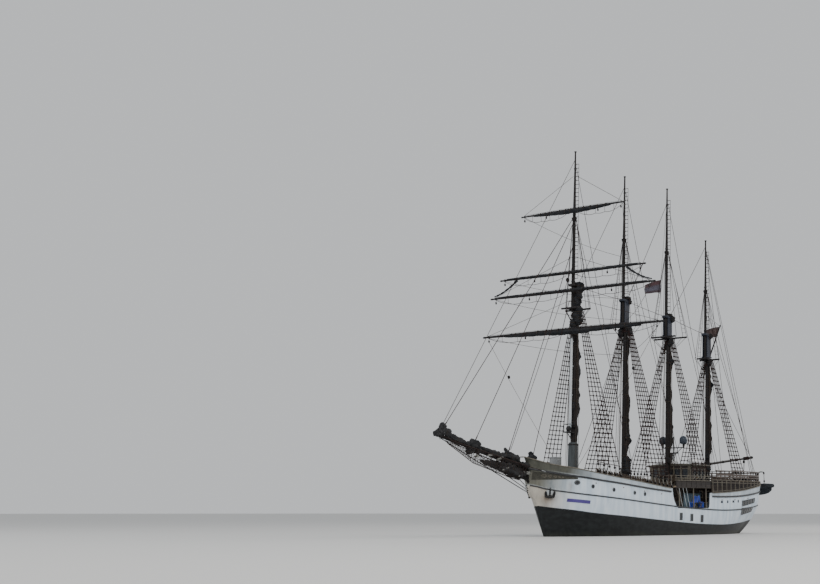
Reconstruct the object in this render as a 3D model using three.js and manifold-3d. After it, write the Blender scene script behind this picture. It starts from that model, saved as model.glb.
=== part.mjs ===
// A four-masted barquentine afloat, sails furled, as a model at half scale.
// +X is forward, +Y is port, +Z is up, and the origin is on the waterline, amidships, on the centreline.
import * as THREE from 'three';
import { mergeVertices } from 'three/addons/utils/BufferGeometryUtils.js';
import Module from 'manifold-3d';

const wasm = await Module();
wasm.setup();

// Every length below is in metres of the ship itself.
// SHIP_METRE is the length of one of them in the half-scale model, in millimetres.
const SHIP_METRE = 500;
const GAP = 0.0006;

const RAKE = THREE.MathUtils.degToRad(3);
const MAST_DATUM = 4;
const BULWARK_HEIGHT = 0.95;
const BULWARK_THICK = 0.12;
const CAP_THICK = 0.08;
const CAP_WIDTH = 0.3;
const CAP_OVERHANG = 0.05;
const KEEL_HALF = 0.15;

// Stations from stem to stern. profileX, profileZ: the foot of the frame on stem, keel or counter.
// deckX, deckHalf: its head at the deck's edge. fullness: 1 is a straight V, 3 a full round bilge.
// railX, railHalf: the cap rail above that head.
const STATIONS = [
  // profileX profileZ deckX deckHalf fullness railX railHalf
  [18.03, 5.15, 18.05, 0.20, 1.00, 19.00, 0.40],
  [17.95, 4.45, 17.75, 0.62, 1.05, 18.60, 0.80],
  [17.70, 3.50, 17.20, 1.15, 1.10, 17.90, 1.32],
  [17.00, 2.80, 16.20, 1.75, 1.15, 16.75, 1.93],
  [15.72, 0.00, 14.90, 2.30, 1.30, 15.20, 2.50],
  [14.70, -1.50, 13.40, 2.80, 1.55, 13.55, 2.95],
  [12.60, -2.60, 11.60, 3.22, 1.90, 11.65, 3.32],
  [9.50, -3.02, 9.00, 3.55, 2.50, 9.00, 3.62],
  [5.00, -3.12, 5.00, 3.75, 3.20, 5.00, 3.80],
  [0.00, -3.15, 0.00, 3.80, 3.60, 0.00, 3.84],
  [-4.60, -3.12, -4.60, 3.78, 3.40, -4.60, 3.82],
  [-8.50, -2.75, -8.70, 3.68, 2.60, -8.70, 3.72],
  [-11.60, -1.75, -11.90, 3.45, 2.00, -12.00, 3.50],
  [-14.00, -0.72, -14.20, 3.10, 1.70, -14.40, 3.16],
  [-15.75, -0.10, -15.80, 2.55, 1.90, -16.05, 2.62],
  [-16.85, 1.00, -16.90, 1.75, 1.90, -17.15, 1.82],
  [-17.38, 2.05, -17.45, 0.95, 1.50, -17.72, 0.98],
  [-17.55, 2.85, -17.62, 0.25, 1.20, -17.90, 0.26],
];
const FRAME_HEIGHTS = [0, 0.04, 0.12, 0.25, 0.42, 0.6, 0.8, 1];

// The cap rail's sheer, as railX and height.
const SHEER = [
  [19.06, 6.79], [17.4, 6.27], [14.5, 5.84], [10.8, 5.30], [6.8, 4.85], [1.8, 4.29],
  [-1.6, 4.02], [-4.7, 3.91], [-7.7, 4.00], [-11.6, 4.27], [-14.2, 4.57], [-17.9, 4.97],
];

// The side ports by the bridge, in x and z: the fore edge is curved.
const PORT_FLOOR = 2.45;
const PORT_OUTLINE = [
  [1.62, 6.5], [1.6, 3.9], [1.3, 3.1], [0.75, PORT_FLOOR], [-4.45, PORT_FLOOR], [-4.66, 2.8], [-4.68, 6.5],
];
const PORT_INNER_HALF = 2.3;
const FORE_WALL_X = [18.05, 17.75, 17.2, 16.2, 14.9, 13.4, 11.6, 9, 5, 1.66];
const AFT_WALL_X = [-4.72, -8.7, -11.9, -14.2, -15.8, -16.9, -17.45, -17.62];

// Masts. x: at the datum height. stepZ: top of the step. crossZ, capZ, truckZ: heights of crosstrees, cap
// and truck. lower, top: radii. crossHalf: half the crosstrees' spread. feet: first and last shroud, from x.
// sailLowZ, sailRadius, sailTurn: the stowed sail's foot and thickness, and its place in degrees from aft to port.
const MASTS = {
  fore: {
    x: 11.7, stepZ: 4.75, crossZ: 20.2, capZ: 22.4, truckZ: 34.7,
    lower: 0.26, top: 0.165, crossHalf: 1.4, feet: [0.3, -2.55],
    sailLowZ: 8.2, sailRadius: 0.19, sailTurn: 15,
  },
  main: {
    x: 3.87, stepZ: 3.95, crossZ: 19.4, capZ: 21.8, truckZ: 33.6,
    lower: 0.25, top: 0.155, crossHalf: 1.5, feet: [0.3, -2.35],
    sailLowZ: 5.9, sailRadius: 0.16, sailTurn: 15,
  },
  mizzen: {
    x: -3.33, stepZ: 4.6, crossZ: 18.8, capZ: 20.9, truckZ: 33.5,
    lower: 0.25, top: 0.155, crossHalf: 1.85, feet: [0.95, -1.45],
    sailLowZ: 7.2, sailRadius: 0.16, sailTurn: 15,
  },
  jigger: {
    x: -10.34, stepZ: 3.55, crossZ: 17.2, capZ: 19.75, truckZ: 29.2,
    lower: 0.24, top: 0.14, crossHalf: 1.15, feet: [0.3, -2.1],
    sailLowZ: 7.6, sailRadius: 0.16, sailTurn: 15,
  },
};
const TOPMAST_AHEAD = 0.42;
const TRUCK_RADIUS = 0.07;
const STEP_HEIGHT = 0.35;
const SHROUDS_A_SIDE = 5;
const SHROUD_RADIUS = 0.028;
const STAY_RADIUS = 0.03;

// Yards. z: height. half: half length. radius: at the slings. onTopmast: what it turns about.
const YARDS = {
  course: { z: 18.2, half: 10.0, radius: 0.17, onTopmast: false, ahead: 0.85 },
  lower_topsail: { z: 21.75, half: 9.15, radius: 0.15, onTopmast: true, ahead: 0.5 },
  upper_topsail: { z: 23.4, half: 8.1, radius: 0.14, onTopmast: true, ahead: 0.45 },
  topgallant: { z: 29.2, half: 5.8, radius: 0.12, onTopmast: true, ahead: 0.4 },
};

const BOWSPRIT = {
  heelX: 15.3, headX: 18.9, headZ: 5.98, tipX: 29.65, slope: 0.21, radius: 0.25, tipRadius: 0.13,
};
const WHEELHOUSE = { foreX: -3.87, aftX: -6.5, half: 2.2, floorZ: 4.45, topZ: 6.45, wall: 0.08 };
const ROOF = { foreX: -3.78, aftX: -6.85, half: 2.5, edge: 0.08, crown: 0.19 };
const DOOR = { foreX: -4.3, aftX: -5.1, lowZ: 4.62, highZ: 6.3, clear: 0.012 };
const BRIDGE = { foreX: 1.2, aftX: -5.0, half: 3.75, lowZ: 4.33, topZ: 4.45, panelTopZ: 4.98 };
const POOP = { foreX: -9.7, fenceX: -5.2, topZ: 5.12, skin: 0.12, railTopZ: 6.0 };
const PROPELLER = { x: -13.42, z: -1.75, radius: 0.62 };
const RUDDER = { axisX: -14.6, aftX: -15.75, lowZ: -2.98, highZ: -0.75, trunk: 0.13, stock: 0.1 };
const BOOM = { z: 6.8, length: 8.4, rise: 0.87, radius: 0.12, endRadius: 0.08 };

const MATERIALS = {
  topsides: [0xdfe3e6, 0.45, 0],
  cap: [0x6b5a45, 0.6, 0],
  brown: [0x4a3222, 0.55, 0],
  mast: [0x2e2119, 0.5, 0],
  spar: [0x241b16, 0.5, 0],
  rope: [0x1b1714, 0.9, 0],
  sail: [0x5c5148, 0.95, 0],
  metal: [0x1e1f22, 0.5, 0.4],
  bronze: [0x8c6a33, 0.35, 0.9],
  white: [0xe8eaec, 0.4, 0],
  flag: [0x6a3940, 0.9, 0],
  tube: [0x23272c, 0.7, 0],
};

// The straight-line value of a two-column table at x, held past its ends.
function along(table, x) {
  const rows = [...table].sort((a, b) => a[0] - b[0]);
  if (x <= rows[0][0]) return rows[0][1];
  const next = rows.findIndex((row) => row[0] >= x);
  if (next < 0) return rows[rows.length - 1][1];
  const [[x0, y0], [x1, y1]] = [rows[next - 1], rows[next]];
  return y0 + ((y1 - y0) * (x - x0)) / (x1 - x0);
}

const columns = (a, b) => STATIONS.map((row) => [row[a], row[b]]);
const capZ = (x) => along(SHEER, x);
const deckZ = (x) => capZ(x) - BULWARK_HEIGHT;
const deckHalf = (x) => along(columns(2, 3), x);
const railX = (x) => along(columns(2, 5), x);
const railHalf = (x) => along(columns(2, 6), x);

function toSolid(geometry) {
  const bare = geometry.clone();
  bare.deleteAttribute('normal');
  bare.deleteAttribute('uv');
  const merged = mergeVertices(bare, 1e-6);
  const vertProperties = new Float32Array(merged.attributes.position.array);
  const triVerts = new Uint32Array(merged.index.array);
  return new wasm.Manifold(new wasm.Mesh({ numProp: 3, vertProperties, triVerts }));
}

const join = (...geometries) => geometries.map(toSolid).reduce((whole, piece) => whole.add(piece));
const cut = (solid, ...geometries) => (
  geometries.map(toSolid).reduce((whole, piece) => whole.subtract(piece), solid)
);

function box([x0, x1], [y0, y1], [z0, z1]) {
  const geometry = new THREE.BoxGeometry(Math.abs(x1 - x0), Math.abs(y1 - y0), Math.abs(z1 - z0));
  return geometry.translate((x0 + x1) / 2, (y0 + y1) / 2, (z0 + z1) / 2);
}

function rod(from, to, radius, endRadius = radius, sides = 8) {
  const start = new THREE.Vector3(...from);
  const axis = new THREE.Vector3(...to).sub(start);
  const geometry = new THREE.CylinderGeometry(endRadius, radius, axis.length(), sides);
  const along = new THREE.Vector3(0, 1, 0);
  const turn = new THREE.Quaternion().setFromUnitVectors(along, axis.clone().normalize());
  return geometry.applyQuaternion(turn).translate(...start.addScaledVector(axis, 0.5));
}

// A closed skin through rings of equally many points, with a fan over each end.
function loft(rings) {
  const count = rings[0].length;
  const index = [];
  for (let ring = 0; ring + 1 < rings.length; ring++) {
    for (let k = 0; k < count; k++) {
      const [a, b] = [ring * count + k, ring * count + ((k + 1) % count)];
      index.push(a, b, b + count, a, b + count, a + count);
    }
  }
  const last = (rings.length - 1) * count;
  for (let k = 1; k + 1 < count; k++) {
    index.push(0, k + 1, k, last, last + k, last + k + 1);
  }
  const geometry = new THREE.BufferGeometry();
  geometry.setAttribute('position', new THREE.Float32BufferAttribute(rings.flat(2), 3));
  geometry.setIndex(signedVolume(rings.flat(), index) < 0 ? index.reverse() : index);
  return geometry;
}

function signedVolume(points, index) {
  let volume = 0;
  for (let t = 0; t < index.length; t += 3) {
    const [a, b, c] = [0, 1, 2].map((k) => new THREE.Vector3(...points[index[t + k]]));
    volume += a.dot(b.cross(c));
  }
  return volume;
}

// A round bar through sections of [centre, radius], its rings square to the axis 'x', 'y' or 'z'.
function bar(axis, sections, sides = 8) {
  return loft(sections.map(([[x, y, z], radius]) => Array.from({ length: sides }, (_, k) => {
    const angle = (2 * Math.PI * (k + 0.5)) / sides;
    const [u, v] = [radius * Math.cos(angle), radius * Math.sin(angle)];
    return { x: [x, y + u, z + v], y: [x + u, y, z + v], z: [x + u, y + v, z] }[axis];
  })));
}

// A plate whose outline is in x and z, standing between two values of y.
function sidePlate(outline, y0, y1) {
  const shape = new THREE.Shape(outline.map(([x, z]) => new THREE.Vector2(x, z)));
  const geometry = new THREE.ExtrudeGeometry(shape, { depth: y1 - y0, bevelEnabled: false });
  return geometry.rotateX(Math.PI / 2).translate(0, y1, 0);
}

// A level plate whose outline is in x and y.
function levelPlate(outline, z0, z1) {
  const shape = new THREE.Shape(outline.map(([x, y]) => new THREE.Vector2(x, y)));
  return new THREE.ExtrudeGeometry(shape, { depth: z1 - z0, bevelEnabled: false }).translate(0, 0, z0);
}

// The path moved inwards by a distance, square to itself, in plan.
function inset(path, distance) {
  return path.map(([x, y], k) => {
    const [before, after] = [path[Math.max(k - 1, 0)], path[Math.min(k + 1, path.length - 1)]];
    const [runX, runY] = [after[0] - before[0], after[1] - before[1]];
    const step = distance / Math.hypot(runX, runY);
    return [x - runY * step, y + runX * step];
  });
}

// A wall from a lower path to an upper path, each a list of [x, y], with heights given by functions of x.
function wall(lower, upper, lowZ, highZ, thick) {
  const [lowerIn, upperIn] = [inset(lower, thick), inset(upper, thick)];
  return loft(lower.map(([x, y], k) => [
    [x, y, lowZ(x)],
    [...upper[k], highZ(upper[k][0])],
    [...upperIn[k], highZ(upper[k][0])],
    [...lowerIn[k], lowZ(x)],
  ]));
}

const model = new THREE.Group();

function addPart(name, solid, finish, parent = model) {
  const geometry = new THREE.BufferGeometry();
  if (solid instanceof THREE.BufferGeometry) {
    geometry.copy(solid);
  } else {
    const { vertProperties, triVerts } = solid.getMesh();
    geometry.setAttribute('position', new THREE.BufferAttribute(new Float32Array(vertProperties), 3));
    geometry.setIndex(Array.from(triVerts));
  }
  geometry.scale(SHIP_METRE, SHIP_METRE, SHIP_METRE);
  const [color, roughness, metalness] = MATERIALS[finish];
  const mesh = new THREE.Mesh(geometry, new THREE.MeshStandardMaterial({ color, roughness, metalness }));
  mesh.name = name;
  parent.add(mesh);
}

// A group whose own z runs up a mast's axis, with height z above the waterline kept as the ship's.
function mastGroup({ x }) {
  const group = new THREE.Group();
  group.position.set(x * SHIP_METRE, 0, MAST_DATUM * SHIP_METRE);
  group.rotation.y = -RAKE;
  model.add(group);
  return group;
}
const up = (z) => z - MAST_DATUM;
const onMast = ({ x }, z, ahead = 0) => [
  x + ahead * Math.cos(RAKE) - up(z) * Math.sin(RAKE),
  0,
  MAST_DATUM + ahead * Math.sin(RAKE) + up(z) * Math.cos(RAKE),
];

// The bowsprit's line, and a rod round it from its heel to its thick part's end.
const spritZ = (x) => BOWSPRIT.headZ + BOWSPRIT.slope * (x - BOWSPRIT.headX);
function spritRod(radius) {
  const { heelX, headX } = BOWSPRIT;
  return rod([heelX, 0, spritZ(heelX)], [headX + 3, 0, spritZ(headX + 3)], radius, radius, 12);
}

// Hull: frames lofted from stem to stern, with deadwood, shoe, stern tube, mast steps and two side ports.
function frameRing([profileX, profileZ, headX, headHalf, fullness]) {
  const side = FRAME_HEIGHTS.map((u) => [
    profileX + u * (headX - profileX),
    KEEL_HALF + (headHalf - KEEL_HALF) * (1 - (1 - u) ** fullness),
    profileZ + u * (deckZ(headX) - profileZ),
  ]);
  return [...side, ...side.map(([x, y, z]) => [x, -y, z]).reverse()];
}

function mastStep(mast, low) {
  return rod(onMast(mast, low), onMast(mast, mast.stepZ), mast.lower + 0.1, mast.lower + 0.07, 12);
}

function buildHull() {
  let hull = join(
    loft(STATIONS.map(frameRing)),
    box([-6, -13], [-0.15, 0.15], [-3.2, -0.9]),
    box([-12.5, -14.85], [-0.12, 0.12], [-3.2, -3.06]),
    rod([-11, 0, PROPELLER.z], [-13.2, 0, PROPELLER.z], 0.24, 0.17, 12),
    ...['fore', 'main', 'jigger'].map((name) => mastStep(MASTS[name], MASTS[name].stepZ - STEP_HEIGHT - 0.3)),
  );
  for (const side of [-1, 1]) {
    const [y0, y1] = [side * PORT_INNER_HALF, side * 5].sort((a, b) => a - b);
    hull = cut(hull, sidePlate(PORT_OUTLINE, y0, y1));
  }
  return cut(hull, rod([RUDDER.axisX, 0, -1.5], [RUDDER.axisX, 0, 1.3], RUDDER.trunk, RUDDER.trunk, 12));
}
const hull = buildHull();
const hullAbove = hull.translate([0, 0, GAP]);
addPart('hull', hull, 'topsides');

// Bulwarks and cap rails: one wall round the bow, ahead of the ports, and one round the stern.
function railPaths(heads, side) {
  const lower = heads.map((x) => [x, side * deckHalf(x)]);
  const upper = heads.map((x) => [railX(x), side * railHalf(x)]);
  return side > 0 ? [lower, upper] : [lower.reverse(), upper.reverse()];
}

function addRails(name, first, second) {
  const [lower, upper] = [0, 1].map((k) => [...first[k], ...second[k]]);
  const outer = inset(upper, CAP_OVERHANG);
  const cap = toSolid(wall(outer, outer, (x) => capZ(x) - CAP_THICK, capZ, -CAP_WIDTH));
  const bulwark = toSolid(wall(lower, upper, deckZ, (x) => capZ(x) - CAP_THICK / 2, -BULWARK_THICK));
  const clear = bulwark.subtract(hullAbove).subtract(cap.translate([0, 0, -GAP]));
  addPart(`bulwark_${name}`, cut(clear, spritRod(BOWSPRIT.radius + 0.02)), 'topsides');
  addPart(`cap_rail_${name}`, cap, 'cap');
}
addRails('fore', railPaths(FORE_WALL_X, -1), railPaths(FORE_WALL_X, 1));
addRails('aft', railPaths(AFT_WALL_X, 1), railPaths(AFT_WALL_X, -1));

// Bridge deck over the side ports, the house under it, and the wheelhouse on it.
const houseBlock = toSolid(box([1.4, -8.05], [-2.2, 2.2], [2.6, BRIDGE.lowZ - GAP]));
addPart('deckhouse', houseBlock.subtract(hullAbove), 'brown');

function buildBridgeDeck() {
  const { foreX, aftX, half, lowZ, topZ, panelTopZ } = BRIDGE;
  const sides = [-1, 1].flatMap((side) => [
    box([foreX - 0.3, aftX], [side * half, side * (half - 0.06)], [lowZ, panelTopZ]),
    ...[0.2, -2.2, -4.35].map((x) => rod([x, side * 3.6, PORT_FLOOR + GAP], [x, side * 3.6, topZ], 0.06)),
  ]);
  const deck = join(
    box([foreX, aftX], [-half, half], [lowZ, topZ]),
    box([aftX + 0.1, -8.15], [-2.45, 2.45], [lowZ, topZ]),
    mastStep(MASTS.mizzen, lowZ + 0.03),
    ...sides,
  );
  return deck.subtract(hullAbove);
}
addPart('bridge_deck', buildBridgeDeck(), 'brown');

function buildWheelhouse() {
  const { foreX, aftX, half, floorZ, topZ, wall: thick } = WHEELHOUSE;
  const shell = toSolid(box([foreX, aftX], [-half, half], [floorZ + GAP, topZ - GAP]));
  const inside = box([foreX - thick, aftX + thick], [thick - half, half - thick], [floorZ - 1, topZ + 1]);
  const windowZ = [5.35, 6.15];
  const endWindow = (x, y, halfWide) => box([x + 1, x - 1], [y - halfWide, y + halfWide], windowZ);
  const windows = [
    ...[-1.64, -0.82, 0, 0.82, 1.64].map((y) => endWindow(foreX, y, 0.33)),
    ...[-1.2, 1.2].map((y) => endWindow(aftX, y, 0.5)),
    ...[[-5.3, -5.78], [-5.92, -6.36]].map((x) => box(x, [-5, 5], windowZ)),
  ];
  const doorway = box([DOOR.foreX, DOOR.aftX], [-5, 5], [DOOR.lowZ, DOOR.highZ]);
  return cut(shell, inside, doorway, ...windows);
}
addPart('wheelhouse_walls', buildWheelhouse(), 'brown');

function buildRoof() {
  const { topZ } = WHEELHOUSE;
  const { foreX, aftX, half, edge, crown } = ROOF;
  const section = [[-half, 0], [half, 0], [half, edge], [0, crown], [-half, edge]];
  return loft([foreX, aftX].map((x) => section.map(([y, z]) => [x, y, topZ + z])));
}
addPart('wheelhouse_roof', buildRoof(), 'brown');

for (const [name, side] of [['port', 1], ['starboard', -1]]) {
  const { foreX, aftX, lowZ, highZ, clear } = DOOR;
  const outer = side * WHEELHOUSE.half;
  const thickness = [outer, outer - side * 0.055];
  const panel = join(box([foreX - clear, aftX + clear], thickness, [lowZ + clear, highZ - clear]));
  const windowHole = box([foreX - 0.16, aftX + 0.16], [outer - 1, outer + 1], [5.4, 6.1]);
  addPart(`wheelhouse_door_${name}`, cut(panel, windowHole), 'brown');
}

// Two round aerial domes on a forked pole above the wheelhouse.
function buildDomePole() {
  const [x, armZ, domeZ, spread] = [-4.58, 8.2, 8.9, 1.15];
  const footZ = WHEELHOUSE.topZ + ROOF.crown + 2 * GAP;
  const domes = [-spread, spread].flatMap((y) => [
    new THREE.SphereGeometry(0.37, 12, 8).rotateX(Math.PI / 2).translate(x, y, domeZ),
    rod([x, y, armZ - 0.05], [x, y, domeZ], 0.06),
  ]);
  return join(
    rod([x, 0, footZ], [x, 0, domeZ + 0.4], 0.06),
    rod([x, -spread, armZ], [x, spread, armZ], 0.05),
    ...domes,
  );
}
addPart('dome_pole', buildDomePole(), 'white');

// Poop deck: an upturned tray over the after bulwark, with a bulkhead at its break and a rail round it. Its
// sides run on ahead of the break as a fence on either bulwark.
function poopOutline(insetBy) {
  const half = AFT_WALL_X.filter((x) => x < POOP.foreX).map((x) => [railX(x), railHalf(x) - 0.04]);
  const port = inset([[POOP.foreX, deckHalf(POOP.foreX)], ...half], -insetBy);
  port[0][0] = POOP.foreX - insetBy;
  return [...port, ...port.map(([x, y]) => [x, -y]).reverse()];
}

function fenceOutline(side) {
  const { foreX, fenceX, skin } = POOP;
  const [ahead, behind] = [railHalf(fenceX) - 0.04, deckHalf(foreX) - 0.02];
  const outer = [[fenceX, ahead], [foreX, behind], [foreX - 0.05, behind]];
  const inner = [[foreX - 0.05, behind - 0.08], [foreX, behind - 0.08], [fenceX, ahead - skin]];
  return [...outer, ...inner].map(([x, y]) => [x, y * side]);
}

function buildPoopDeck() {
  const { foreX, fenceX, topZ, skin } = POOP;
  const steps = [fenceX, -7.4, foreX, -10.5, -11.6, -14.2, -17.9, -19];
  const above = (gap, top) => {
    const sheer = steps.map((x) => [x, capZ(x) + gap]);
    return toSolid(sidePlate([...sheer, [-19, top], [fenceX, top]], -5, 5));
  };
  const slab = toSolid(levelPlate(poopOutline(0), 3.5, 6)).intersect(above(0.02, topZ));
  const hollow = levelPlate(poopOutline(skin), 3.5, topZ - 0.1);
  const bulkhead = toSolid(box([foreX, foreX - 0.1], [-3.4, 3.4], [3, topZ - 0.05])).subtract(hullAbove);
  const fences = join(...[1, -1].map((side) => levelPlate(fenceOutline(side), 3.5, 6)))
    .intersect(above(0.04, topZ - 0.03));
  const mastHole = rod(onMast(MASTS.jigger, 3.4), onMast(MASTS.jigger, 6), 0.31, 0.31, 12);
  return cut(cut(slab, hollow).add(bulkhead).add(fences), mastHole);
}
addPart('poop_deck', buildPoopDeck(), 'brown');

function buildPoopRail() {
  const path = poopOutline(0.12);
  const posts = path.map(([x, y]) => rod([x, y, POOP.topZ + GAP], [x, y, POOP.railTopZ], 0.035, 0.035, 4));
  const rails = [POOP.railTopZ, POOP.topZ + 0.5].flatMap((z) => path.slice(1).map(([x, y], k) => (
    rod([...path[k], z], [x, y, z], 0.04, 0.04, 4)
  )));
  return join(...posts, ...rails);
}
addPart('poop_rail', buildPoopRail(), 'brown');

// Tender slung athwart the stern from two davits.
const TENDER_X = -18.66;
const TENDER_SECTIONS = [
  // y z radius
  [-2.6, 4.62, 0.16], [-2.1, 4.55, 0.4], [-0.8, 4.5, 0.47],
  [1.2, 4.5, 0.47], [2.2, 4.58, 0.36], [2.65, 4.7, 0.14],
];
addPart('tender', bar('y', TENDER_SECTIONS.map(([y, z, radius]) => [[TENDER_X, y, z], radius]), 10), 'tube');

function buildDavits() {
  const arms = [-1.55, 1.55].flatMap((y) => [
    rod([-17.25, y, POOP.topZ + 0.01], [-17.3, y, 5.8], 0.07, 0.07, 6),
    rod([-17.3, y, 5.78], [-18.66, y, 6.1], 0.07, 0.05, 6),
    rod([-18.62, y, 6.12], [-18.62, y, 5.02], 0.03, 0.03, 6),
  ]);
  return join(...arms, rod([-17.27, -1.6, 5.3], [-17.27, 1.6, 5.3], 0.05, 0.05, 6));
}
addPart('stern_davits', buildDavits(), 'metal');

// Steering and drive.
function buildRudder() {
  const { axisX, aftX, lowZ, highZ, stock } = RUDDER;
  const foil = (z, aft) => {
    const middle = (axisX + aft) / 2;
    const port = [[axisX, 0.1], [middle, 0.07], [aft, 0.02]];
    const starboard = port.map(([x, y]) => [x, -y]).reverse();
    return [[axisX + 0.16, 0], ...port, ...starboard].map(([x, y]) => [x, y, z]);
  };
  return join(
    loft([foil(lowZ, aftX), foil(-1.6, aftX), foil(highZ, aftX + 0.25)]),
    rod([axisX, 0, -1], [axisX, 0, 1.2], stock, stock, 12),
  );
}
addPart('rudder', buildRudder(), 'metal');

function buildPropeller() {
  const { x, z, radius } = PROPELLER;
  const halfThick = 0.02;
  const corners = [[-1, -halfThick], [1, -halfThick], [1, halfThick], [-1, halfThick]];
  const ring = (r, chord, pitch) => corners.map(([u, v]) => [
    u * chord * Math.sin(pitch) + v * Math.cos(pitch),
    u * chord * Math.cos(pitch) - v * Math.sin(pitch),
    r,
  ]);
  const sections = [[0.08, 0.1, 0.9], [0.34, 0.21, 0.6], [0.54, 0.16, 0.42], [radius, 0.04, 0.36]];
  const blade = loft(sections.map((section) => ring(...section)));
  const blades = [0, 1, 2].map((k) => blade.clone().rotateX((k * 2 * Math.PI) / 3));
  const hub = bar('x', [[[0.17, 0, 0], 0.13], [[-0.1, 0, 0], 0.13], [[-0.26, 0, 0], 0.05]], 12);
  return join(hub, ...blades).translate([x, 0, z]);
}
addPart('propeller', buildPropeller(), 'bronze');

// Bowsprit, its furled headsails, the main bobstay, and what stands at the bow.
function buildBowsprit() {
  const { heelX, headX, tipX, radius, tipRadius } = BOWSPRIT;
  const at = (x) => [x, 0, spritZ(x)];
  const spar = join(
    rod(at(heelX), at(headX + 3), radius, radius * 0.95, 12),
    rod(at(headX + 2.9), at(tipX), radius * 0.95, tipRadius, 12),
  );
  return spar.subtract(hullAbove);
}
addPart('bowsprit', buildBowsprit(), 'mast');

// The main stays from the foremast to the bow and the bowsprit.
const STAYS = {
  // headZ, ahead: height on the foremast and distance ahead of its axis. footX, footZ: the lower end.
  forestay: { headZ: 20.75, ahead: 0.98, footX: 17.6, footZ: 6.02 },
  fore_topmast_stay: { headZ: 25.7, ahead: 0.64, footX: 20.7, footZ: 6.9 },
  jib_stay: { headZ: 27.9, ahead: 0.64, footX: 25.1, footZ: 7.68 },
  flying_jib_stay: { headZ: 28.3, ahead: 0.72, footX: 29.0, footZ: 8.75 },
};
function stayRod(name, radius, footDrop = 0) {
  const { headZ, ahead, footX, footZ } = STAYS[name];
  return rod([footX, 0, footZ - footDrop], onMast(MASTS.fore, headZ, ahead), radius, radius, 6);
}
for (const name of Object.keys(STAYS)) {
  addPart(name, stayRod(name, STAY_RADIUS), 'rope');
}

function furledAlong(from, to, radii, lift) {
  return bar('x', radii.map((radius, k) => {
    const x = from + ((to - from) * k) / (radii.length - 1);
    return [[x, 0, spritZ(x) + lift(x) + radius], radius];
  }), 10);
}
const spritTop = (x) => 0.02 + (BOWSPRIT.radius + 0.02) * (x > 23 ? 0.92 - 0.04 * (x - 23) : 1);
const roundStays = (geometry, ...names) => (
  cut(toSolid(geometry), ...names.map((name) => stayRod(name, STAY_RADIUS + 0.02, 0.02)))
);
const flyingJib = furledAlong(24.6, 29.3, [0.2, 0.4, 0.2, 0.18, 0.2, 0.28, 0.4, 0.24], spritTop);
const innerJib = furledAlong(19.6, 24.3, [0.14, 0.32, 0.4, 0.2, 0.18, 0.18, 0.16, 0.1], spritTop);
addPart('furled_flying_jib', roundStays(flyingJib, 'jib_stay', 'flying_jib_stay'), 'sail');
addPart('furled_inner_jib', roundStays(innerJib, 'fore_topmast_stay'), 'sail');

addPart('bobstay', rod([17.98, 0, 3.72], [29.2, 0, spritZ(29.2) - 0.19], 0.04, 0.04, 6), 'metal');
addPart('bow_locker', toSolid(box([13.75, 14.45], [-0.4, 0.4], [4.4, 6.85])).subtract(hullAbove), 'white');

// The knee of the head: a plate in the centreline, between the stem and the bowsprit.
function buildKnee() {
  const lowerEdge = [[17.6, 4.5], [18.2, 4.7], [19.1, 4.95], [20.1, 5.45], [21.0, 6.1]];
  const outline = [...lowerEdge, [21.0, 6.5], [17.6, 6.5]];
  const plate = cut(toSolid(sidePlate(outline, -0.11, 0.11)), spritRod(BOWSPRIT.radius + 0.002));
  const ahead = plate.subtract(hull.translate([GAP, 0, 0])).subtract(hullAbove);
  const underSprit = ahead.decompose().sort((a, b) => a.boundingBox().min[2] - b.boundingBox().min[2])[0];
  return cut(underSprit, box([10, 18.12], [-1, 1], [4.6, 8]), box([10, 18.3], [-1, 1], [5.45, 8]));
}
addPart('beak_knee', buildKnee(), 'mast');

for (const [name, side] of [['port', 1], ['starboard', -1]]) {
  const pieces = [
    box([-0.5, 0.5], [-0.1, 0.14], [-0.1, 0.06]),
    box([-0.48, -0.3], [-0.05, 0.1], [0, 0.62]),
    box([0.3, 0.48], [-0.05, 0.1], [0, 0.62]),
    box([-0.09, 0.09], [-0.25, 0.08], [-0.05, 0.5]),
  ];
  const place = (geometry) => (
    geometry.rotateX(-0.35).rotateZ(-0.6).translate(16.33, 1.02, 3.5).scale(1, side, 1)
  );
  const anchor = pieces.map(place).map((geometry) => (side < 0 ? flipped(geometry) : geometry));
  addPart(`anchor_${name}`, join(...anchor).subtract(hull.translate([0, side * GAP * 2, 0])), 'metal');
}

// A mirrored geometry with its faces turned outwards again.
function flipped(geometry) {
  const copy = geometry.clone();
  copy.setIndex(Array.from(copy.index.array).reverse());
  return copy;
}

// Masts: lower mast with its cap, topmast, crosstrees, furled sail and shrouds, all on the raked axis.
const CAP = { aftX: -0.2, foreX: 0.75, half: 0.28, thick: 0.22 };

function buildLowerMast({ stepZ, capZ: top, crossZ, lower }) {
  const sections = [[up(stepZ) + GAP, lower], [up(crossZ), lower * 0.88], [up(top), lower * 0.78]];
  const trunk = bar('z', sections.map(([z, radius]) => [[0, 0, z], radius]), 12);
  const cap = box([CAP.aftX, CAP.foreX], [-CAP.half, CAP.half], [up(top) - CAP.thick, up(top)]);
  return join(trunk, cap);
}

function buildTopmast({ crossZ, truckZ, top }) {
  const [foot, hounds] = [crossZ - 0.3, crossZ + (truckZ - crossZ) * 0.57];
  const at = (z) => [TOPMAST_AHEAD, 0, up(z)];
  return join(
    bar('z', [[at(foot), top], [at(hounds), top * 0.85], [at(truckZ), TRUCK_RADIUS]], 12),
    rod(at(hounds - 0.25), at(hounds + 0.1), top + 0.05, top + 0.1, 12),
    rod(at(truckZ - 0.05), at(truckZ + 0.05), 0.11, 0.11, 12),
  );
}

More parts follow.
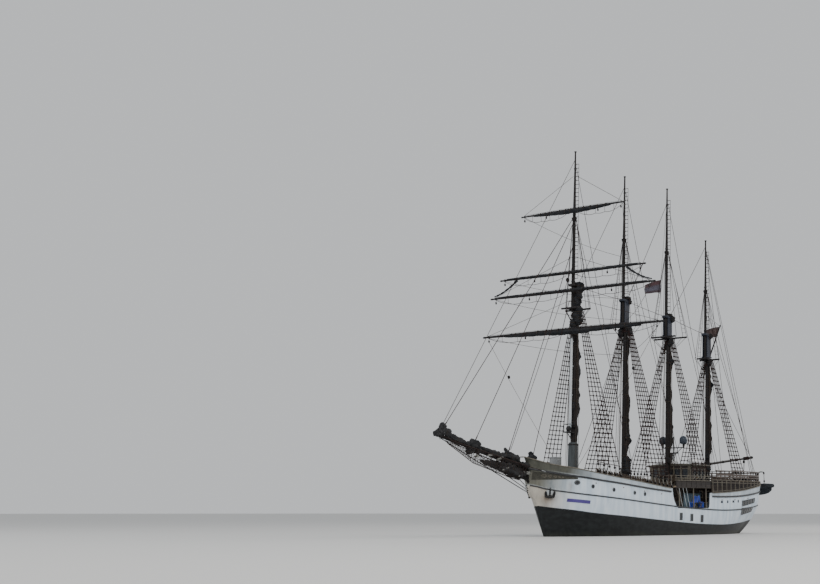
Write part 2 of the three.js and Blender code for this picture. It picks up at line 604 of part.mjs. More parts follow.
function buildCrosstrees({ crossZ, crossHalf, lower }) {
  const z = [up(crossZ) - 0.12, up(crossZ) + 0.06];
  const inner = lower * 0.92 + 0.02;
  const trestles = [-1, 1].map((side) => box([-0.55, 0.95], [side * inner, side * (inner + 0.11)], z));
  const spreaders = [[-0.42, crossHalf], [0.82, crossHalf - 0.48]].map(([x, half]) => (
    box([x, x + 0.12], [-half, half], z)
  ));
  return join(...trestles, ...spreaders);
}

// A stowed sail hanging close behind the mast and to port of it, gathered in waves by its gaskets.
function buildMastSail({ crossZ, lower, sailLowZ: lowZ, sailRadius, sailTurn }) {
  const turns = 11;
  const highZ = crossZ - 1.3;
  const turn = THREE.MathUtils.degToRad(sailTurn);
  return bar('z', Array.from({ length: turns }, (_, k) => {
    const swell = [0.7, 1, 0.85, 1.08, 0.9][k % 5] * (k === 0 || k === turns - 1 ? 0.6 : 1);
    const radius = sailRadius * swell;
    const reach = lower + 0.03 + radius;
    const z = up(lowZ + ((highZ - lowZ) * k) / (turns - 1));
    return [[-reach * Math.cos(turn), reach * Math.sin(turn), z], radius];
  }), 8);
}

// Where a shroud ends: on the cap rail, or on what stands over it by the bridge and the poop.
function shroudFoot(x, side) {
  const onBridge = x < BRIDGE.foreX && x > BRIDGE.aftX;
  const onPoop = x < POOP.foreX;
  const half = onBridge ? BRIDGE.half - 0.03 : railHalf(x) - (onPoop ? 0.34 : 0.08);
  const z = onBridge ? BRIDGE.panelTopZ : (onPoop ? POOP.topZ : capZ(x));
  return new THREE.Vector3(x, side * half, z + 0.012);
}

function buildShrouds(mast) {
  const head = mast.crossZ - 0.55;
  const pieces = [
    rod(onMast(mast, head - 0.14), onMast(mast, head + 0.14), mast.lower + 0.08, mast.lower + 0.06, 12),
  ];
  for (const side of [-1, 1]) {
    const [first, last] = mast.feet;
    const points = Array.from({ length: SHROUDS_A_SIDE }, (_, k) => (
      shroudFoot(mast.x + first + ((last - first) * k) / (SHROUDS_A_SIDE - 1), side)
    ));
    const top = new THREE.Vector3(...onMast(mast, head, -0.05)).setY(side * (mast.lower + 0.02));
    const shroud = (point) => rod(point.toArray(), top.toArray(), SHROUD_RADIUS, SHROUD_RADIUS, 4);
    pieces.push(...points.map(shroud));
    const poleAt = (point) => point.clone().lerp(top, 0.06).toArray();
    pieces.push(rod(poleAt(points[0]), poleAt(points[SHROUDS_A_SIDE - 1]), 0.035, 0.035, 4));
  }
  const hole = rod(onMast(mast, head - 1), onMast(mast, head + 1), mast.lower + 0.01, mast.lower + 0.01, 12);
  return cut(join(...pieces), hole);
}

for (const [name, mast] of Object.entries(MASTS)) {
  const group = mastGroup(mast);
  const topmast = buildTopmast(mast);
  const [holeLow, holeHigh] = [up(mast.crossZ) - 2, up(mast.capZ) + 2];
  const topmastHole = bar('z', [holeLow, holeHigh].map((z) => [[TOPMAST_AHEAD, 0, z], mast.top * 1.06]), 12);
  addPart(`mast_${name}_lower`, cut(buildLowerMast(mast), topmastHole), 'mast', group);
  addPart(`mast_${name}_top`, topmast, 'spar', group);
  addPart(`crosstrees_${name}`, buildCrosstrees(mast), 'spar', group);
  addPart(`furled_sail_${name}`, buildMastSail(mast), 'sail', group);
  addPart(`shrouds_${name}`, buildShrouds(mast), 'rope');
}

// Square yards on the foremast, each with the truss or parrel that holds it to its mast.
function buildYard({ z, half, radius, onTopmast, ahead }) {
  const pivotX = onTopmast ? TOPMAST_AHEAD : 0;
  const mastRadius = onTopmast ? MASTS.fore.top : MASTS.fore.lower;
  const centreX = pivotX + ahead;
  const at = (y, r) => [[centreX, y, up(z)], r];
  const spar = bar('y', [at(-half, radius * 0.45), at(-half * 0.55, radius * 0.85), at(0, radius),
    at(half * 0.55, radius * 0.85), at(half, radius * 0.45)], 10);
  return join(spar, box([pivotX + mastRadius + 0.02, centreX], [-0.09, 0.09], [up(z) - 0.1, up(z) + 0.1]));
}

const foreGroup = mastGroup(MASTS.fore);
for (const [name, yard] of Object.entries(YARDS)) {
  addPart(`yard_${name}`, buildYard(yard), 'spar', foreGroup);
}

// A sail stowed under its yard, fattest near the middle; outwards lists half of it as y and radius.
function buildStowedSail({ z, radius, ahead, onTopmast }, outwards) {
  const centreX = ahead + 0.05 + (onTopmast ? TOPMAST_AHEAD : 0);
  const profile = [...outwards.slice(1).map(([y, r]) => [-y, r]).reverse(), ...outwards];
  return bar('y', profile.map(([y, r]) => [[centreX, y, up(z) - radius - r - 0.01], r]), 10);
}
const COURSE_STOW = [[0, 0.24], [0.9, 0.27], [2.6, 0.21], [4.6, 0.18], [6.3, 0.13], [7.4, 0.08]];
const TOPGALLANT_STOW = [[0, 0.17], [0.8, 0.18], [2, 0.14], [3.2, 0.1], [4.3, 0.06]];
addPart('furled_course', buildStowedSail(YARDS.course, COURSE_STOW), 'sail', foreGroup);
addPart('furled_topgallant', buildStowedSail(YARDS.topgallant, TOPGALLANT_STOW), 'sail', foreGroup);

// Jigger boom and the small steep gaff that carries the flag.
const jiggerGroup = mastGroup(MASTS.jigger);
const boomStart = -(MASTS.jigger.lower + 0.03);
const boomEnds = [
  [boomStart, 0, up(BOOM.z)],
  [boomStart - BOOM.length, 0, up(BOOM.z) + BOOM.rise + BOOM.length * Math.sin(RAKE)],
];
addPart('jigger_boom', rod(...boomEnds, BOOM.radius, BOOM.endRadius, 10), 'spar', jiggerGroup);
addPart('monkey_gaff', rod([-0.32, 0, up(17.35)], [-2.35, 0, up(20.9)], 0.08, 0.05), 'spar', jiggerGroup);

// Flags, each a thin wavy sheet flying forward and to starboard from its hoist.
function buildFlag([x, y, z], hoist, fly) {
  const [steps, thick] = [6, 0.008];
  const [forward, across, droop] = [0.72, -0.69, 0.2];
  return loft(Array.from({ length: steps + 1 }, (_, k) => {
    const run = (fly * k) / steps;
    const wave = 0.08 * Math.sin((k * Math.PI) / 2);
    const cx = x + run * forward - wave * across;
    const cy = y + run * across + wave * forward;
    const cz = z - run * droop;
    const [nearX, nearY] = [cx + thick, cy + thick];
    return [[cx, cy, cz], [nearX, nearY, cz], [nearX, nearY, cz - hoist], [cx, cy, cz - hoist]];
  }));
}
addPart('flag_mizzen', buildFlag([-4.1, -0.75, 24.7], 1.4, 1.9), 'flag');
addPart('flag_gaff', buildFlag([-13.3, -0.12, 20.35], 1.2, 1.5), 'flag');

export default model;
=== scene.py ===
"""The looks of a four-masted barquentine afloat with its sails furled, as a half-scale model.

Every table and function works in metres of the ship itself: +X forward, +Y to port, +Z up from the water.
piece() turns them into metres of the model, which is the frame's own scale.
"""

import math

import bpy
import numpy as np
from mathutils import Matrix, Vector


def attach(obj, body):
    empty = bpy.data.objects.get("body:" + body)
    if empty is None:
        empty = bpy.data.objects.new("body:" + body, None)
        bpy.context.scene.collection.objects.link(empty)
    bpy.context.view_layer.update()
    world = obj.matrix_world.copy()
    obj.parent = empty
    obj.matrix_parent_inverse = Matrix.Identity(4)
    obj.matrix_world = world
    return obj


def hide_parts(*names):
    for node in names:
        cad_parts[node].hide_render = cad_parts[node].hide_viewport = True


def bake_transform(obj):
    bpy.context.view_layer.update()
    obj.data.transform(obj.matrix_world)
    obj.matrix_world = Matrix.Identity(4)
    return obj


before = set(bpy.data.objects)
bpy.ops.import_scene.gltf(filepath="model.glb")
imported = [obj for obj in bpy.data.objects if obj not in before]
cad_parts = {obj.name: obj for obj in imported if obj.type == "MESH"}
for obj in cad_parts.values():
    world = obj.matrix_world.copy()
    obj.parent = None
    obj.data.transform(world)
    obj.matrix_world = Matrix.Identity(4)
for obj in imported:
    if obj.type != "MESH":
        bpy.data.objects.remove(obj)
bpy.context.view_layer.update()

SHIP = 0.5
UP = np.array((0, 0, 1.0))
BEVEL_SEGMENTS = 2
BEVEL_ANGLE = 50
RAKE = math.radians(3)
MAST_DATUM = 4.0
BULWARK_HEIGHT = 0.95
BULWARK_THICK = 0.12
CAP_THICK = 0.08
CAP_WIDTH = 0.30
CAP_OVERHANG = 0.05
KEEL_HALF = 0.15
DECK_CAMBER = 0.05

CAMERA = {
    "place": (62.79, 42.43, 1.04),
    "heading": (-0.7376, -0.6753),
    "pitch": 7.88,
    "lens": 69.86,
    "sensor": 36.0,
    "far": 3000,
}

# Stations from stem to stern: foot of the frame, its head at the deck's edge, fullness, and the rail above.
STATIONS = np.array([
    # foot x, foot z, head x, head half, fullness, rail x, rail half
    [18.03, 5.15, 18.05, 0.20, 1.00, 19.00, 0.40],
    [17.95, 4.45, 17.75, 0.62, 1.05, 18.60, 0.80],
    [17.70, 3.50, 17.20, 1.15, 1.10, 17.90, 1.32],
    [17.00, 2.80, 16.20, 1.75, 1.15, 16.75, 1.93],
    [15.72, 0.00, 14.90, 2.30, 1.30, 15.20, 2.50],
    [14.70, -1.50, 13.40, 2.80, 1.55, 13.55, 2.95],
    [12.60, -2.60, 11.60, 3.22, 1.90, 11.65, 3.32],
    [9.50, -3.02, 9.00, 3.55, 2.50, 9.00, 3.62],
    [5.00, -3.12, 5.00, 3.75, 3.20, 5.00, 3.80],
    [0.00, -3.15, 0.00, 3.80, 3.60, 0.00, 3.84],
    [-4.60, -3.12, -4.60, 3.78, 3.40, -4.60, 3.82],
    [-8.50, -2.75, -8.70, 3.68, 2.60, -8.70, 3.72],
    [-11.60, -1.75, -11.90, 3.45, 2.00, -12.00, 3.50],
    [-14.00, -0.72, -14.20, 3.10, 1.70, -14.40, 3.16],
    [-15.75, -0.10, -15.80, 2.55, 1.90, -16.05, 2.62],
    [-16.85, 1.00, -16.90, 1.75, 1.90, -17.15, 1.82],
    [-17.38, 2.05, -17.45, 0.95, 1.50, -17.72, 0.98],
    [-17.55, 2.85, -17.62, 0.25, 1.20, -17.90, 0.26],
])
COLUMNS_A_BAY = 8
SIDE_ROWS = 26

# Heights along the side, as x and z.
SHEER = [
    (19.06, 6.79), (17.4, 6.27), (14.5, 5.84), (10.8, 5.30), (6.8, 4.85), (1.8, 4.29),
    (-1.6, 4.02), (-4.7, 3.91), (-7.7, 4.00), (-11.6, 4.27), (-14.2, 4.57), (-17.9, 4.97),
]
UPPER_RUB = [
    (18.8, 5.91), (18.0, 5.71), (16.7, 5.43), (15.3, 5.22), (13.6, 5.05), (11.9, 4.84), (9.8, 4.64),
    (6.8, 4.34), (5.4, 4.21), (1.8, 3.94), (-4.7, 3.56), (-7.7, 3.55), (-11.6, 3.70), (-14.2, 3.93),
    (-17.9, 4.35),
]
LOWER_RUB = [
    (18.2, 4.42), (16.7, 4.04), (14.4, 3.71), (11.8, 3.46), (8.6, 3.20), (6.7, 3.04), (2.2, 2.69),
    (-1.0, 2.48), (-4.3, 2.35), (-7.8, 2.28), (-11.1, 2.38), (-17.9, 2.95),
]
BOOT_TOP = [
    (18.5, 2.84), (17.3, 2.66), (15.9, 2.44), (14.3, 2.25), (12.6, 2.04), (10.6, 1.87), (8.4, 1.72),
    (6.5, 1.58), (2.0, 1.27), (-1.2, 1.08), (-4.5, 0.95), (-8.0, 0.91), (-11.0, 1.03), (-14.0, 1.2),
    (-17.5, 1.5),
]
PORT_FLOOR = 2.45
PORT_INNER_HALF = 2.3
PORT_AFT_X = -4.68
PORT_FORE_X = 1.62
PORT_OUTLINE = [
    # x and z round a side port, from the head of its curved fore edge
    (PORT_FORE_X, 6.5), (PORT_FORE_X, 4.2), (1.52, 3.6), (1.32, 3.1), (1.02, 2.7), (0.72, PORT_FLOOR),
    (-4.45, PORT_FLOOR), (-4.62, 2.62), (PORT_AFT_X, 2.9), (PORT_AFT_X, 6.5),
]
PLANKS_UP_THE_SIDE = 42

MASTS = {
    # x at the datum height, top of the step, crosstrees, cap, truck, radii, half spread, first and last
    # shroud, foot of the stowed sail, its thickness, and places and sizes of its lumps
    "fore": dict(x=11.7, step=4.75, cross=20.2, cap=22.4, truck=34.7, lower=0.26, top=0.165, spread=1.4,
                 feet=(0.3, -2.55), sail_low=8.2, sail=0.21, lumps=((0.955, 1.5), (0.72, 0.45), (0.4, 0.3))),
    "main": dict(x=3.87, step=3.95, cross=19.4, cap=21.8, truck=33.6, lower=0.25, top=0.155, spread=1.5,
                 feet=(0.3, -2.35), sail_low=5.9, sail=0.18, lumps=((0.22, 0.8), (0.9, 0.7), (0.55, 0.35))),
    "mizzen": dict(x=-3.33, step=4.6, cross=18.8, cap=20.9, truck=33.5, lower=0.25, top=0.155, spread=1.85,
                   feet=(0.95, -1.45), sail_low=7.2, sail=0.17, lumps=((0.9, 0.8), (0.3, 0.4))),
    "jigger": dict(x=-10.34, step=3.55, cross=17.2, cap=19.75, truck=29.2, lower=0.24, top=0.14, spread=1.15,
                   feet=(0.3, -2.1), sail_low=7.6, sail=0.17, lumps=((0.85, 0.7), (0.2, 0.3))),
}
SAIL_TURN = 12
TOPMAST_AHEAD = 0.42
YARDS = {
    # body and node, height, half length, radius, distance ahead of the lower mast's axis
    "course": dict(z=18.2, half=10.0, radius=0.17, ahead=0.85),
    "lower_topsail": dict(z=21.75, half=9.15, radius=0.15, ahead=0.92),
    "upper_topsail": dict(z=23.4, half=8.1, radius=0.14, ahead=0.87),
    "topgallant": dict(z=29.2, half=5.8, radius=0.12, ahead=0.82),
}
BOWSPRIT = dict(heel=15.3, head=18.9, head_z=5.98, tip=29.65, slope=0.21, radius=0.25, tip_radius=0.13)
WHEELHOUSE = dict(fore=-3.87, aft=-6.5, half=2.2, floor=4.45, top=6.45, wall=0.08)
BRIDGE = dict(fore=1.2, aft=-5.0, half=3.75, low=4.33, top=4.45, panel=4.98)
POOP = dict(fore=-9.7, fence=-5.2, top=5.12, rail=6.0)
SHROUDS_A_SIDE = 5


def new_object(name, data):
    """An object of the scene that holds a mesh, a camera or a light."""
    made = bpy.data.objects.new(name, data)
    bpy.context.scene.collection.objects.link(made)
    return made


def make_camera():
    """The photograph's own camera: low over the water, off the port bow, looking a little up."""
    data = bpy.data.cameras.new("camera")
    data.lens = CAMERA["lens"]
    data.sensor_width = CAMERA["sensor"]
    data.clip_end = CAMERA["far"]
    camera = new_object("camera", data)
    pitch = math.radians(CAMERA["pitch"])
    x, y = CAMERA["heading"]
    look = Vector((x * math.cos(pitch), y * math.cos(pitch), math.sin(pitch)))
    camera.location = CAMERA["place"]
    camera.rotation_euler = look.to_track_quat("-Z", "Y").to_euler()
    bpy.context.scene.camera = camera


make_camera()


# Shapes. Each returns (points, faces): an array of points and a list of arrays of corner numbers.

def unit(vectors):
    """Vectors divided by their own length."""
    return vectors / np.maximum(np.linalg.norm(vectors, axis=-1, keepdims=True), 1e-9)


def eased(table, x):
    """A smooth curve through rows of (place, value), cubic between rows, with a row's slope from its
    neighbours."""
    rows = np.asarray(table, float)
    rows = rows[rows[:, 0].argsort()]
    places, values = rows[:, 0], rows[:, 1]
    slopes = np.gradient(values, places)
    k = np.clip(np.searchsorted(places, x) - 1, 0, len(places) - 2)
    run = places[k + 1] - places[k]
    t = np.clip((x - places[k]) / run, 0, 1)
    start = values[k] * (2 * t**3 - 3 * t**2 + 1) + slopes[k] * run * (t**3 - 2 * t**2 + t)
    return start + values[k + 1] * (3 * t**2 - 2 * t**3) + slopes[k + 1] * run * (t**3 - t**2)


def grid_faces(rows, columns, around):
    """Four-cornered faces between neighbouring points of a grid, joined round in the columns' direction
    if asked."""
    row = np.arange(rows - 1)[:, None] * columns
    column = np.arange(columns if around else columns - 1)[None]
    after = (column + 1) % columns
    return np.stack([row + column, row + after, row + columns + after, row + columns + column],
                    -1).reshape(-1, 4)


def outward(points, faces):
    """The same closed shape with its faces turned to point outwards, by the sign of the volume they hold."""
    volume = 0.0
    for corners in faces:
        first = points[corners[:, :1]]
        volume += (first * np.cross(points[corners[:, 1:-1]], points[corners[:, 2:]])).sum()
    return points, faces if volume > 0 else [corners[:, ::-1] for corners in faces]


def solid(rings):
    """A closed skin through rings[ring, point], with a flat end on the first and last ring."""
    rows, columns = rings.shape[:2]
    ends = [np.arange(columns)[None, ::-1], np.arange(columns)[None] + (rows - 1) * columns]
    return outward(rings.reshape(-1, 3), [grid_faces(rows, columns, True), *ends])


def across(directions):
    """Two directions square to each direction given, and to each other."""
    steep = np.abs(directions[..., 2:]) > 0.9
    lead = np.where(steep, (1.0, 0.0, 0.0), (0.0, 0.0, 1.0))
    side = unit(np.cross(lead, directions))
    return side, np.cross(directions, side)


def circle(sides, turn=0.5):
    """Cosines and sines of equal steps round a circle."""
    angle = 2 * np.pi * (np.arange(sides) + turn) / sides
    return np.cos(angle), np.sin(angle)


def tube(path, radius, sides=8, flat=1.0):
    """A round bar along a path: a circle square to the path at each of its points, squeezed upwards by
    flat."""
    path = np.asarray(path, float)
    radius = np.broadcast_to(np.asarray(radius, float), len(path))[:, None, None]
    ahead = unit(np.gradient(path, axis=0))
    mean = np.broadcast_to(unit(ahead.mean(0)), ahead.shape)
    side, _ = across(mean)
    side = unit(side - ahead * (side * ahead).sum(-1, keepdims=True))
    over = np.cross(ahead, side)
    cosine, sine = circle(sides)
    ring = side[:, None] * cosine[:, None] + flat * over[:, None] * sine[:, None]
    return solid(path[:, None] + radius * ring)


def straight_bars(starts, ends, near, far):
    """Many straight bars at once: near and far are their corners' offsets[bar, corner] from starts and
    ends."""
    points = np.stack([starts[:, None] + near, ends[:, None] + far], 1).reshape(-1, 3)
    corners = near.shape[1]
    base = np.arange(len(starts))[:, None, None] * 2 * corners
    walls = (base + grid_faces(2, corners, True)).reshape(-1, 4)
    feet = base[:, 0] + np.arange(corners)[None, ::-1]
    heads = base[:, 0] + corners + np.arange(corners)[None]
    return points, [walls, feet, heads]


def matched(starts, ends):
    """The ends of bars as two arrays of the same length, from one point or many."""
    return np.broadcast_arrays(*(np.atleast_2d(np.asarray(points, float)) for points in (starts, ends)))


def bars(starts, ends, radius, end_radius=None, sides=6):
    """Straight round bars between one or many pairs of points, each with a ring square to it at both ends."""
    starts, ends = matched(starts, ends)
    side, over = across(unit(ends - starts))
    cosine, sine = (value[:, None] for value in circle(sides))
    ring = side[:, None] * cosine + over[:, None] * sine
    near = np.broadcast_to(radius, len(starts))[:, None, None]
    far = near if end_radius is None else np.broadcast_to(end_radius, len(starts))[:, None, None]
    return straight_bars(starts, ends, near * ring, far * ring)


def beams(starts, ends, wide, deep, lead=(0, 0, 1)):
    """Straight bars of rectangular section: wide is square to lead and to the bar, deep is the other way."""
    starts, ends = matched(starts, ends)
    ahead = unit(ends - starts)
    side = unit(np.cross(np.asarray(lead, float), ahead))
    over = np.cross(ahead, side)
    wide, deep = (np.broadcast_to(v, len(starts))[:, None, None] / 2 for v in (wide, deep))
    corner = np.array([(-1, -1), (1, -1), (1, 1), (-1, 1)], float)
    ring = side[:, None] * corner[:, :1] * wide + over[:, None] * corner[:, 1:] * deep
    return straight_bars(starts, ends, ring, ring)


def about(middle, half):
    """The two ends of a span, from its middle and half its length."""
    return middle - half, middle + half


def block(x, y, z):
    """A box between two values of x, of y and of z."""
    middle = ((y[0] + y[1]) / 2, (z[0] + z[1]) / 2)
    low, high = sorted(x)
    return beams((low, *middle), (high, *middle), abs(y[1] - y[0]), abs(z[1] - z[0]))


def lathe(profile, sides=16, place=(0, 0, 0)):
    """A round shape about an upright axis: profile is rows of (radius, height over place), turned round
    it."""
    profile = np.asarray(profile, float)
    cosine, sine = circle(sides)
    ring = np.stack([cosine, sine, np.zeros(sides)], -1)
    return moved(solid(profile[:, :1, None] * ring[None] + profile[:, 1:, None] * UP), place)


def lying_lathe(profile, sides, place):
    """A round shape about an axis along the ship: profile is rows of (radius, distance ahead of place)."""
    return placed(lathe(profile, sides), place, (0, 0, 1), (0, 1, 0), (1, 0, 0))


def canister(half, radius, place):
    """A raft's canister lying along the ship: a barrel with stepped ends."""
    end = [(0.1, half), (radius - 0.03, half - 0.04), (radius, half - 0.12)]
    return lying_lathe([(step, -away) for step, away in end] + end[::-1], 24, place)


def ball(centre, radius, sides=16, flat=1.0):
    """A sphere: circles whose radius follows a half turn of sine, closed at both poles."""
    turn = np.linspace(0.02, np.pi - 0.02, max(sides // 2, 5))
    return moved(lathe(np.stack([radius * np.sin(turn), -radius * flat * np.cos(turn)], 1), sides), centre)


def ring_of(centre, normal, radius, thick, sides=20, section=8):
    """A round ring: a small circle carried round a large one."""
    side, over = across(unit(np.atleast_2d(np.asarray(normal, float))))
    cosine, sine = circle(sides)
    outwards = side * cosine[:, None] + over * sine[:, None]
    small_cosine, small_sine = circle(section)
    spread = outwards[:, None] * small_cosine[:, None]
    spread = spread + unit(np.asarray(normal, float)) * small_sine[:, None]
    points = np.asarray(centre, float) + radius * outwards[:, None] + thick * spread
    faces = grid_faces(sides + 1, section, True) % (sides * section)
    return outward(points.reshape(-1, 3), [faces])


def moved(part, by):
    """A part carried along by a vector."""
    return part[0] + np.asarray(by, float), part[1]


def placed(part, origin, right, up, out):
    """A part made round (0, 0, 0), set at origin with its own x, y and z along right, up and out."""
    return outward(np.asarray(origin) + part[0] @ np.array([right, up, out], float), part[1])


def mirrored(part):
    """The part's twin on the other side of the ship, its faces turned back outwards."""
    return part[0] * (1, -1, 1), [corners[:, ::-1] for corners in part[1]]


def both_sides(*parts):
    """The parts given and their twins on the other side."""
    return [*parts, *(mirrored(part) for part in parts)]


def moulding(path, out, profile):
    """A bar of any section: profile is rows of (outwards, upwards), carried along a path with its own outward
    directions."""
    profile = np.asarray(profile, float)
    return solid(path[:, None] + profile[None, :, :1] * out[:, None] + profile[None, :, 1:] * UP)


def plan_out(path):
    """The level direction square to a path at each point, on its right-hand side."""
    run = unit(np.gradient(path, axis=0) * (1, 1, 0))
    return np.stack([run[:, 1], -run[:, 0], np.zeros(len(run))], 1)


def mesh_from(name, parts):
    """One mesh from parts of (points, faces), with their places scaled from ship metres to the model's."""
    points = np.concatenate([part[0] for part in parts])
    starts = np.cumsum([0] + [len(part[0]) for part in parts])
    polygons = [corners + start for part, start in zip(parts, starts) for corners in part[1]]
    sizes = np.concatenate([np.full(len(p), p.shape[1]) for p in polygons])
    corners = np.concatenate([p.ravel() for p in polygons])
    mesh = bpy.data.meshes.new(name)
    mesh.vertices.add(len(points))
    mesh.vertices.foreach_set("co", (points * SHIP).ravel())
    mesh.loops.add(len(corners))
    mesh.loops.foreach_set("vertex_index", corners)
    mesh.polygons.add(len(sizes))
    mesh.polygons.foreach_set("loop_start", np.cumsum(sizes) - sizes)
    mesh.update(calc_edges=True)
    mesh.validate()
    return mesh


def finish_mesh(mesh, sharp):
    """Smooth shading with edges kept sharp over an angle in degrees."""
    mesh.polygons.foreach_set("use_smooth", np.ones(len(mesh.polygons), bool))
    if sharp < 180:
        mesh.set_sharp_from_angle(angle=math.radians(sharp))


def piece(name, parts, material, body="ship", replaces=(), sharp=40, bevel=0.0):
    """An object of the ship made from parts, with a material, the body it rides on and the nodes it
    stands for."""
    obj = new_object(name, mesh_from(name, parts))
    obj.data.materials.append(material)
    finish_mesh(obj.data, sharp)
    if bevel:
        rounding = obj.modifiers.new("eased edges", "BEVEL")
        rounding.width = bevel * SHIP
        rounding.segments = BEVEL_SEGMENTS
        rounding.limit_method = "ANGLE"
        rounding.angle_limit = math.radians(BEVEL_ANGLE)
        rounding.harden_normals = False
    if body:
        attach(obj, body)
    if replaces:
        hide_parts(*replaces)
    return obj


def stowed_piece(name, skins, material, body="ship", replaces=()):
    """A padded piece from (skin, depth of its folds): the depth becomes a value from 0 in a hollow to 1 on a
    crest, which the canvas finish reads as painted shade, darker in the hollows and lighter on the crests."""
    sail = piece(name, [skin for skin, _ in skins], material, body, replaces, sharp=180)
    depth = np.concatenate([values for _, values in skins])
    add_values(sail.data, fold=(depth - depth.min()) / (depth.max() - depth.min()))


def on_mast(mast, z, ahead=0.0, to_port=0.0):
    """A point by a mast's raked axis, at a height over the water, so far ahead of it and to port of it."""
    z = np.asarray(z, float)
    rise = z - MAST_DATUM
    x = mast["x"] + ahead * math.cos(RAKE) - rise * math.sin(RAKE)
    up = MAST_DATUM + ahead * math.sin(RAKE) + rise * math.cos(RAKE)
    return np.stack(np.broadcast_arrays(x, to_port, up), -1).astype(float)


# Finishes. Each pattern reads Object coordinates or an attribute of the piece.

def finish(name, colour=(0.5, 0.5, 0.5), roughness=0.5, metallic=0.0, coat=0.0, sheen=0.0, specular=0.5):
    """A new material with its shader's own sockets set, and its node tree and shader."""
    made = bpy.data.materials.new(name)
    made.use_nodes = True
    shader = made.node_tree.nodes["Principled BSDF"]
    values = {"Base Color": (*colour, 1), "Roughness": roughness, "Metallic": metallic, "Coat Weight": coat,
              "Sheen Weight": sheen, "Specular IOR Level": specular}
    for socket, value in values.items():
        shader.inputs[socket].default_value = value
    return made, made.node_tree, shader


def put(tree, kind, **inputs):
    """A node with its inputs set or linked: inputs are named by place, such as i0, or are the node's own
    fields."""
    node = tree.nodes.new(kind)
    for key, value in inputs.items():
        if key[0] == "i" and key[1:].isdigit():
            if isinstance(value, bpy.types.NodeSocket):
                tree.links.new(value, node.inputs[int(key[1:])])
            else:
                node.inputs[int(key[1:])].default_value = value
        else:
            setattr(node, key, value)
    return node


def spots(tree, scale, size=1.0, detail=4.0):
    """Noise over Object coordinates stretched by scale, from 0 to 1."""
    where = put(tree, "ShaderNodeTexCoord").outputs["Object"]
    stretched = put(tree, "ShaderNodeMapping", i0=where, i3=scale).outputs[0]
    noise = put(tree, "ShaderNodeTexNoise")
    tree.links.new(stretched, noise.inputs["Vector"])
    noise.inputs["Scale"].default_value = size
    noise.inputs["Detail"].default_value = detail
    return noise.outputs["Fac"]


def ramp(tree, value, *stops):
    """Colours along a value: stops are (place, colour)."""
    node = put(tree, "ShaderNodeValToRGB", i0=value)
    elements = node.color_ramp.elements
    while len(elements) < len(stops):
        elements.new(0.5)
    for element, (place, colour) in zip(elements, stops):
        element.position = place
        element.color = (*colour, 1) if len(colour) == 3 else colour
    return node.outputs[0]


def blend_colours(tree, share, first, second, way="MIX"):
    """Two colours mixed by a share from 0 to 1, or multiplied when the way says so."""
    return put(tree, "ShaderNodeMix", data_type="RGBA", blend_type=way, i0=share, i6=first,
               i7=second).outputs[2]


def relief(tree, shader, height, distance, strength=1.0):
    """Bump from a height, with its distance in model metres."""
    node = put(tree, "ShaderNodeBump")
    tree.links.new(height, node.inputs["Height"])
    node.inputs["Distance"].default_value = distance
    node.inputs["Strength"].default_value = strength
    tree.links.new(node.outputs[0], shader.inputs["Normal"])


def value_of(tree, name):
    """A float attribute of the piece."""
    return put(tree, "ShaderNodeAttribute", attribute_name=name).outputs["Fac"]


def math_of(tree, operation, first, second=0.0):
    """One arithmetic step on sockets or numbers."""
    return put(tree, "ShaderNodeMath", operation=operation, i0=first, i1=second).outputs[0]


def make_topsides():
    """White topsides, tinted blue-grey and dulled as painted sky-lit shade, over a black bottom darkened as
    painted shade, streaked downwards: creamy low at the stem, olive above it, greyer over the upper strake,
    with rust where the maps say."""
    made, tree, shader = finish("topsides_paint", roughness=0.45, specular=0.3)

    def zone(name, below, above):
        return blend_colours(tree, value_of(tree, name), below, above)

    streaks = spots(tree, (2.2, 2.2, 0.35), 2.0)
    # painted shade: the white paint is tinted blue-grey and dulled, as a shaded side lit by the sky looks
    white = ramp(tree, streaks, (0.3, (0.50, 0.60, 0.70)), (0.5, (0.62, 0.71, 0.80)),
                 (0.75, (0.74, 0.80, 0.86)))
    upper = ramp(tree, streaks, (0.3, (0.33, 0.38, 0.43)), (0.7, (0.48, 0.54, 0.59)))
    white = zone("upper", white, upper)
    cream = ramp(tree, streaks, (0.3, (0.36, 0.32, 0.26)), (0.7, (0.53, 0.48, 0.40)))
    white = zone("cream", white, cream)
    olive = ramp(tree, streaks, (0.3, (0.10, 0.10, 0.085)), (0.7, (0.19, 0.185, 0.15)))
    dark_olive = ramp(tree, streaks, (0.3, (0.045, 0.048, 0.040)), (0.7, (0.105, 0.105, 0.085)))
    white = zone("olive", white, zone("upper", olive, dark_olive))
    grime = ramp(tree, spots(tree, (3, 3, 0.6), 3.0), (0.35, (0.09, 0.055, 0.035)), (0.7, (0.28, 0.19, 0.12)))
    white = zone("rust", white, grime)
    # black boot paint, made darker than real black paint as painted shade
    black = ramp(tree, spots(tree, (1.5, 1.5, 2.5), 2.5), (0.35, (0.004, 0.005, 0.006)),
                 (0.7, (0.014, 0.017, 0.018)))
    scum = ramp(tree, spots(tree, (3, 3, 3), 4.0), (0.3, (0.018, 0.022, 0.016)), (0.7, (0.045, 0.048, 0.038)))
    black = zone("scum", black, scum)
    above = math_of(tree, "GREATER_THAN", value_of(tree, "boot"), 0.0)
    tree.links.new(blend_colours(tree, above, black, white), shader.inputs["Base Color"])
    seam = math_of(tree, "PINGPONG", value_of(tree, "strake"), 0.5)
    groove = math_of(tree, "MINIMUM", math_of(tree, "MULTIPLY", seam, 14.0), 1.0)
    dents = math_of(tree, "MULTIPLY", spots(tree, (1, 1, 1), 1.2), 0.9)
    relief(tree, shader, math_of(tree, "ADD", groove, dents), distance=0.004, strength=0.5)
    return made


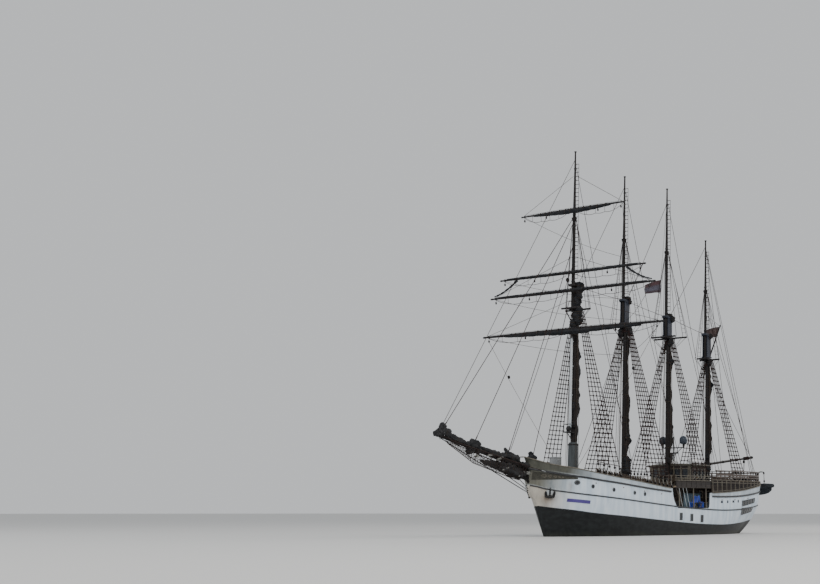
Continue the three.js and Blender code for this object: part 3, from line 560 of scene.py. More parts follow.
def make_timber(name, dark, light, along="x", roughness=0.5, coat=0.0, size=1.0, specular=0.5):
    """Wood with its grain along x, y or z: one noise stretched that way, for both colour and relief."""
    made, tree, shader = finish(name, roughness=roughness, coat=coat, specular=specular)
    stretch = {"x": (1, 9, 9), "y": (9, 1, 9), "z": (9, 9, 1)}[along]
    grain = spots(tree, stretch, 2.2 * size, 6.0)
    tree.links.new(ramp(tree, grain, (0.3, dark), (0.7, light)), shader.inputs["Base Color"])
    relief(tree, shader, grain, distance=0.004 / size, strength=0.6)
    return made


def make_planks(name, dark, light, width, on_wall=False):
    """Laid planks: bricks in x and y, or in x and z on a wall, long ones of a plank's width, with dark
    seams."""
    made, tree, shader = finish(name, roughness=0.7)
    where = put(tree, "ShaderNodeTexCoord").outputs["Object"]
    turn = (math.pi / 2, 0, 0) if on_wall else (0, 0, 0)
    turned = put(tree, "ShaderNodeMapping", i0=where, i2=turn).outputs[0]
    bricks = put(tree, "ShaderNodeTexBrick", offset=0.37, squash=1.0)
    tree.links.new(turned, bricks.inputs["Vector"])
    values = {"Color1": (*dark, 1), "Color2": (*light, 1), "Mortar": (0.02, 0.018, 0.016, 1), "Scale": 1.0,
              "Mortar Size": 0.003, "Brick Width": 2.1, "Row Height": width}
    for socket, value in values.items():
        bricks.inputs[socket].default_value = value
    worn = ramp(tree, spots(tree, (1, 12, 12), 3.0, 5.0), (0.25, (0.55, 0.55, 0.55)), (0.7, (1, 1, 1)))
    tinted = blend_colours(tree, 1.0, bricks.outputs["Color"], worn, "MULTIPLY")
    tree.links.new(tinted, shader.inputs["Base Color"])
    relief(tree, shader, math_of(tree, "SUBTRACT", 1.0, bricks.outputs["Fac"]), distance=0.003, strength=0.7)
    return made


def make_mottled(name, dark, light, scale=(1, 1, 1), size=4.0, roughness=0.5, metallic=0.0, relief_by=0.001,
                 **extra):
    """Paint, metal, rubber or canvas: a mottle between two colours, with the same noise as a fine relief."""
    made, tree, shader = finish(name, roughness=roughness, metallic=metallic, **extra)
    mottle = spots(tree, scale, size, 5.0)
    tree.links.new(ramp(tree, mottle, (0.3, dark), (0.7, light)), shader.inputs["Base Color"])
    if relief_by:
        relief(tree, shader, mottle, distance=relief_by, strength=0.7)
    return made


def make_canvas(name, dark, light):
    """Stowed sailcloth: a mottle with a fine noise relief, and painted shade darker in the folds' hollows."""
    made, tree, shader = finish(name, roughness=0.9, specular=0.1)
    mottle = math_of(tree, "MULTIPLY", spots(tree, (1, 1, 1), 3.0, 6.0), 0.7)
    # painted shade: the folds' depth darkens their hollows and lightens their crests
    hollow = math_of(tree, "MULTIPLY", value_of(tree, "fold"), 0.3)
    tone = ramp(tree, math_of(tree, "ADD", mottle, hollow), (0.25, dark), (0.65, light))
    tree.links.new(tone, shader.inputs["Base Color"])
    relief(tree, shader, spots(tree, (1, 1, 1), 90.0, 2.0), distance=0.002, strength=0.5)
    return made


def make_rope(name, dark, light):
    """Laid rope or served wire: a fine noise for colour and relief."""
    return make_mottled(name, dark, light, (1, 1, 1), size=40.0, roughness=0.85, metallic=0.0,
                        relief_by=0.001, specular=0.1)


TOPSIDES = make_topsides()
INNER_PAINT = make_mottled("bulwark_paint", (0.55, 0.56, 0.54), (0.72, 0.73, 0.71), (1, 1, 0.4), size=3.0,
                           roughness=0.5)
PORT_LINING = make_mottled("side_port_lining", (0.020, 0.025, 0.030), (0.055, 0.065, 0.075), size=3.0,
                           roughness=0.6)
FOOT_PAINT = make_mottled("mast_casing_paint", (0.038, 0.044, 0.047), (0.080, 0.090, 0.095), (1.5, 1.5, 0.3),
                          size=3.0, roughness=0.6, specular=0.2)
TRIM_PAINT = make_mottled("dark_trim_paint", (0.045, 0.048, 0.052), (0.090, 0.095, 0.100), size=4.0,
                          roughness=0.5)
LANYARD = make_mottled("grey_lanyards", (0.13, 0.125, 0.115), (0.27, 0.26, 0.24), size=40.0, roughness=0.85)
BLACK_PAINT = make_mottled("rubbing_strake_paint", (0.010, 0.011, 0.013), (0.035, 0.036, 0.04), size=3.0,
                           roughness=0.4)
DECK = make_planks("deck_planks", (0.30, 0.22, 0.14), (0.42, 0.32, 0.21), width=0.06)
# near black: dark brown boards, made darker still as painted shade of the house sides
WALL_PLANKS = make_planks("house_boards", (0.012, 0.009, 0.008), (0.034, 0.023, 0.018), width=0.07,
                          on_wall=True)
PANEL_PAINT = make_mottled("side_port_panel", (0.045, 0.075, 0.095), (0.095, 0.140, 0.170), (2, 2, 0.5),
                           size=3.0, roughness=0.6)
RAIL_WOOD = make_timber("rail_timber", (0.070, 0.062, 0.050), (0.19, 0.170, 0.135), "x", roughness=0.65,
                        specular=0.3)
TRAIL_PAINT = make_timber("trailboard_paint", (0.026, 0.026, 0.021), (0.070, 0.067, 0.054), "x",
                          roughness=0.65, specular=0.3)
TEAK = make_timber("varnished_teak", (0.022, 0.014, 0.010), (0.070, 0.042, 0.028), "x", roughness=0.45,
                   coat=0.1)
POST_WOOD = make_timber("weathered_post", (0.070, 0.062, 0.052), (0.20, 0.180, 0.145), "z", roughness=0.65,
                        specular=0.3)
ROOF_WOOD = make_mottled("weathered_roof", (0.050, 0.047, 0.040), (0.115, 0.107, 0.090), (0.6, 2, 2),
                         size=3.0, roughness=0.7, specular=0.3)
# near black: dark timber, made darker still than its real colour as painted shade of the backlit spars
MAST_WOOD = make_timber("dark_mast_timber", (0.005, 0.0045, 0.005), (0.020, 0.016, 0.015), "z", roughness=0.5,
                        specular=0.15)
SPAR_WOOD = make_timber("dark_spar_timber", (0.005, 0.0045, 0.006), (0.018, 0.015, 0.015), "y", roughness=0.5,
                        specular=0.15)
SPRIT_WOOD = make_timber("bowsprit_timber", (0.005, 0.005, 0.006), (0.020, 0.018, 0.018), "x", roughness=0.5,
                         specular=0.12)
PALE_PAINT = make_mottled("pale_mast_paint", (0.36, 0.40, 0.43), (0.55, 0.58, 0.60), (1.5, 1.5, 0.25),
                          size=3.0, roughness=0.5)
SLATE_PAINT = make_mottled("doubling_paint", (0.012, 0.015, 0.024), (0.034, 0.040, 0.056), (1.5, 1.5, 0.3),
                           size=3.0, roughness=0.5, specular=0.2)
WHITE_PAINT = make_mottled("white_enamel", (0.62, 0.64, 0.65), (0.78, 0.79, 0.80), size=3.0, roughness=0.35)
# near black: black iron, made darker still than its real colour as painted shade
IRON = make_mottled("black_iron", (0.008, 0.008, 0.010), (0.028, 0.027, 0.027), size=8.0, roughness=0.55,
                    metallic=0.3, specular=0.3)
RUSTY = make_mottled("rusted_iron", (0.06, 0.035, 0.022), (0.17, 0.085, 0.045), size=7.0, roughness=0.8)
STEEL = make_mottled("galvanised_steel", (0.30, 0.31, 0.32), (0.48, 0.49, 0.50), size=9.0, roughness=0.4,
                     metallic=0.8)
BRASS = make_mottled("aged_brass", (0.30, 0.20, 0.08), (0.50, 0.36, 0.16), size=9.0, roughness=0.35,
                     metallic=0.9)
BRONZE = make_mottled("cast_bronze", (0.22, 0.14, 0.06), (0.42, 0.29, 0.13), size=6.0, roughness=0.4,
                      metallic=0.9)
GLASS = make_mottled("dark_window", (0.008, 0.011, 0.015), (0.02, 0.026, 0.034), size=1.0, roughness=0.08,
                     relief_by=0)
LOCKER_PAINT = make_mottled("locker_paint", (0.13, 0.14, 0.145), (0.24, 0.25, 0.255), (1, 1, 0.4), size=4.0,
                            roughness=0.6)
DOME = make_mottled("aerial_dome", (0.026, 0.036, 0.052), (0.058, 0.074, 0.098), size=2.0, roughness=0.5,
                    relief_by=0, specular=0.3)
PLATE = make_mottled("blank_name_plate", (0.045, 0.032, 0.17), (0.09, 0.065, 0.27), size=3.0, roughness=0.45)
RUBBER = make_mottled("tender_fabric", (0.009, 0.012, 0.017), (0.028, 0.034, 0.042), size=5.0, roughness=0.6,
                      specular=0.3)
BLUE_COVER = make_mottled("blue_cover", (0.02, 0.05, 0.36), (0.06, 0.12, 0.62), size=5.0, roughness=0.8,
                          sheen=0.2)
# near black: dark stowed sailcloth, made darker still than its real colour as painted shade
CANVAS = make_canvas("stowed_canvas", (0.005, 0.006, 0.008), (0.030, 0.031, 0.034))
JIB_CANVAS = make_canvas("stowed_jib_canvas", (0.007, 0.008, 0.009), (0.042, 0.042, 0.044))
PALE_CANVAS = make_canvas("weathered_canvas", (0.10, 0.105, 0.10), (0.26, 0.26, 0.245))
# near black: the tarred rigging and the net below, made darker still than their real colour as painted shade
TARRED = make_rope("tarred_rigging", (0.010, 0.006, 0.006), (0.036, 0.021, 0.019))
HEMP = make_rope("running_rope", (0.028, 0.022, 0.018), (0.085, 0.067, 0.052))
NET = make_rope("bowsprit_net", (0.020, 0.014, 0.013), (0.060, 0.042, 0.037))


# Hull: outer skin, bulwark and deck in one closed shell, with the two side ports cut in it.

def station_rows():
    """Station values between the stations, on a smooth curve through each column of the table."""
    bays = len(STATIONS) - 1
    at = np.linspace(0, bays, COLUMNS_A_BAY * bays + 1)
    index = np.arange(bays + 1)
    return np.stack([eased(np.stack([index, STATIONS[:, k]], 1), at) for k in range(7)])


FOOT_X, FOOT_Z, HEAD_X, HEAD_HALF, FULLNESS, RAIL_X, RAIL_HALF = station_rows()
HEAD_HALF, RAIL_HALF = np.maximum(HEAD_HALF, 0.12), np.maximum(RAIL_HALF, 0.18)


def cap_z(x):
    """The cap rail's top."""
    return eased(SHEER, x)


def deck_z(x):
    """The deck at its edge."""
    return cap_z(x) - BULWARK_HEIGHT


def rail_half(x):
    """Half the breadth over the rail."""
    return np.interp(x, RAIL_X[::-1], RAIL_HALF[::-1])


def deck_half(x):
    """Half the breadth at the deck's edge."""
    return np.interp(x, HEAD_X[::-1], HEAD_HALF[::-1])


def frame_columns():
    """Foot x and z, head x, half breadth and fullness of every frame, each as a column."""
    return (values[:, None] for values in (FOOT_X, FOOT_Z, HEAD_X, HEAD_HALF, FULLNESS))


def frame_half(height, half, full):
    """A frame's half breadth at shares of its height, which grows from keel to deck as 1 - (1 -
    height)^fullness."""
    return KEEL_HALF + (half - KEEL_HALF) * (1 - (1 - height) ** full)


def rail_line(first=99.0, last=-99.0):
    """The cap rail's middle height over the bulwark's outer face, from stem to stern on the port side."""
    keep = (RAIL_X <= first) & (RAIL_X >= last)
    return np.stack([RAIL_X, RAIL_HALF, cap_z(RAIL_X) - CAP_THICK / 2], 1)[keep]


def outer_side():
    """Port side points[column, row]: frames from keel to deck, closer together low down, then straight to
    the rail."""
    height = np.linspace(0, 1, SIDE_ROWS)[None] ** 1.3
    foot_x, foot_z, head_x, half, full = frame_columns()
    x = foot_x + height * (head_x - foot_x)
    z = foot_z + height * (deck_z(head_x) - foot_z)
    frames = np.stack([x, frame_half(height, half, full), z], -1)
    head = frames[:, -1:]
    climb = np.array([0.25, 0.5, 0.75, 1.0])[None, :, None]
    return np.concatenate([frames, head + climb * (rail_line()[:, None] - head)], 1)


SIDE = outer_side()


def inset_plan(x, y, distance):
    """A plan curve moved inwards, square to itself."""
    path = np.stack([x, y, np.zeros_like(x)], 1)
    out = plan_out(path)
    return x - out[:, 0] * distance, np.maximum(y - out[:, 1] * distance, 0.03)


def hull_shell():
    """Rings of outer side, bulwark top, bulwark inside and cambered deck, mirrored and joined round at
    the keel."""
    in_x, in_y = inset_plan(RAIL_X, RAIL_HALF, BULWARK_THICK)
    top = np.stack([in_x, in_y, cap_z(RAIL_X) - CAP_THICK / 2], 1)[:, None]
    edge_x, edge_y = inset_plan(HEAD_X, HEAD_HALF, BULWARK_THICK + 0.02)
    edge = np.stack([edge_x, edge_y, deck_z(HEAD_X)], 1)[:, None]
    inwards = np.array([0.75, 0.5, 0.25, 0.0])[None, :]
    deck = np.stack(np.broadcast_arrays(
        edge[..., 0], edge[..., 1] * inwards, edge[..., 2] + DECK_CAMBER * (1 - inwards**2)), -1)
    half = np.concatenate([SIDE, top, edge, deck], 1)
    return np.concatenate([half, half[:, -2::-1] * (1, -1, 1)], 1)


def port_cutter(side):
    """A side port's shape in x and z, its fore edge curved like a cleat, carried out through the side."""
    outline = np.array(PORT_OUTLINE)
    return solid(np.stack([np.insert(outline, 1, side * y, 1) for y in (PORT_INNER_HALF, 5.0)]))


def carve(obj, cutters, material):
    """Cuts other shapes out of an object, and keeps the result as its own mesh."""
    tools = []
    for index, cutter in enumerate(cutters):
        tool = new_object(f"cutter_{index}", mesh_from(f"cutter_{index}", [cutter]))
        tool.data.materials.append(material)
        change = obj.modifiers.new("cut", "BOOLEAN")
        change.operation = "DIFFERENCE"
        change.solver = "EXACT"
        change.object = tool
        change.material_mode = "TRANSFER"
        tools.append(tool)
    bpy.context.view_layer.update()
    made = bpy.data.meshes.new_from_object(obj.evaluated_get(bpy.context.evaluated_depsgraph_get()))
    obj.modifiers.clear()
    obj.data = made
    for tool in tools:
        bpy.data.objects.remove(tool)


def vertex_points(mesh):
    """A mesh's vertices in ship metres."""
    points = np.empty(len(mesh.vertices) * 3)
    mesh.vertices.foreach_get("co", points)
    return points.reshape(-1, 3) / SHIP


def add_values(mesh, **values):
    """Float attributes, one value a vertex."""
    for name, value in values.items():
        mesh.attributes.new(name, "FLOAT", "POINT").data.foreach_set("value", value.astype(np.float32))


RUST_SPOTS = [
    # x, z of the spot's top, length downwards, width, strength
    (16.35, 3.42, 0.75, 0.42, 1.0), (16.35, 3.3, 1.7, 0.25, 0.5), (14.9, 4.5, 0.8, 0.12, 0.45),
    (5.6, 4.1, 0.7, 0.1, 0.3), (10.5, 4.45, 0.9, 0.09, 0.3), (2.4, 2.6, 0.8, 0.12, 0.3),
    (-6.9, 3.4, 0.8, 0.12, 0.35), (-9.4, 2.2, 0.9, 0.14, 0.3), (7.6, 3.0, 0.8, 0.1, 0.25),
]


def add_hull_values(mesh):
    """What the topsides' finish reads: height over the boot top, cream and olive zones, rust, scum, plank
    seams."""
    x, _, z = vertex_points(mesh).T
    rust = np.zeros(len(x))
    for spot_x, top, length, width, strength in RUST_SPOTS:
        below = np.clip((top - z) / length, 0, 1)
        run = np.where(z < top, (1 - below) ** 0.7, 0) * np.exp(-(((x - spot_x) / width) ** 2))
        rust = np.maximum(rust, strength * run)
    foot = np.interp(x, FOOT_X[::-1], FOOT_Z[::-1])
    height = (z - foot) / np.maximum(cap_z(x) - foot, 0.5)
    over_lower, over_upper = (np.clip((z - eased(table, x)) / 0.1, 0, 1) for table in (LOWER_RUB, UPPER_RUB))
    olive = over_lower * np.clip((x - 14.0 + 2.0 * over_upper) / 3.4, 0, 1)
    cream = np.clip((x - 14.2) / 2.6, 0, 1) * 0.9 * (1 - over_lower)
    scum = np.clip(1 - np.abs(z - 0.12) / 0.22, 0, 1) * 0.8
    add_values(mesh, boot=z - eased(BOOT_TOP, x), cream=cream, olive=olive, upper=over_upper * 0.85,
               rust=rust, scum=scum, strake=height * PLANKS_UP_THE_SIDE)


def make_hull():
    """The shell with its four finishes, by the part of the ring that a face lies on, and its two side
    ports."""
    ring = hull_shell()
    hull = new_object("hull_shell", mesh_from("hull_shell", [solid(ring)]))
    for material in (TOPSIDES, INNER_PAINT, DECK, PORT_LINING):
        hull.data.materials.append(material)
    side_rows = SIDE.shape[1]
    around = np.arange(ring.shape[1])
    mirror = np.minimum(around, ring.shape[1] - 2 - around)
    kind = np.where(mirror < side_rows - 1, 0, np.where(mirror < side_rows + 1, 1, 2))
    kind[-1] = 0
    index = np.concatenate([np.tile(kind, ring.shape[0] - 1), [0, 0]])
    hull.data.polygons.foreach_set("material_index", index.astype(np.int32))
    carve(hull, [port_cutter(1), port_cutter(-1)], PORT_LINING)
    add_hull_values(hull.data)
    finish_mesh(hull.data, 35)
    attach(hull, "ship")
    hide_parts("hull", "bulwark_fore", "bulwark_aft")


make_hull()


def frames_at(z):
    """x and half breadth of every frame at heights z[point], or at one height a frame, z[frame, 1]."""
    foot_x, foot_z, head_x, half, full = frame_columns()
    head_z = deck_z(head_x)
    rail_z = cap_z(RAIL_X)[:, None]
    below = np.clip((z - foot_z) / (head_z - foot_z), 0, 1)
    above = np.clip((z - head_z) / (rail_z - head_z), 0, 1)
    x = foot_x + below * (head_x - foot_x) + above * (RAIL_X[:, None] - head_x)
    return x, frame_half(below, half, full) + above * (RAIL_HALF[:, None] - half)


def half_at(x, z):
    """Half the breadth of the side at places x and heights z."""
    frame_x, frame_y = frames_at(z)
    after = np.clip((frame_x > x).sum(0), 1, len(frame_x) - 1)
    point = np.arange(len(x))
    x0, x1 = frame_x[after - 1, point], frame_x[after, point]
    y0, y1 = frame_y[after - 1, point], frame_y[after, point]
    return y0 + np.clip((x0 - x) / np.maximum(x0 - x1, 1e-6), 0, 1) * (y1 - y0)


def on_side(x, z, out=0.0):
    """Points on the port side, moved outwards, and the side's outward direction there."""
    x, z = (v.astype(float).ravel() for v in np.broadcast_arrays(np.atleast_1d(x), z))
    step = 0.04
    slope_x = (half_at(x + step, z) - half_at(x - step, z)) / (2 * step)
    slope_z = (half_at(x, z + step) - half_at(x, z - step)) / (2 * step)
    normal = unit(np.stack([-slope_x, np.ones_like(x), -slope_z], 1))
    return np.stack([x, half_at(x, z), z], 1) + normal * out, normal


def spot_on_side(x, z):
    """One point on the port side and the side's outward direction there."""
    (centre,), (normal,) = on_side(x, z)
    return centre, normal


def side_patch(x_range, z_low, z_high, out, columns=8, rows=4):
    """A thin plate that lies on the port side: a grid on the skin and its copy moved outwards."""
    across_x = np.linspace(*x_range, columns)[:, None]
    share = np.linspace(0, 1, rows)[None]
    low, high = (np.interp(across_x, np.sort(x_range), np.array(v)[np.argsort(x_range)])
                 for v in (z_low, z_high))
    z = low + share * (high - low)
    x = np.broadcast_to(across_x, z.shape)
    inner, outer = (on_side(x, z, away)[0].reshape(columns, rows, 3) for away in (-0.03, out))
    return solid(np.concatenate([inner, outer[:, ::-1]], 1))


def side_panel(x, half_wide, low, high, out, columns=8, rows=4):
    """A thin plate on the port side between two level edges."""
    return side_patch(about(x, half_wide)[::-1], (low, low), (high, high), out=out, columns=columns,
                      rows=rows)


def side_line(table, first=99.0, last=-99.0):
    """A line along the port side from stem to stern, at the heights of a table of x and z. Frames whose
    foot is above it are left out, and it then starts on the stem where it crosses the line of those
    feet."""
    x = HEAD_X
    for _ in range(5):
        z = eased(table, x)
        x, y = (v[:, 0] for v in frames_at(z[:, None]))
    line = np.stack([x, y, z], 1)
    clear = z - FOOT_Z
    start = int(np.argmax(clear > 0))
    if start:
        share = clear[start - 1] / (clear[start - 1] - clear[start])
        foot = np.array([np.interp(share, (0, 1), v[start - 1:start + 1]) for v in (FOOT_X, FOOT_Z)])
        line = np.concatenate([[(foot[0], KEEL_HALF, foot[1])], line[start:]])
    return line[(line[:, 0] <= first) & (line[:, 0] >= last)]


def whole_loop(line):
    """A line on the port side joined to its twin round the bow."""
    return np.concatenate([line[::-1] * (1, -1, 1), line])


HALF_ROUND = np.array([
    # outwards, upwards, in shares of a strake's depth
    (-0.6, -0.5), (0.3, -0.5), (0.62, -0.36), (0.74, 0.0), (0.62, 0.36), (0.3, 0.5), (-0.6, 0.5),
])


def strake(line, depth, proud=1.0):
    """A rounded rubbing strake along a line, its back sunk in the side."""
    return moulding(line, plan_out(line), HALF_ROUND * (depth * proud, depth))


def make_strakes():
    """Two rubbing strakes a side, the upper one broken by the side port, and a thin moulding over the
    boot top."""
    upper = [side_line(UPPER_RUB, last=PORT_FORE_X), side_line(UPPER_RUB, first=PORT_AFT_X)]
    strakes = [strake(line, depth=0.17, proud=0.8) for line in upper]
    piece("rubbing_strakes", both_sides(*strakes, strake(side_line(LOWER_RUB), depth=0.12, proud=0.8)),
          BLACK_PAINT)
    boot = side_line([(x, z + 0.02) for x, z in BOOT_TOP])
    piece("waterline_moulding", both_sides(strake(boot, depth=0.035, proud=0.7)), BLACK_PAINT)


CAP_INNER = CAP_OVERHANG - CAP_WIDTH
CAP_SECTION = np.array([
    # outwards, upwards: a flat board with eased edges
    (CAP_OVERHANG - 0.02, -0.04), (CAP_OVERHANG, -0.02), (CAP_OVERHANG, 0.02), (CAP_OVERHANG - 0.02, 0.04),
    (CAP_INNER + 0.02, 0.04), (CAP_INNER, 0.02), (CAP_INNER, -0.02), (CAP_INNER + 0.02, -0.04),
])
PORTHOLES = ((12.72, 4.29), (10.24, 4.03), (7.42, 3.79), (5.93, 3.69))
HAWSE_PIPE = (14.33, 4.61)
HAWSE_LONG = 1.45
LOW_WINDOWS = ((0.24, 1.70), (-1.53, 1.60), (-3.29, 1.50))
PANE_PROUD = 0.012
FRAME_PROUD = 0.03
QUARTER_WINDOWS = (
    # sill and head of each row, at its after and its fore end
    ((3.07, 2.68), (3.44, 3.14)),
    ((2.20, 1.86), (2.60, 2.44)),
)
FREEING_PORTS = (
    # x, z, half width, half height
    (-6.9, 3.05, 0.16, 0.1), (-8.0, 3.07, 0.10, 0.12), (-9.1, 3.10, 0.16, 0.1), (-10.1, 3.14, 0.10, 0.12),
)
SCUPPERS = (12.4, 9.0, 6.0, 3.4, -6.9, -9.4, -12.2)


def make_cap_rails():
    """The cap rail in its two parts, fore and aft of the side ports, and the stanchions inside the
    bulwark."""
    fore = whole_loop(rail_line(last=PORT_FORE_X + 0.02))
    aft = whole_loop(rail_line(first=PORT_AFT_X - 0.02)[::-1])
    for label, node, path, turn in (("bow", "fore", fore, (1, 1)), ("stern", "aft", aft, (-1, 1))):
        rail = moulding(path, plan_out(path), CAP_SECTION * turn)
        piece(f"cap_rail_{label}", [rail], RAIL_WOOD, replaces=(f"cap_rail_{node}",))
    posts = []
    for line in (rail_line(first=17.6, last=PORT_FORE_X + 0.1),
                 rail_line(first=PORT_AFT_X - 0.1, last=-16.8)):
        heads = line[::3]
        inwards = plan_out(line)[::3] * 0.16
        foot = np.stack([heads[:, 0], deck_half(heads[:, 0]), deck_z(heads[:, 0])], 1)
        posts.append(beams(foot - inwards, heads - inwards + (0, 0, -0.02), 0.09, 0.09, (1, 0, 0)))
    piece("bulwark_stanchions", both_sides(*posts), INNER_PAINT)


def make_portholes():
    """Four round ports and the oval hawse pipe: each a ring on the side with a dark disc in it."""
    rings, discs = [], []
    for x, z in PORTHOLES:
        centre, normal = spot_on_side(x, z)
        rings.append(ring_of(centre + normal * 0.01, normal, 0.15, 0.035, 24))
        discs.append(bars(centre - normal * 0.05, centre + normal * 0.012, 0.15, sides=24))
    centre, normal = spot_on_side(*HAWSE_PIPE)
    (side,), (over,) = across(normal[None])
    ring = ring_of((0, 0, 0), (0, 0, 1), 0.16, 0.05, 28)
    disc = lathe([(0.17, -0.06), (0.17, 0.015)], 28)
    for made, (points, faces), out in ((rings, ring, 0.02), (discs, disc, 0.0)):
        made.append(placed((points * (HAWSE_LONG, 1, 1), faces), centre + normal * out, side, over, normal))
    return rings, discs


def make_side_windows():
    """Panes and frames of the three low windows and of the two rows of quarter windows, which rise with
    the sheer."""
    panes, rims = [], []
    for x, z in LOW_WINDOWS:
        panes.append(side_panel(x, 0.19, *about(z, 0.29), PANE_PROUD))
        rims += [side_panel(x, 0.235, *about(z + rise, 0.0225), FRAME_PROUD) for rise in (-0.3125, 0.3125)]
        rims += [side_panel(x + shift, 0.0225, *about(z, 0.29), FRAME_PROUD, 2)
                 for shift in (-0.2125, 0.2125)]
    for low, high in QUARTER_WINDOWS:
        for x in np.linspace(-10.95, -13.5, 5):
            ends = (x, x - 0.46)
            sill, head = (np.interp(ends, (-14.05, -10.9), edge) for edge in (low, high))
            panes.append(side_patch(ends, sill, head, out=PANE_PROUD))
            for z_low, z_high in ((sill - 0.05, sill), (head, head + 0.05)):
                rims.append(side_patch((x + 0.05, x - 0.51), z_low, z_high, out=FRAME_PROUD + 0.005))
            for k, post in enumerate((x + 0.025, x - 0.485)):
                rims.append(side_panel(post, 0.025, sill[k] - 0.05, head[k] + 0.05, FRAME_PROUD, 2))
    return panes, rims


def make_side_fittings():
    """Portholes, hawse pipes, windows, freeing ports, scuppers and the blank name plate of both sides."""
    rings, discs = make_portholes()
    panes, rims = make_side_windows()
    piece("side_port_rings", both_sides(*rings), TRIM_PAINT)
    piece("side_windows", both_sides(*discs, *panes), GLASS)
    piece("side_window_frames", both_sides(*rims), TRIM_PAINT)
    plate = side_patch((14.97, 12.86), (2.98, 2.80), (3.26, 3.08), out=0.03, columns=16)
    piece("blank_name_plate", both_sides(plate), PLATE)
    lids = [side_panel(x, wide, *about(z, tall), 0.02, 3, 2) for x, z, wide, tall in FREEING_PORTS]
    piece("freeing_port_lids", both_sides(*lids), SLATE_PAINT)
    scuppers = [bars(*(on_side(x, eased(UPPER_RUB, x) - 0.32, out)[0] for out in (-0.02, 0.05)), 0.045)
                for x in np.array(SCUPPERS)[:, None]]
    piece("scupper_pipes", both_sides(*scuppers), RUSTY)


make_strakes()
make_cap_rails()
make_side_fittings()


# Masts, crosstrees, stowed sails and standing rigging.

# A mast's own directions: ahead, to port and up its raked axis.
MAST_AHEAD = np.array((math.cos(RAKE), 0, math.sin(RAKE)))
MAST_PORT = np.array((0, 1.0, 0))
MAST_UP = np.array((-math.sin(RAKE), 0, math.cos(RAKE)))
MAST_AXES = (MAST_AHEAD, MAST_PORT, MAST_UP)


def rings_on_mast(mast, rows, ahead=0.0, sides=20):
    """Round sections about a mast's axis: rows of (height, radius)."""
    rows = np.asarray(rows, float)
    cosine, sine = (values[:, None] for values in circle(sides))
    ring = MAST_AHEAD * cosine + MAST_PORT * sine
    return solid(on_mast(mast, rows[:, 0], ahead)[:, None] + rows[:, 1, None, None] * ring)


def box_on_mast(mast, z, half_high, ahead, port):
    """A block square to a mast's axis: ahead and port are its spans."""
    return placed(block(ahead, port, about(0, half_high)), on_mast(mast, z), *MAST_AXES)


def band(mast, z, radius, high=0.1, ahead=0.0):
    """An iron band round a spar, with a rounded edge."""
    low = [(z - high / 2, radius - 0.02), (z - high / 2, radius + 0.015), (z - high / 3, radius + 0.028)]
    return rings_on_mast(mast, low + [(2 * z - height, wide) for height, wide in low[::-1]], ahead)


def hounds_z(mast):
    """Height of the topmast's hounds."""
    return mast["cross"] + (mast["truck"] - mast["cross"]) * 0.57


def make_mast(name, mast):
    """A lower mast and its head, the topmast with its hounds and truck, the crosstrees, and iron bands on
    them all."""
    step, cross, cap, truck = (mast[key] for key in ("step", "cross", "cap", "truck"))
    radius, top = mast["lower"], mast["top"]
    hounds = hounds_z(mast)
    heights = np.linspace(step, cross, 9)
    rows = np.stack([heights, np.interp(heights, (step, cross), (radius, radius * 0.88))], 1)
    piece(f"lower_mast_{name}", [rings_on_mast(mast, rows, 0, 24)], MAST_WOOD,
          replaces=(f"mast_{name}_lower",))
    head = [(cross, radius * 0.9), (cross + 0.4, radius * 0.86), (cap - 0.22, radius * 0.78)]
    cap_block = box_on_mast(mast, cap - 0.11, 0.11, (-0.2, 0.75), about(0, 0.28))
    head_finish = MAST_WOOD if name == "fore" else SLATE_PAINT
    piece(f"mast_head_{name}", [rings_on_mast(mast, head, 0, 24), cap_block], head_finish, bevel=0.03)
    rows = [
        (cross - 0.3, top), (cross + 0.5, top), (hounds - 0.3, top * 0.88), (hounds - 0.12, top + 0.05),
        (hounds + 0.05, top + 0.09), (hounds + 0.1, top * 0.9), (hounds + 0.2, top * 0.84),
        ((hounds + truck) / 2, top * 0.62), (truck - 0.07, 0.07), (truck - 0.05, 0.11), (truck + 0.03, 0.11),
        (truck + 0.05, 0.03),
    ]
    piece(f"topmast_{name}", [rings_on_mast(mast, rows, TOPMAST_AHEAD)], MAST_WOOD,
          replaces=(f"mast_{name}_top",))
    inner = radius * 0.92 + 0.02
    trees = [box_on_mast(mast, cross - 0.03, 0.09, (-0.55, 0.95), (side * inner, side * (inner + 0.11)))
             for side in (-1, 1)]
    trees += [box_on_mast(mast, cross - 0.03, 0.075, (at, at + 0.12), about(0, mast["spread"] - shorter))
              for at, shorter in ((-0.42, 0), (0.82, 0.48))]
    piece(f"crosstree_bars_{name}", trees, SPAR_WOOD, replaces=(f"crosstrees_{name}",),
          bevel=0.02)
    bands = [band(mast, z, np.interp(z, (step, cap), (radius, radius * 0.78)))
             for z in (cross - 0.69, cross - 0.41, cross - 1.5, cross + 0.7, step + 1.3, step + 2.6)]
    bands += [band(mast, z, top * share, high=0.09, ahead=TOPMAST_AHEAD) for z, share in (
        (cap + 0.25, 0.99), (hounds - 0.7, 0.89), (hounds + 0.35, 0.83), (truck - 1.6, 0.56))]
    sole = [(step - 0.02, 0.1), (step + 0.08, 0.09), (step + 0.16, 0.02), (step + 0.16, -0.02)]
    bands.append(rings_on_mast(mast, [(z, radius + wider) for z, wider in sole], 0, 24))
    piece(f"mast_bands_{name}", bands, IRON)


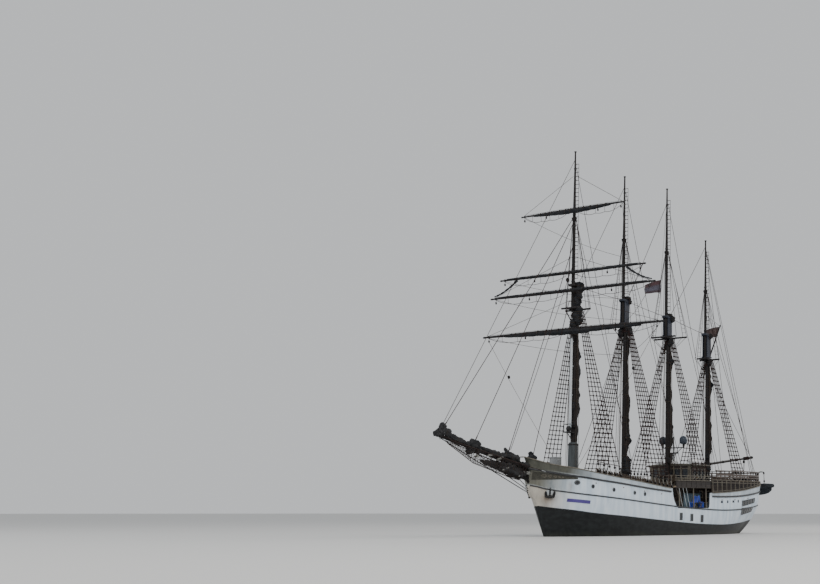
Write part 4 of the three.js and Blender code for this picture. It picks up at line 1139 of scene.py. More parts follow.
def make_mast_ladder(name, mast):
    """A wire ladder held off the topmast's after side by stand-off bars, from the cap to the truck."""
    low, high = mast["cap"] + 0.6, mast["truck"] - 1.1
    z = np.linspace(low, high, int((high - low) / 0.36))
    out = TOPMAST_AHEAD - np.interp(z, (low, high), (0.46, 0.34))
    left, right = (on_mast(mast, z, out, side * 0.16) for side in (-1, 1))
    parts = [bars(left, right, 0.026), tube(left, 0.016, 6), tube(right, 0.016, 6)]
    parts.append(bars(on_mast(mast, z[::4], out[::4]), on_mast(mast, z[::4], TOPMAST_AHEAD), 0.016))
    piece(f"topmast_ladder_{name}", parts, TARRED)


FOLD_WAVES = (
    # waves round the bundle, depth, waves along it for each unit of twist
    (3, 0.10, 9), (7, 0.065, -15), (13, 0.03, 31),
)


def stowed_skin(centre, radius, side, over, turns, lumps, seed, sides=26, twist=0.7):
    """A bundle's skin about a line, and the depth of its folds: its radius swells and pulls in along the
    line, with folds that run along it and small creases across, each a sum of waves."""
    phase = np.random.default_rng(seed).uniform(0, 2 * np.pi, 6)
    along = np.linspace(0, 1, len(centre))[:, None]
    angle = (2 * np.pi * np.arange(sides) / sides)[None]
    folds = sum(depth * np.sin(waves * angle + shift + twist * lean * along)
                for (waves, depth, lean), shift in zip(FOLD_WAVES, phase))
    creases = 0.05 * np.sin(2 * np.pi * turns * 3.1 * along + 2 * np.sin(2 * angle + phase[3]))
    creases += 0.03 * np.sin(2 * np.pi * turns * 6.7 * along + 3 * np.sin(angle + phase[4]))
    size = radius[:, None] * (1 + lumps * (folds + creases))
    to_side, to_over = ((size * turn)[..., None] for turn in (np.cos(angle), np.sin(angle)))
    shift = side[:, None] * to_side + over[:, None] * to_over
    return solid(centre[:, None] + shift), (folds + creases).ravel()


def swell(place, knots, pinch, power=0.6):
    """A bundle's fullness between its gaskets: 1 in the middle of each bulge and 1 - pinch at each knot."""
    gap = np.interp(place, knots, np.arange(len(knots)))
    return 1 - pinch * np.abs(np.cos(np.pi * gap)) ** (1 / power) ** 2


def axes_along(centre, *axes):
    """The same directions at every point of a line."""
    return (np.broadcast_to(axis, centre.shape) for axis in axes)


def clear_of_mast(mast, points, gap=0.015):
    """Points pushed outwards, square to a mast's axis, until none is inside its lower mast."""
    from_axis = points - on_mast(mast, MAST_DATUM)
    height = from_axis @ MAST_UP
    flat = np.stack([from_axis @ MAST_AHEAD, from_axis @ MAST_PORT], -1)
    away = np.linalg.norm(flat, axis=-1)
    share = np.clip(height / (mast["cross"] - MAST_DATUM), 0, 1)
    least = mast["lower"] * (1 - 0.12 * share) + gap
    flat *= (np.maximum(away, least) / np.maximum(away, 1e-6))[..., None]
    level = flat[..., :1] * MAST_AHEAD + flat[..., 1:] * MAST_PORT
    return on_mast(mast, MAST_DATUM) + height[..., None] * MAST_UP + level


def gasket(mast, z, thick, reach, turn):
    """A tie round a mast and the sail brailed to it: the outline of two circles together, as seen from
    the mast's axis, is where a ray meets the sail's circle, or the mast's own radius."""
    ray = np.stack(circle(40), 1)
    middle = np.array((-1, 1)) * reach * (math.cos(turn), math.sin(turn))
    nearest = ray @ middle
    inside = nearest**2 - middle @ middle + (thick * 1.04) ** 2
    outer = np.where(inside > 0, nearest + np.sqrt(np.maximum(inside, 0)), 0)
    loop = ray * np.maximum(outer, mast["lower"] + 0.01)[:, None]
    path = on_mast(mast, z, loop[:, 0], loop[:, 1])
    return tube(np.concatenate([path, path[:1]]), 0.02, 6)


def make_mast_sail(name, mast, seed):
    """A fore-and-aft sail brailed in round the after side of its mast, tied in with gaskets."""
    low, high = mast["sail_low"], mast["cross"] - 1.3
    draw = np.random.default_rng(seed)
    knots = np.sort(np.concatenate([[0, 1], np.linspace(0.07, 0.93, 8) + draw.uniform(-0.045, 0.045, 8)]))
    along = np.linspace(0, 1, 190)
    body = np.interp(along, (0, 0.03, 0.1, 0.3, 0.55, 0.8, 0.96, 1),
                     (0.4, 0.75, 0.95, 1.05, 0.95, 0.92, 0.7, 0.3))
    bulge = 1 + 0.13 * np.sin(along * 17 + seed) + 0.1 * np.sin(along * 41 + 3 * seed)
    lumps = sum(size * np.exp(-(((place - along) / 0.022) ** 2)) for place, size in mast["lumps"])
    radius = mast["sail"] * body * bulge * swell(along, knots, pinch=0.2) * (1 + lumps)
    z = low + (high - low) * along
    turn = math.radians(SAIL_TURN) + 0.3 * np.sin(along * 9 + seed) + 0.15 * np.sin(along * 26 + 2 * seed)
    reach = mast["lower"] * 0.9 + radius * 0.62
    centre = on_mast(mast, z, -reach * np.cos(turn), reach * np.sin(turn))
    ahead, port = axes_along(centre, MAST_AHEAD, MAST_PORT)
    (points, faces), depth = stowed_skin(centre, radius, ahead, port, turns=9, lumps=1.0, seed=seed, sides=28)
    stowed_piece(f"stowed_sail_{name}", [((clear_of_mast(mast, points), faces), depth)], CANVAS,
                 replaces=(f"furled_sail_{name}",))
    ties = [gasket(mast, *(float(np.interp(knot, along, values)) for values in (z, radius, reach, turn)))
            for knot in knots[1:-1]]
    piece(f"sail_gaskets_{name}", ties, HEMP)


def shroud_lines(mast, side, ahead=()):
    """Feet and heads of one side's lower shrouds; the mainmast has two more ahead of its first."""
    first, last = mast["feet"]
    x = mast["x"] + np.array([*ahead, *np.linspace(first, last, SHROUDS_A_SIDE)])
    on_bridge = (x < BRIDGE["fore"]) & (x > BRIDGE["aft"])
    on_poop = x < POOP["fore"]
    y = np.where(on_bridge, BRIDGE["half"] - 0.03, rail_half(x) - np.where(on_poop, 0.34, 0.08))
    z = np.where(on_bridge, BRIDGE["panel"], np.where(on_poop, POOP["top"], cap_z(x)))
    feet = np.stack([x, side * y, z], 1)
    spread = np.linspace(0.24, -0.36, len(x)) - (0.28 if mast is MASTS["fore"] else 0)
    heads = on_mast(mast, mast["cross"] - 0.12, spread, side * (mast["lower"] + 0.11 + 0.05 * np.abs(spread)))
    return feet, heads


def ratline_parts(feet, heads, spacing, first, last, seed, radius=0.02):
    """Level lines tied across the shrouds, each sagging a little between one shroud and the next."""
    draw = np.random.default_rng(seed)
    low, high = feet[:, 2].mean(), heads[:, 2].mean()
    z = np.arange(low + first, low + (high - low) * last, spacing)
    z = z + draw.uniform(-0.02, 0.02, len(z))
    share = (z[:, None] - feet[None, :, 2]) / (heads - feet)[None, :, 2]
    knots = feet[None] + share[..., None] * (heads - feet)[None]
    starts, ends = knots[:, :-1].reshape(-1, 3), knots[:, 1:].reshape(-1, 3)
    sag = np.linalg.norm(ends - starts, axis=1) * 0.035
    middle = (starts + ends) / 2 - sag[:, None] * UP
    tied, half_knot = knots.reshape(-1, 3), UP * radius * 1.6
    return [bars(starts, middle, radius, sides=5), bars(middle, ends, radius, sides=5),
            bars(tied - half_knot, tied + half_knot, radius * 1.6)]


def dead_eyes(feet, heads, wide=0.1):
    """Each shroud's lanyard: a round block low down, one above it, and three turns of rope between them."""
    along = unit(heads - feet)
    low, high = feet + along * 0.16, feet + along * 0.78
    out = unit(np.cross(along, (1.0, 0, 0))) * 0.07
    turns = [bars(low + (shift, 0, 0), high + (shift, 0, 0), 0.011, sides=5) for shift in (-0.05, 0.0, 0.05)]
    blocks = [bars(place - out, place + out, wide, sides=14) for place in (low, high)]
    return blocks, turns, [bars(feet - (0, 0, 0.02), low, 0.03)]


def backstay_feet(mast, side):
    """Where a mast's two backstays come down: on the rail, on the bridge's side or on the poop."""
    x = mast["x"] + np.array([-3.0, -3.7]) + mast["feet"][1] * 0.35
    on_bridge = (x < BRIDGE["fore"]) & (x > BRIDGE["aft"])
    over_poop = x < POOP["fence"]
    y = np.where(on_bridge, BRIDGE["half"] - 0.05, rail_half(x) - 0.1) - np.where(over_poop, 0.3, 0)
    z = np.where(over_poop, POOP["top"], np.where(on_bridge, BRIDGE["panel"], cap_z(x)))
    return np.stack([x, side * y, z], 1)


def make_shrouds(name, mast, seed):
    """Lower and topmast shrouds with their ratlines, futtocks, backstays, dead eyes and chain plates."""
    ropes, lines, blocks, plates, lanyards = [], [], [], [], []
    cross, hounds_up = mast["cross"], hounds_z(mast)
    tree_ahead = (-0.1, -0.25, -0.4) if name == "fore" else (0.85, 0.2, -0.4)
    for side in (1, -1):
        feet, heads = shroud_lines(mast, side, (1.5, 0.9) if name == "main" else ())
        along = unit(heads - feet)
        ropes.append(bars(feet + along * 0.8, heads, 0.032, sides=7))
        lines += ratline_parts(feet, heads, spacing=0.41, first=1.25, last=0.96, seed=seed + side,
                               radius=0.034)
        pole = feet + along
        ropes.append(bars(pole[:1] + (0.15, 0, 0), pole[-1:] - (0.15, 0, 0), 0.032, sides=7))
        for kept, made in zip((blocks, lanyards, plates), dead_eyes(feet, heads)):
            kept.extend(made)
        ends = on_mast(mast, cross, np.array(tree_ahead),
                       side * np.array([0.78, 0.95, 0.97]) * mast["spread"])
        hounds = np.tile(on_mast(mast, hounds_up - 0.05, TOPMAST_AHEAD - 0.05, side * (mast["top"] + 0.02)),
                         (3, 1))
        ropes.append(bars(ends, hounds, 0.02))
        ropes.append(bars(ends, on_mast(mast, cross - 1.5, 0.0, side * mast["lower"] * 0.9), 0.018))
        lines += ratline_parts(ends[1:], hounds[1:], spacing=0.4, first=0.4, last=0.55, seed=seed + 3 * side,
                               radius=0.014)
        rail = backstay_feet(mast, side)
        heads_up = on_mast(mast, np.array([mast["truck"] - 1.5, hounds_up]), TOPMAST_AHEAD - 0.1, side * 0.08)
        ropes.append(bars(rail, heads_up, 0.02))
        plates.append(bars(rail - (0, 0, 0.02), rail + unit(heads_up - rail) * 0.35, 0.035))
    collar = [(cross - 0.7, radius) for radius in (mast["lower"] * 0.85, mast["lower"] + 0.05)]
    collar += [(cross - 0.4, mast["lower"] + 0.07), (cross - 0.36, mast["lower"] * 0.85)]
    piece(f"standing_shrouds_{name}", [*ropes, rings_on_mast(mast, collar)], TARRED,
          replaces=(f"shrouds_{name}",))
    piece(f"ratlines_{name}", lines, TARRED)
    piece(f"lanyards_{name}", lanyards, LANYARD)
    piece(f"dead_eyes_{name}", blocks, SPAR_WOOD, bevel=0.01)
    piece(f"chain_plates_{name}", plates, IRON)


for seed, (mast_name, mast_row) in enumerate(MASTS.items(), 3):
    make_mast(mast_name, mast_row)
    make_mast_sail(mast_name, mast_row, seed)
    make_shrouds(mast_name, mast_row, seed)
    make_mast_ladder(mast_name, mast_row)


def sagging(start, end, sag, steps=24):
    """A line between two points, hanging below them by a parabola sag deep."""
    share = np.linspace(0, 1, steps)[:, None]
    start, end = np.asarray(start, float), np.asarray(end, float)
    return start + share * (end - start) - 4 * sag * share * (1 - share) * UP


STAYS = [
    # CAD node, height on the foremast, distance ahead of its axis, foot x and z
    ("forestay", 20.75, 0.98, 17.6, 6.02), ("fore_topmast_stay", 25.7, 0.64, 20.7, 6.9),
    ("jib_stay", 27.9, 0.64, 25.1, 7.68), ("flying_jib_stay", 28.3, 0.72, 29.0, 8.75),
]
THIN_STAYS = ((24.6, 0.3, 20.3, 7.3), (33.9, 0.48, 29.35, 8.6))
TOPMAST_STAYS = (
    # mast it comes down from, mast it leads to, heights on the two
    ("main", "fore", 32.5, 22.3), ("mizzen", "main", 31.9, 21.8), ("jigger", "mizzen", 28.5, 20.9),
)


def make_stays():
    """The four served stays ahead of the foremast, the thinner ones beside and between the masts, and the
    jigger mast's backstays to the stern rail."""
    fore, jigger = MASTS["fore"], MASTS["jigger"]
    for name, head_z, ahead, foot_x, foot_z in STAYS:
        foot = np.array((foot_x, 0, foot_z))
        head = on_mast(fore, head_z, ahead)
        collar = on_mast(fore, head_z + 0.05, TOPMAST_AHEAD if head_z > fore["cap"] else 0.5)
        along = unit(head - foot)
        parts = [tube(foot + np.linspace(0, 1, 4)[:, None] * (head - foot), 0.03),
                 bars(head, collar, 0.03, sides=8),
                 bars(foot + along * 0.15, foot + along * 0.75, 0.055, 0.045, 8)]
        piece(f"served_{name}", parts, TARRED, replaces=(name,))
    thin = [((foot_x, 0, foot_z), on_mast(fore, head_z, ahead), 0.05)
            for head_z, ahead, foot_x, foot_z in THIN_STAYS]
    names = list(MASTS)
    for after, ahead_of_it in zip(names[1:], names):
        first, second = MASTS[after], MASTS[ahead_of_it]
        thin.append((on_mast(first, first["cap"] - 0.1, 0.75), on_mast(second, second["cap"] - 0.1, -0.2),
                     0.05))
    for after, ahead_of_it, high, low in TOPMAST_STAYS:
        first, second = MASTS[after], MASTS[ahead_of_it]
        thin.append((on_mast(first, high, TOPMAST_AHEAD + 0.08), on_mast(second, low, -0.2), 0.08))
        foot = on_mast(second, second["step"] + 2.2, -0.9)
        thin.append((on_mast(first, first["cross"] - 0.3, 0.3), foot, 0.08))
    piece("stays_between_masts", [tube(sagging(*row), 0.022, 6) for row in thin], TARRED)
    feet = np.array([(x, side * y, 5.2) for x, y in ((-17.3, 1.3), (-16.5, 2.0)) for side in (1, -1)])
    heads = [on_mast(jigger, z, TOPMAST_AHEAD - 0.1) for z in (28.3, 28.2, 22.4, 22.3)]
    backstays = [bars(feet, heads, 0.02), bars(feet, feet + (0.02, 0, 0.35), 0.035)]
    piece("stern_backstays", backstays, TARRED)


make_stays()


MASTHEAD_GEAR = {
    # rows of height, distance ahead of the axis, to port, half width, half height: what is lashed there
    "fore": [(22.1, -0.18, 0.2, 0.5, 0.6), (21.5, -0.12, 0.14, 0.42, 0.6), (21.0, 0.05, 0.2, 0.4, 0.5),
             (20.5, 0.15, 0.2, 0.4, 0.5), (20.05, 0.05, 0.3, 0.44, 0.5), (19.55, 0.1, 0.26, 0.42, 0.5),
             (19.1, 0.0, 0.34, 0.36, 0.45), (18.8, 0.2, -0.12, 0.3, 0.4), (22.75, 0.85, -0.3, 0.15, 0.22)],
    "main": [(19.2, 0.1, 0.34, 0.32, 0.4), (18.8, -0.15, 0.32, 0.3, 0.45), (18.7, 0.25, -0.34, 0.28, 0.45),
             (21.95, -0.05, 0.1, 0.36, 0.2), (21.6, -0.2, 0.3, 0.2, 0.25), (17.9, 0.0, 0.3, 0.16, 0.3)],
    "mizzen": [(18.3, 0.1, 0.32, 0.28, 0.4), (18.0, -0.15, -0.3, 0.26, 0.4), (20.6, -0.15, 0.32, 0.26, 0.35),
               (21.0, 0.0, 0.1, 0.3, 0.18), (16.5, 0.0, 0.3, 0.22, 0.4)],
    "jigger": [(16.8, 0.1, 0.3, 0.24, 0.35), (16.5, -0.15, -0.28, 0.24, 0.35), (19.5, -0.1, 0.26, 0.22, 0.3)],
}
MAST_FOOT_GEAR = {
    "fore": [(9.7, 0.2, 0.3, 0.2, 0.3), (11.4, 0.3, 0.2, 0.12, 0.4)],
    "main": [(5.9, 0.2, 0.5, 0.34, 0.6), (5.5, -0.3, -0.4, 0.3, 0.5), (6.6, 0.05, 0.4, 0.32, 0.6),
             (4.9, 0.5, 0.45, 0.3, 0.6), (9.0, 0.0, 0.35, 0.26, 0.35)],
    "mizzen": [(6.9, 0.15, 0.34, 0.2, 0.3), (7.3, -0.15, 0.3, 0.16, 0.4), (9.6, -0.45, 0.1, 0.14, 0.5)],
    "jigger": [(6.3, 0.36, 0.32, 0.26, 0.45), (6.5, 0.32, -0.32, 0.24, 0.4), (7.5, 0.3, 0.24, 0.18, 0.3)],
}


def lashed_bundle(mast, z, ahead, to_port, wide, tall, seed):
    """A lump of canvas, blocks and coiled rope lashed to a mast: a bag pulled in at its ends, its skin in
    folds."""
    share = np.linspace(0, 1, 26)
    centre = on_mast(mast, z - tall + 2 * tall * share, ahead, to_port)
    radius = wide * np.sqrt(np.clip(1 - (2 * share - 1) ** 2, 0.02, 1))
    radius = radius * (1 + 0.12 * np.sin(share * 14 + seed))
    return stowed_skin(centre, radius, *axes_along(centre, MAST_AHEAD, MAST_PORT), turns=1.5, lumps=1.3,
                       seed=seed, sides=18)


def make_masthead_gear(name, rows, label):
    """One piece of all the bundles lashed to a mast at its head or foot, and one of the ropes round them."""
    mast, skins, lashings = MASTS[name], [], []
    for seed, row in enumerate(rows, 90):
        (points, faces), depth = lashed_bundle(mast, *row, seed)
        if row[0] < mast["cap"]:
            points = clear_of_mast(mast, points, 0.02)
        skins.append(((points, faces), depth))
        z, ahead, to_port, wide, tall = row
        for rise in (-0.35, 0.3):
            centre = on_mast(mast, z + rise * tall, ahead, to_port)
            lashings.append(ring_of(centre, MAST_UP, wide * 0.97, 0.02, 20, 6))
    stowed_piece(f"{label}_{name}", skins, CANVAS)
    piece(f"{label}_lashings_{name}", lashings, HEMP)


for gear_name in MASTS:
    make_masthead_gear(gear_name, MASTHEAD_GEAR[gear_name], "masthead_bundles")
    make_masthead_gear(gear_name, MAST_FOOT_GEAR[gear_name], "mast_foot_bundles")


def make_doubling_cheeks():
    """Slate cheeks that fill the gap between lower masthead and topmast, with a bolster at their head and
    foot."""
    for name in ("main", "mizzen", "jigger"):
        mast = MASTS[name]
        low, high = mast["cross"] + 0.12, mast["cap"] - 0.12
        parts = []
        for side in (-1, 1):
            parts.append(box_on_mast(mast, (low + high) / 2, (high - low) / 2, (-0.2, TOPMAST_AHEAD + 0.1),
                                     about(side * 0.245, 0.035)))
            parts += [box_on_mast(mast, z, 0.05, (-0.27, TOPMAST_AHEAD + 0.18), about(side * 0.27, 0.07))
                      for z in (low + 0.05, high - 0.1)]
        piece(f"doubling_cheeks_{name}", parts, SLATE_PAINT, bevel=0.015)


make_doubling_cheeks()


def make_foremast_extras():
    """The pale pole ahead of the foremast, the grey casing round its foot, and a lookout's step on its
    fore side."""
    fore = MASTS["fore"]
    pole = [tube(on_mast(fore, np.linspace(9.5, 17.45, 12), 0.5), 0.11, 16)]
    pole += [bars(on_mast(fore, z, 0.2), on_mast(fore, z, 0.5), 0.05, sides=8)
             for z in (9.8, 12.4, 15.0, 17.2)]
    piece("fore_hoist_pole", pole, PALE_PAINT)
    casing = [(4.78, 0.52), (4.9, 0.52), (5.0, 0.48), (7.9, 0.44), (8.1, 0.42), (8.2, 0.33), (8.2, 0.2)]
    piece("foremast_casing", [rings_on_mast(fore, casing, 0, 28)], FOOT_PAINT)
    piece("foremast_casing_bands",
          [band(fore, z, radius, high=0.12) for z, radius in ((5.4, 0.485), (8.0, 0.45))], IRON)
    step = [box_on_mast(fore, 9.05, 0.05, (0.3, 1.05), about(0, 0.35)),
            box_on_mast(fore, 8.75, 0.26, (0.32, 0.4), about(0, 0.05)),
            bars(on_mast(fore, 8.5, 0.28), on_mast(fore, 9.0, 0.95), 0.04, sides=8)]
    corners = [(0.3, -0.33), (0.95, -0.33), (1.0, 0), (0.95, 0.33), (0.3, 0.33)]
    step.append(tube([on_mast(fore, 9.75, *corner) for corner in corners], 0.025))
    step += [bars(on_mast(fore, 9.05, *corner), on_mast(fore, 9.75, *corner), 0.022)
             for corner in corners[1::2]]
    step.append(ball(on_mast(fore, 9.35, 0.72), 0.24, 14, 1.1))
    piece("lookout_step", step, IRON, bevel=0.01)


make_foremast_extras()


# Yards, their stowed sails and running rigging; the boom, the gaff and the flags.

FORE = MASTS["fore"]
SIDES = ((-1, "starboard"), (1, "port"))


def on_yard(yard, y, ahead=0.0, up=0.0):
    """A point by a yard's axis: y along it, so far ahead of it and above it."""
    y, ahead, up = (np.asarray(v, float)[..., None] for v in (y, ahead, up))
    return on_mast(FORE, yard["z"], yard["ahead"]) + y * MAST_PORT + ahead * MAST_AHEAD + up * MAST_UP


def clasp(point_at, radius_at, place, half_wide, edge, proud, sides):
    """An iron band round a spar at a place on it, with bevelled edges that stand proud of the spar."""
    places = place + np.array([-half_wide, edge - half_wide, half_wide - edge, half_wide])
    return tube(point_at(places), radius_at(place) + np.array([0.0, proud, proud, 0.0]), sides)


def yard_radius(yard, y):
    """A yard's radius at y: full at the middle, thinning by a power curve to under half at its ends."""
    return yard["radius"] * (1 - 0.55 * np.abs(np.asarray(y, float) / yard["half"]) ** 2.2)


def make_yard(name, yard):
    """A yard, its bands, the rail that its sail is tied to with the eyes that hold it, and the truss to
    its mast."""
    half, body = yard["half"], f"{name}_yard"
    y = np.linspace(-half, half, 61)
    piece(f"spar_{name}", [tube(on_yard(yard, y), yard_radius(yard, y), 16)], SPAR_WOOD, body,
          replaces=(f"yard_{name}",))
    places = np.array([0.4, half * 0.35, half * 0.66, half * 0.93, half * 0.985])
    iron = [clasp(lambda at: on_yard(yard, at), lambda at: yard_radius(yard, at), place, half_wide=0.05,
                  edge=0.01, proud=0.02, sides=16)
            for place in (*-places[::-1], *places)]
    rail_y = np.linspace(-half * 0.94, half * 0.94, 41)
    rail = yard_radius(yard, rail_y) + 0.05
    iron.append(tube(on_yard(yard, rail_y, rail * 0.5, rail * 0.87), 0.014, 6))
    eyes, spar = rail_y[::2], yard_radius(yard, rail_y[::2])
    iron.append(bars(on_yard(yard, eyes, spar * 0.45, spar * 0.8),
                     on_yard(yard, eyes, rail[::2] * 0.5, rail[::2] * 0.87), 0.012, sides=5))
    on_topmast = name in ("upper_topsail", "topgallant")
    mast_face = TOPMAST_AHEAD + FORE["top"] if on_topmast else FORE["lower"]
    truss = block((mast_face + 0.02, yard["ahead"]), about(0, 0.085), about(0, 0.095))
    iron.append(placed(truss, on_mast(FORE, yard["z"]), *MAST_AXES))
    piece(f"yard_iron_{name}", iron, IRON, body)
    make_foot_ropes(name, yard)


def make_foot_ropes(name, yard):
    """Footropes hung in short scallops from stirrups behind the yard, with a block under each yardarm."""
    half, body = yard["half"], f"{name}_yard"
    stirrups = np.linspace(0.55, half * 0.96, 6)
    hang = 0.62 * np.array([0.35, 1, 1, 1, 0.9, 0.05])
    y = np.linspace(stirrups[0], stirrups[-1], 51)
    dip = np.interp(y, stirrups, hang) + 0.07 * np.abs(np.sin(np.pi * np.interp(y, stirrups, np.arange(6))))
    shell = ball((0, 0, 0), 0.11, 12)
    ropes, blocks = [], []
    for side in (-1, 1):
        ropes.append(tube(on_yard(yard, side * y, -0.12, -dip), 0.02, 6))
        inner = side * stirrups[1:-1]
        ropes.append(bars(on_yard(yard, inner, -0.05), on_yard(yard, inner, -0.12, -hang[1:-1]), 0.016,
                          sides=5))
        for place, drop in ((half * 0.93, 0.4), (half * 0.5, 0.38)):
            low = on_yard(yard, side * place, 0, -drop)
            ropes.append(bars(on_yard(yard, side * place, 0, -yard_radius(yard, place)), low, 0.018, sides=5))
            blocks.append(moved((shell[0] * (1, 0.5, 1.2), shell[1]), low))
    piece(f"foot_ropes_{name}", ropes, TARRED, body)
    piece(f"yard_blocks_{name}", blocks, SPAR_WOOD, body)


def yard_bundle(yard, outwards, drop, seed):
    """A stowed square sail under a yard, and its gaskets: outwards is rows of (y, radius) for half of it,
    drop how far it hangs. Each gasket is a hoop stretched to hold both the yard and the sail."""
    ahead, flat, knots = 0.05, 0.9, 13
    rows = np.asarray(outwards, float)
    reach = rows[-1, 0]
    y = np.linspace(-reach, reach, 200)
    places = np.linspace(-reach, reach, knots)
    places[1:-1] += np.random.default_rng(seed).uniform(-0.15, 0.15, knots - 2)
    base = eased(rows, np.abs(y))
    radius = np.maximum(base * swell(y, places, pinch=0.2), 0.03)
    centre = on_yard(yard, y, ahead + 0.02 * np.sin(y * 2.3 + seed), -drop - base * 0.55)
    skin = stowed_skin(centre, radius, *axes_along(centre, MAST_AHEAD, MAST_UP * flat), turns=14, lumps=0.9,
                       seed=seed, sides=26, twist=0.35)
    points, faces = ring_of((0, 0, 0), (0, 1, 0), 1.0, 0.018, 26, 6)
    round_it = unit(points * (1, 0, 1))
    ties = []
    for place in places[1:-1]:
        thick, low = (float(np.interp(place, y, values)) for values in (radius, base * 0.55 + drop))
        over, under = yard_radius(yard, place), low + thick * flat
        middle = on_yard(yard, place, ahead / 2, (over - under) / 2)
        hoop = points + round_it * (max(thick, over) + 0.014 - 1, 0, (over + under) / 2 + 0.012 - 1)
        ties.append(placed((hoop, faces), middle, *MAST_AXES))
    return skin, ties


STOWED = {
    # yard: rows of y and radius for half the bundle, drop, CAD node it stands for
    "course": ([(0, 0.23), (0.9, 0.26), (2.6, 0.2), (4.6, 0.17), (6.3, 0.13), (7.4, 0.08)], 0.06,
               ("furled_course",)),
    "upper_topsail": ([(0, 0.13), (1.5, 0.14), (4.2, 0.13), (6.4, 0.11), (7.3, 0.06)], -0.09, ()),
    "lower_topsail": ([(0, 0.14), (1.2, 0.13), (4.0, 0.10), (7.0, 0.09), (8.3, 0.05)], -0.10, ()),
    "topgallant": ([(0, 0.2), (0.8, 0.21), (2.0, 0.17), (3.2, 0.12), (4.3, 0.07)], 0.06,
                   ("furled_topgallant",)),
}


def make_square_sails():
    """The square sails stowed on their yards, and the upper topsail's clews drawn down to the lower
    yard's ends."""
    for seed, (name, (rows, drop, nodes)) in enumerate(STOWED.items(), 40):
        skin, ties = yard_bundle(YARDS[name], rows, drop, seed)
        stowed_piece(f"stowed_{name}", [skin], CANVAS, f"{name}_yard", nodes)
        piece(f"yard_gaskets_{name}", ties, HEMP, f"{name}_yard")
    upper, lower = YARDS["upper_topsail"], YARDS["lower_topsail"]
    share = np.linspace(0, 1, 40)
    radius = 0.10 * (1 - 0.45 * share) * (1 + 0.16 * np.sin(share * 31) + 0.08 * np.sin(share * 67))
    for side, label in SIDES:
        start = on_yard(upper, side * 6.1, -0.02, -0.12)
        end = on_mast(FORE, lower["z"] + 0.22, lower["ahead"] - 0.03, side * 8.75)
        path = sagging(start, end, sag=0.18, steps=40)
        skin = stowed_skin(path, radius, *across(unit(np.gradient(path, axis=0))), turns=6, lumps=0.7,
                           seed=60 + side, sides=16)
        stowed_piece(f"topsail_clew_{label}", [skin], CANVAS, "upper_topsail_yard")


def blend_between(obj):
    """Bakes a piece's placement into its mesh; the piece rides on no body."""
    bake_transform(obj)


def blend_rope(name, start, end, sag, radius=0.018, material=HEMP):
    """A sagging rope from a spar to the ship, on no body, with its placement baked into its mesh."""
    rope = piece(name, [tube(sagging(start, end, sag=sag, steps=48), radius, 6)], material, None)
    blend_between(rope)


BRACES = [
    # yard, place on the yard as a share of its half, mast it leads to, height there
    ("course", 0.97, "main", 16.6), ("lower_topsail", 0.96, "main", 19.9),
    ("upper_topsail", 0.96, "main", 21.9), ("topgallant", 0.95, "main", 25.9),
]
LIFTS = (
    # yard, height of its lifts on the foremast, distance ahead of that mast's axis
    ("course", 21.1, 0.12), ("lower_topsail", 24.9, TOPMAST_AHEAD), ("topgallant", 32.4, TOPMAST_AHEAD),
)
RED_GREY_BANDS = (
    # place down the flag's height, colour
    (0.0, (0.050, 0.020, 0.024)), (0.3, (0.062, 0.026, 0.032)), (0.42, (0.070, 0.062, 0.085)),
    (0.7, (0.085, 0.082, 0.115)), (0.85, (0.050, 0.030, 0.040)),
)
BROWN_BANDS = ((0.0, (0.035, 0.020, 0.020)), (0.5, (0.060, 0.033, 0.030)), (1.0, (0.028, 0.018, 0.020)))


def make_running_rigging():
    """Braces to the mainmast, lifts, the course's sheets with their blocks, and halyard falls at every
    mast."""
    for name, share, mast, height in BRACES:
        yard = YARDS[name]
        for side, label in SIDES:
            start = on_yard(yard, side * yard["half"] * share, -0.05)
            end = on_mast(MASTS[mast], height, 0.1 + TOPMAST_AHEAD * (height > 21), side * 0.28)
            blend_rope(f"brace_{name}_{label}", start, end, 0.35, 0.016, TARRED)
    for name, height, ahead in LIFTS:
        starts = on_yard(YARDS[name], np.array([-0.96, 0.96]) * YARDS[name]["half"], 0, 0.05)
        ends = on_mast(FORE, height, ahead, np.array([-0.2, 0.2]))
        piece(f"lifts_{name}", [bars(starts, ends, 0.018)], TARRED, f"{name}_yard")
    course = YARDS["course"]
    for side, label in SIDES:
        arm = on_yard(course, side * course["half"] * 0.93, 0.0, -0.45)
        deck = np.array((12.25, side * 0.62, 5.55))
        blend_rope(f"course_sheet_{label}", arm, deck, 0.25)
        shell = ball(arm + (deck - arm) * 0.28, 0.13, 12, 1.3)
        blend_between(piece(f"sheet_block_{label}", [shell], SPAR_WOOD, None))
    falls = []
    draw = np.random.default_rng(5)
    for mast in MASTS.values():
        for k, side in enumerate((-1, 1) * 3):
            foot = on_mast(mast, mast["step"] + 1.2, -0.15 + 0.12 * k, side * (mast["lower"] + 0.35))
            away = side * (mast["lower"] + 0.05 + 0.05 * draw.random())
            falls.append(bars(foot, on_mast(mast, mast["cross"] - 0.3, 0.02 * k, away), 0.016, sides=5))
    piece("halyard_falls", falls, HEMP)


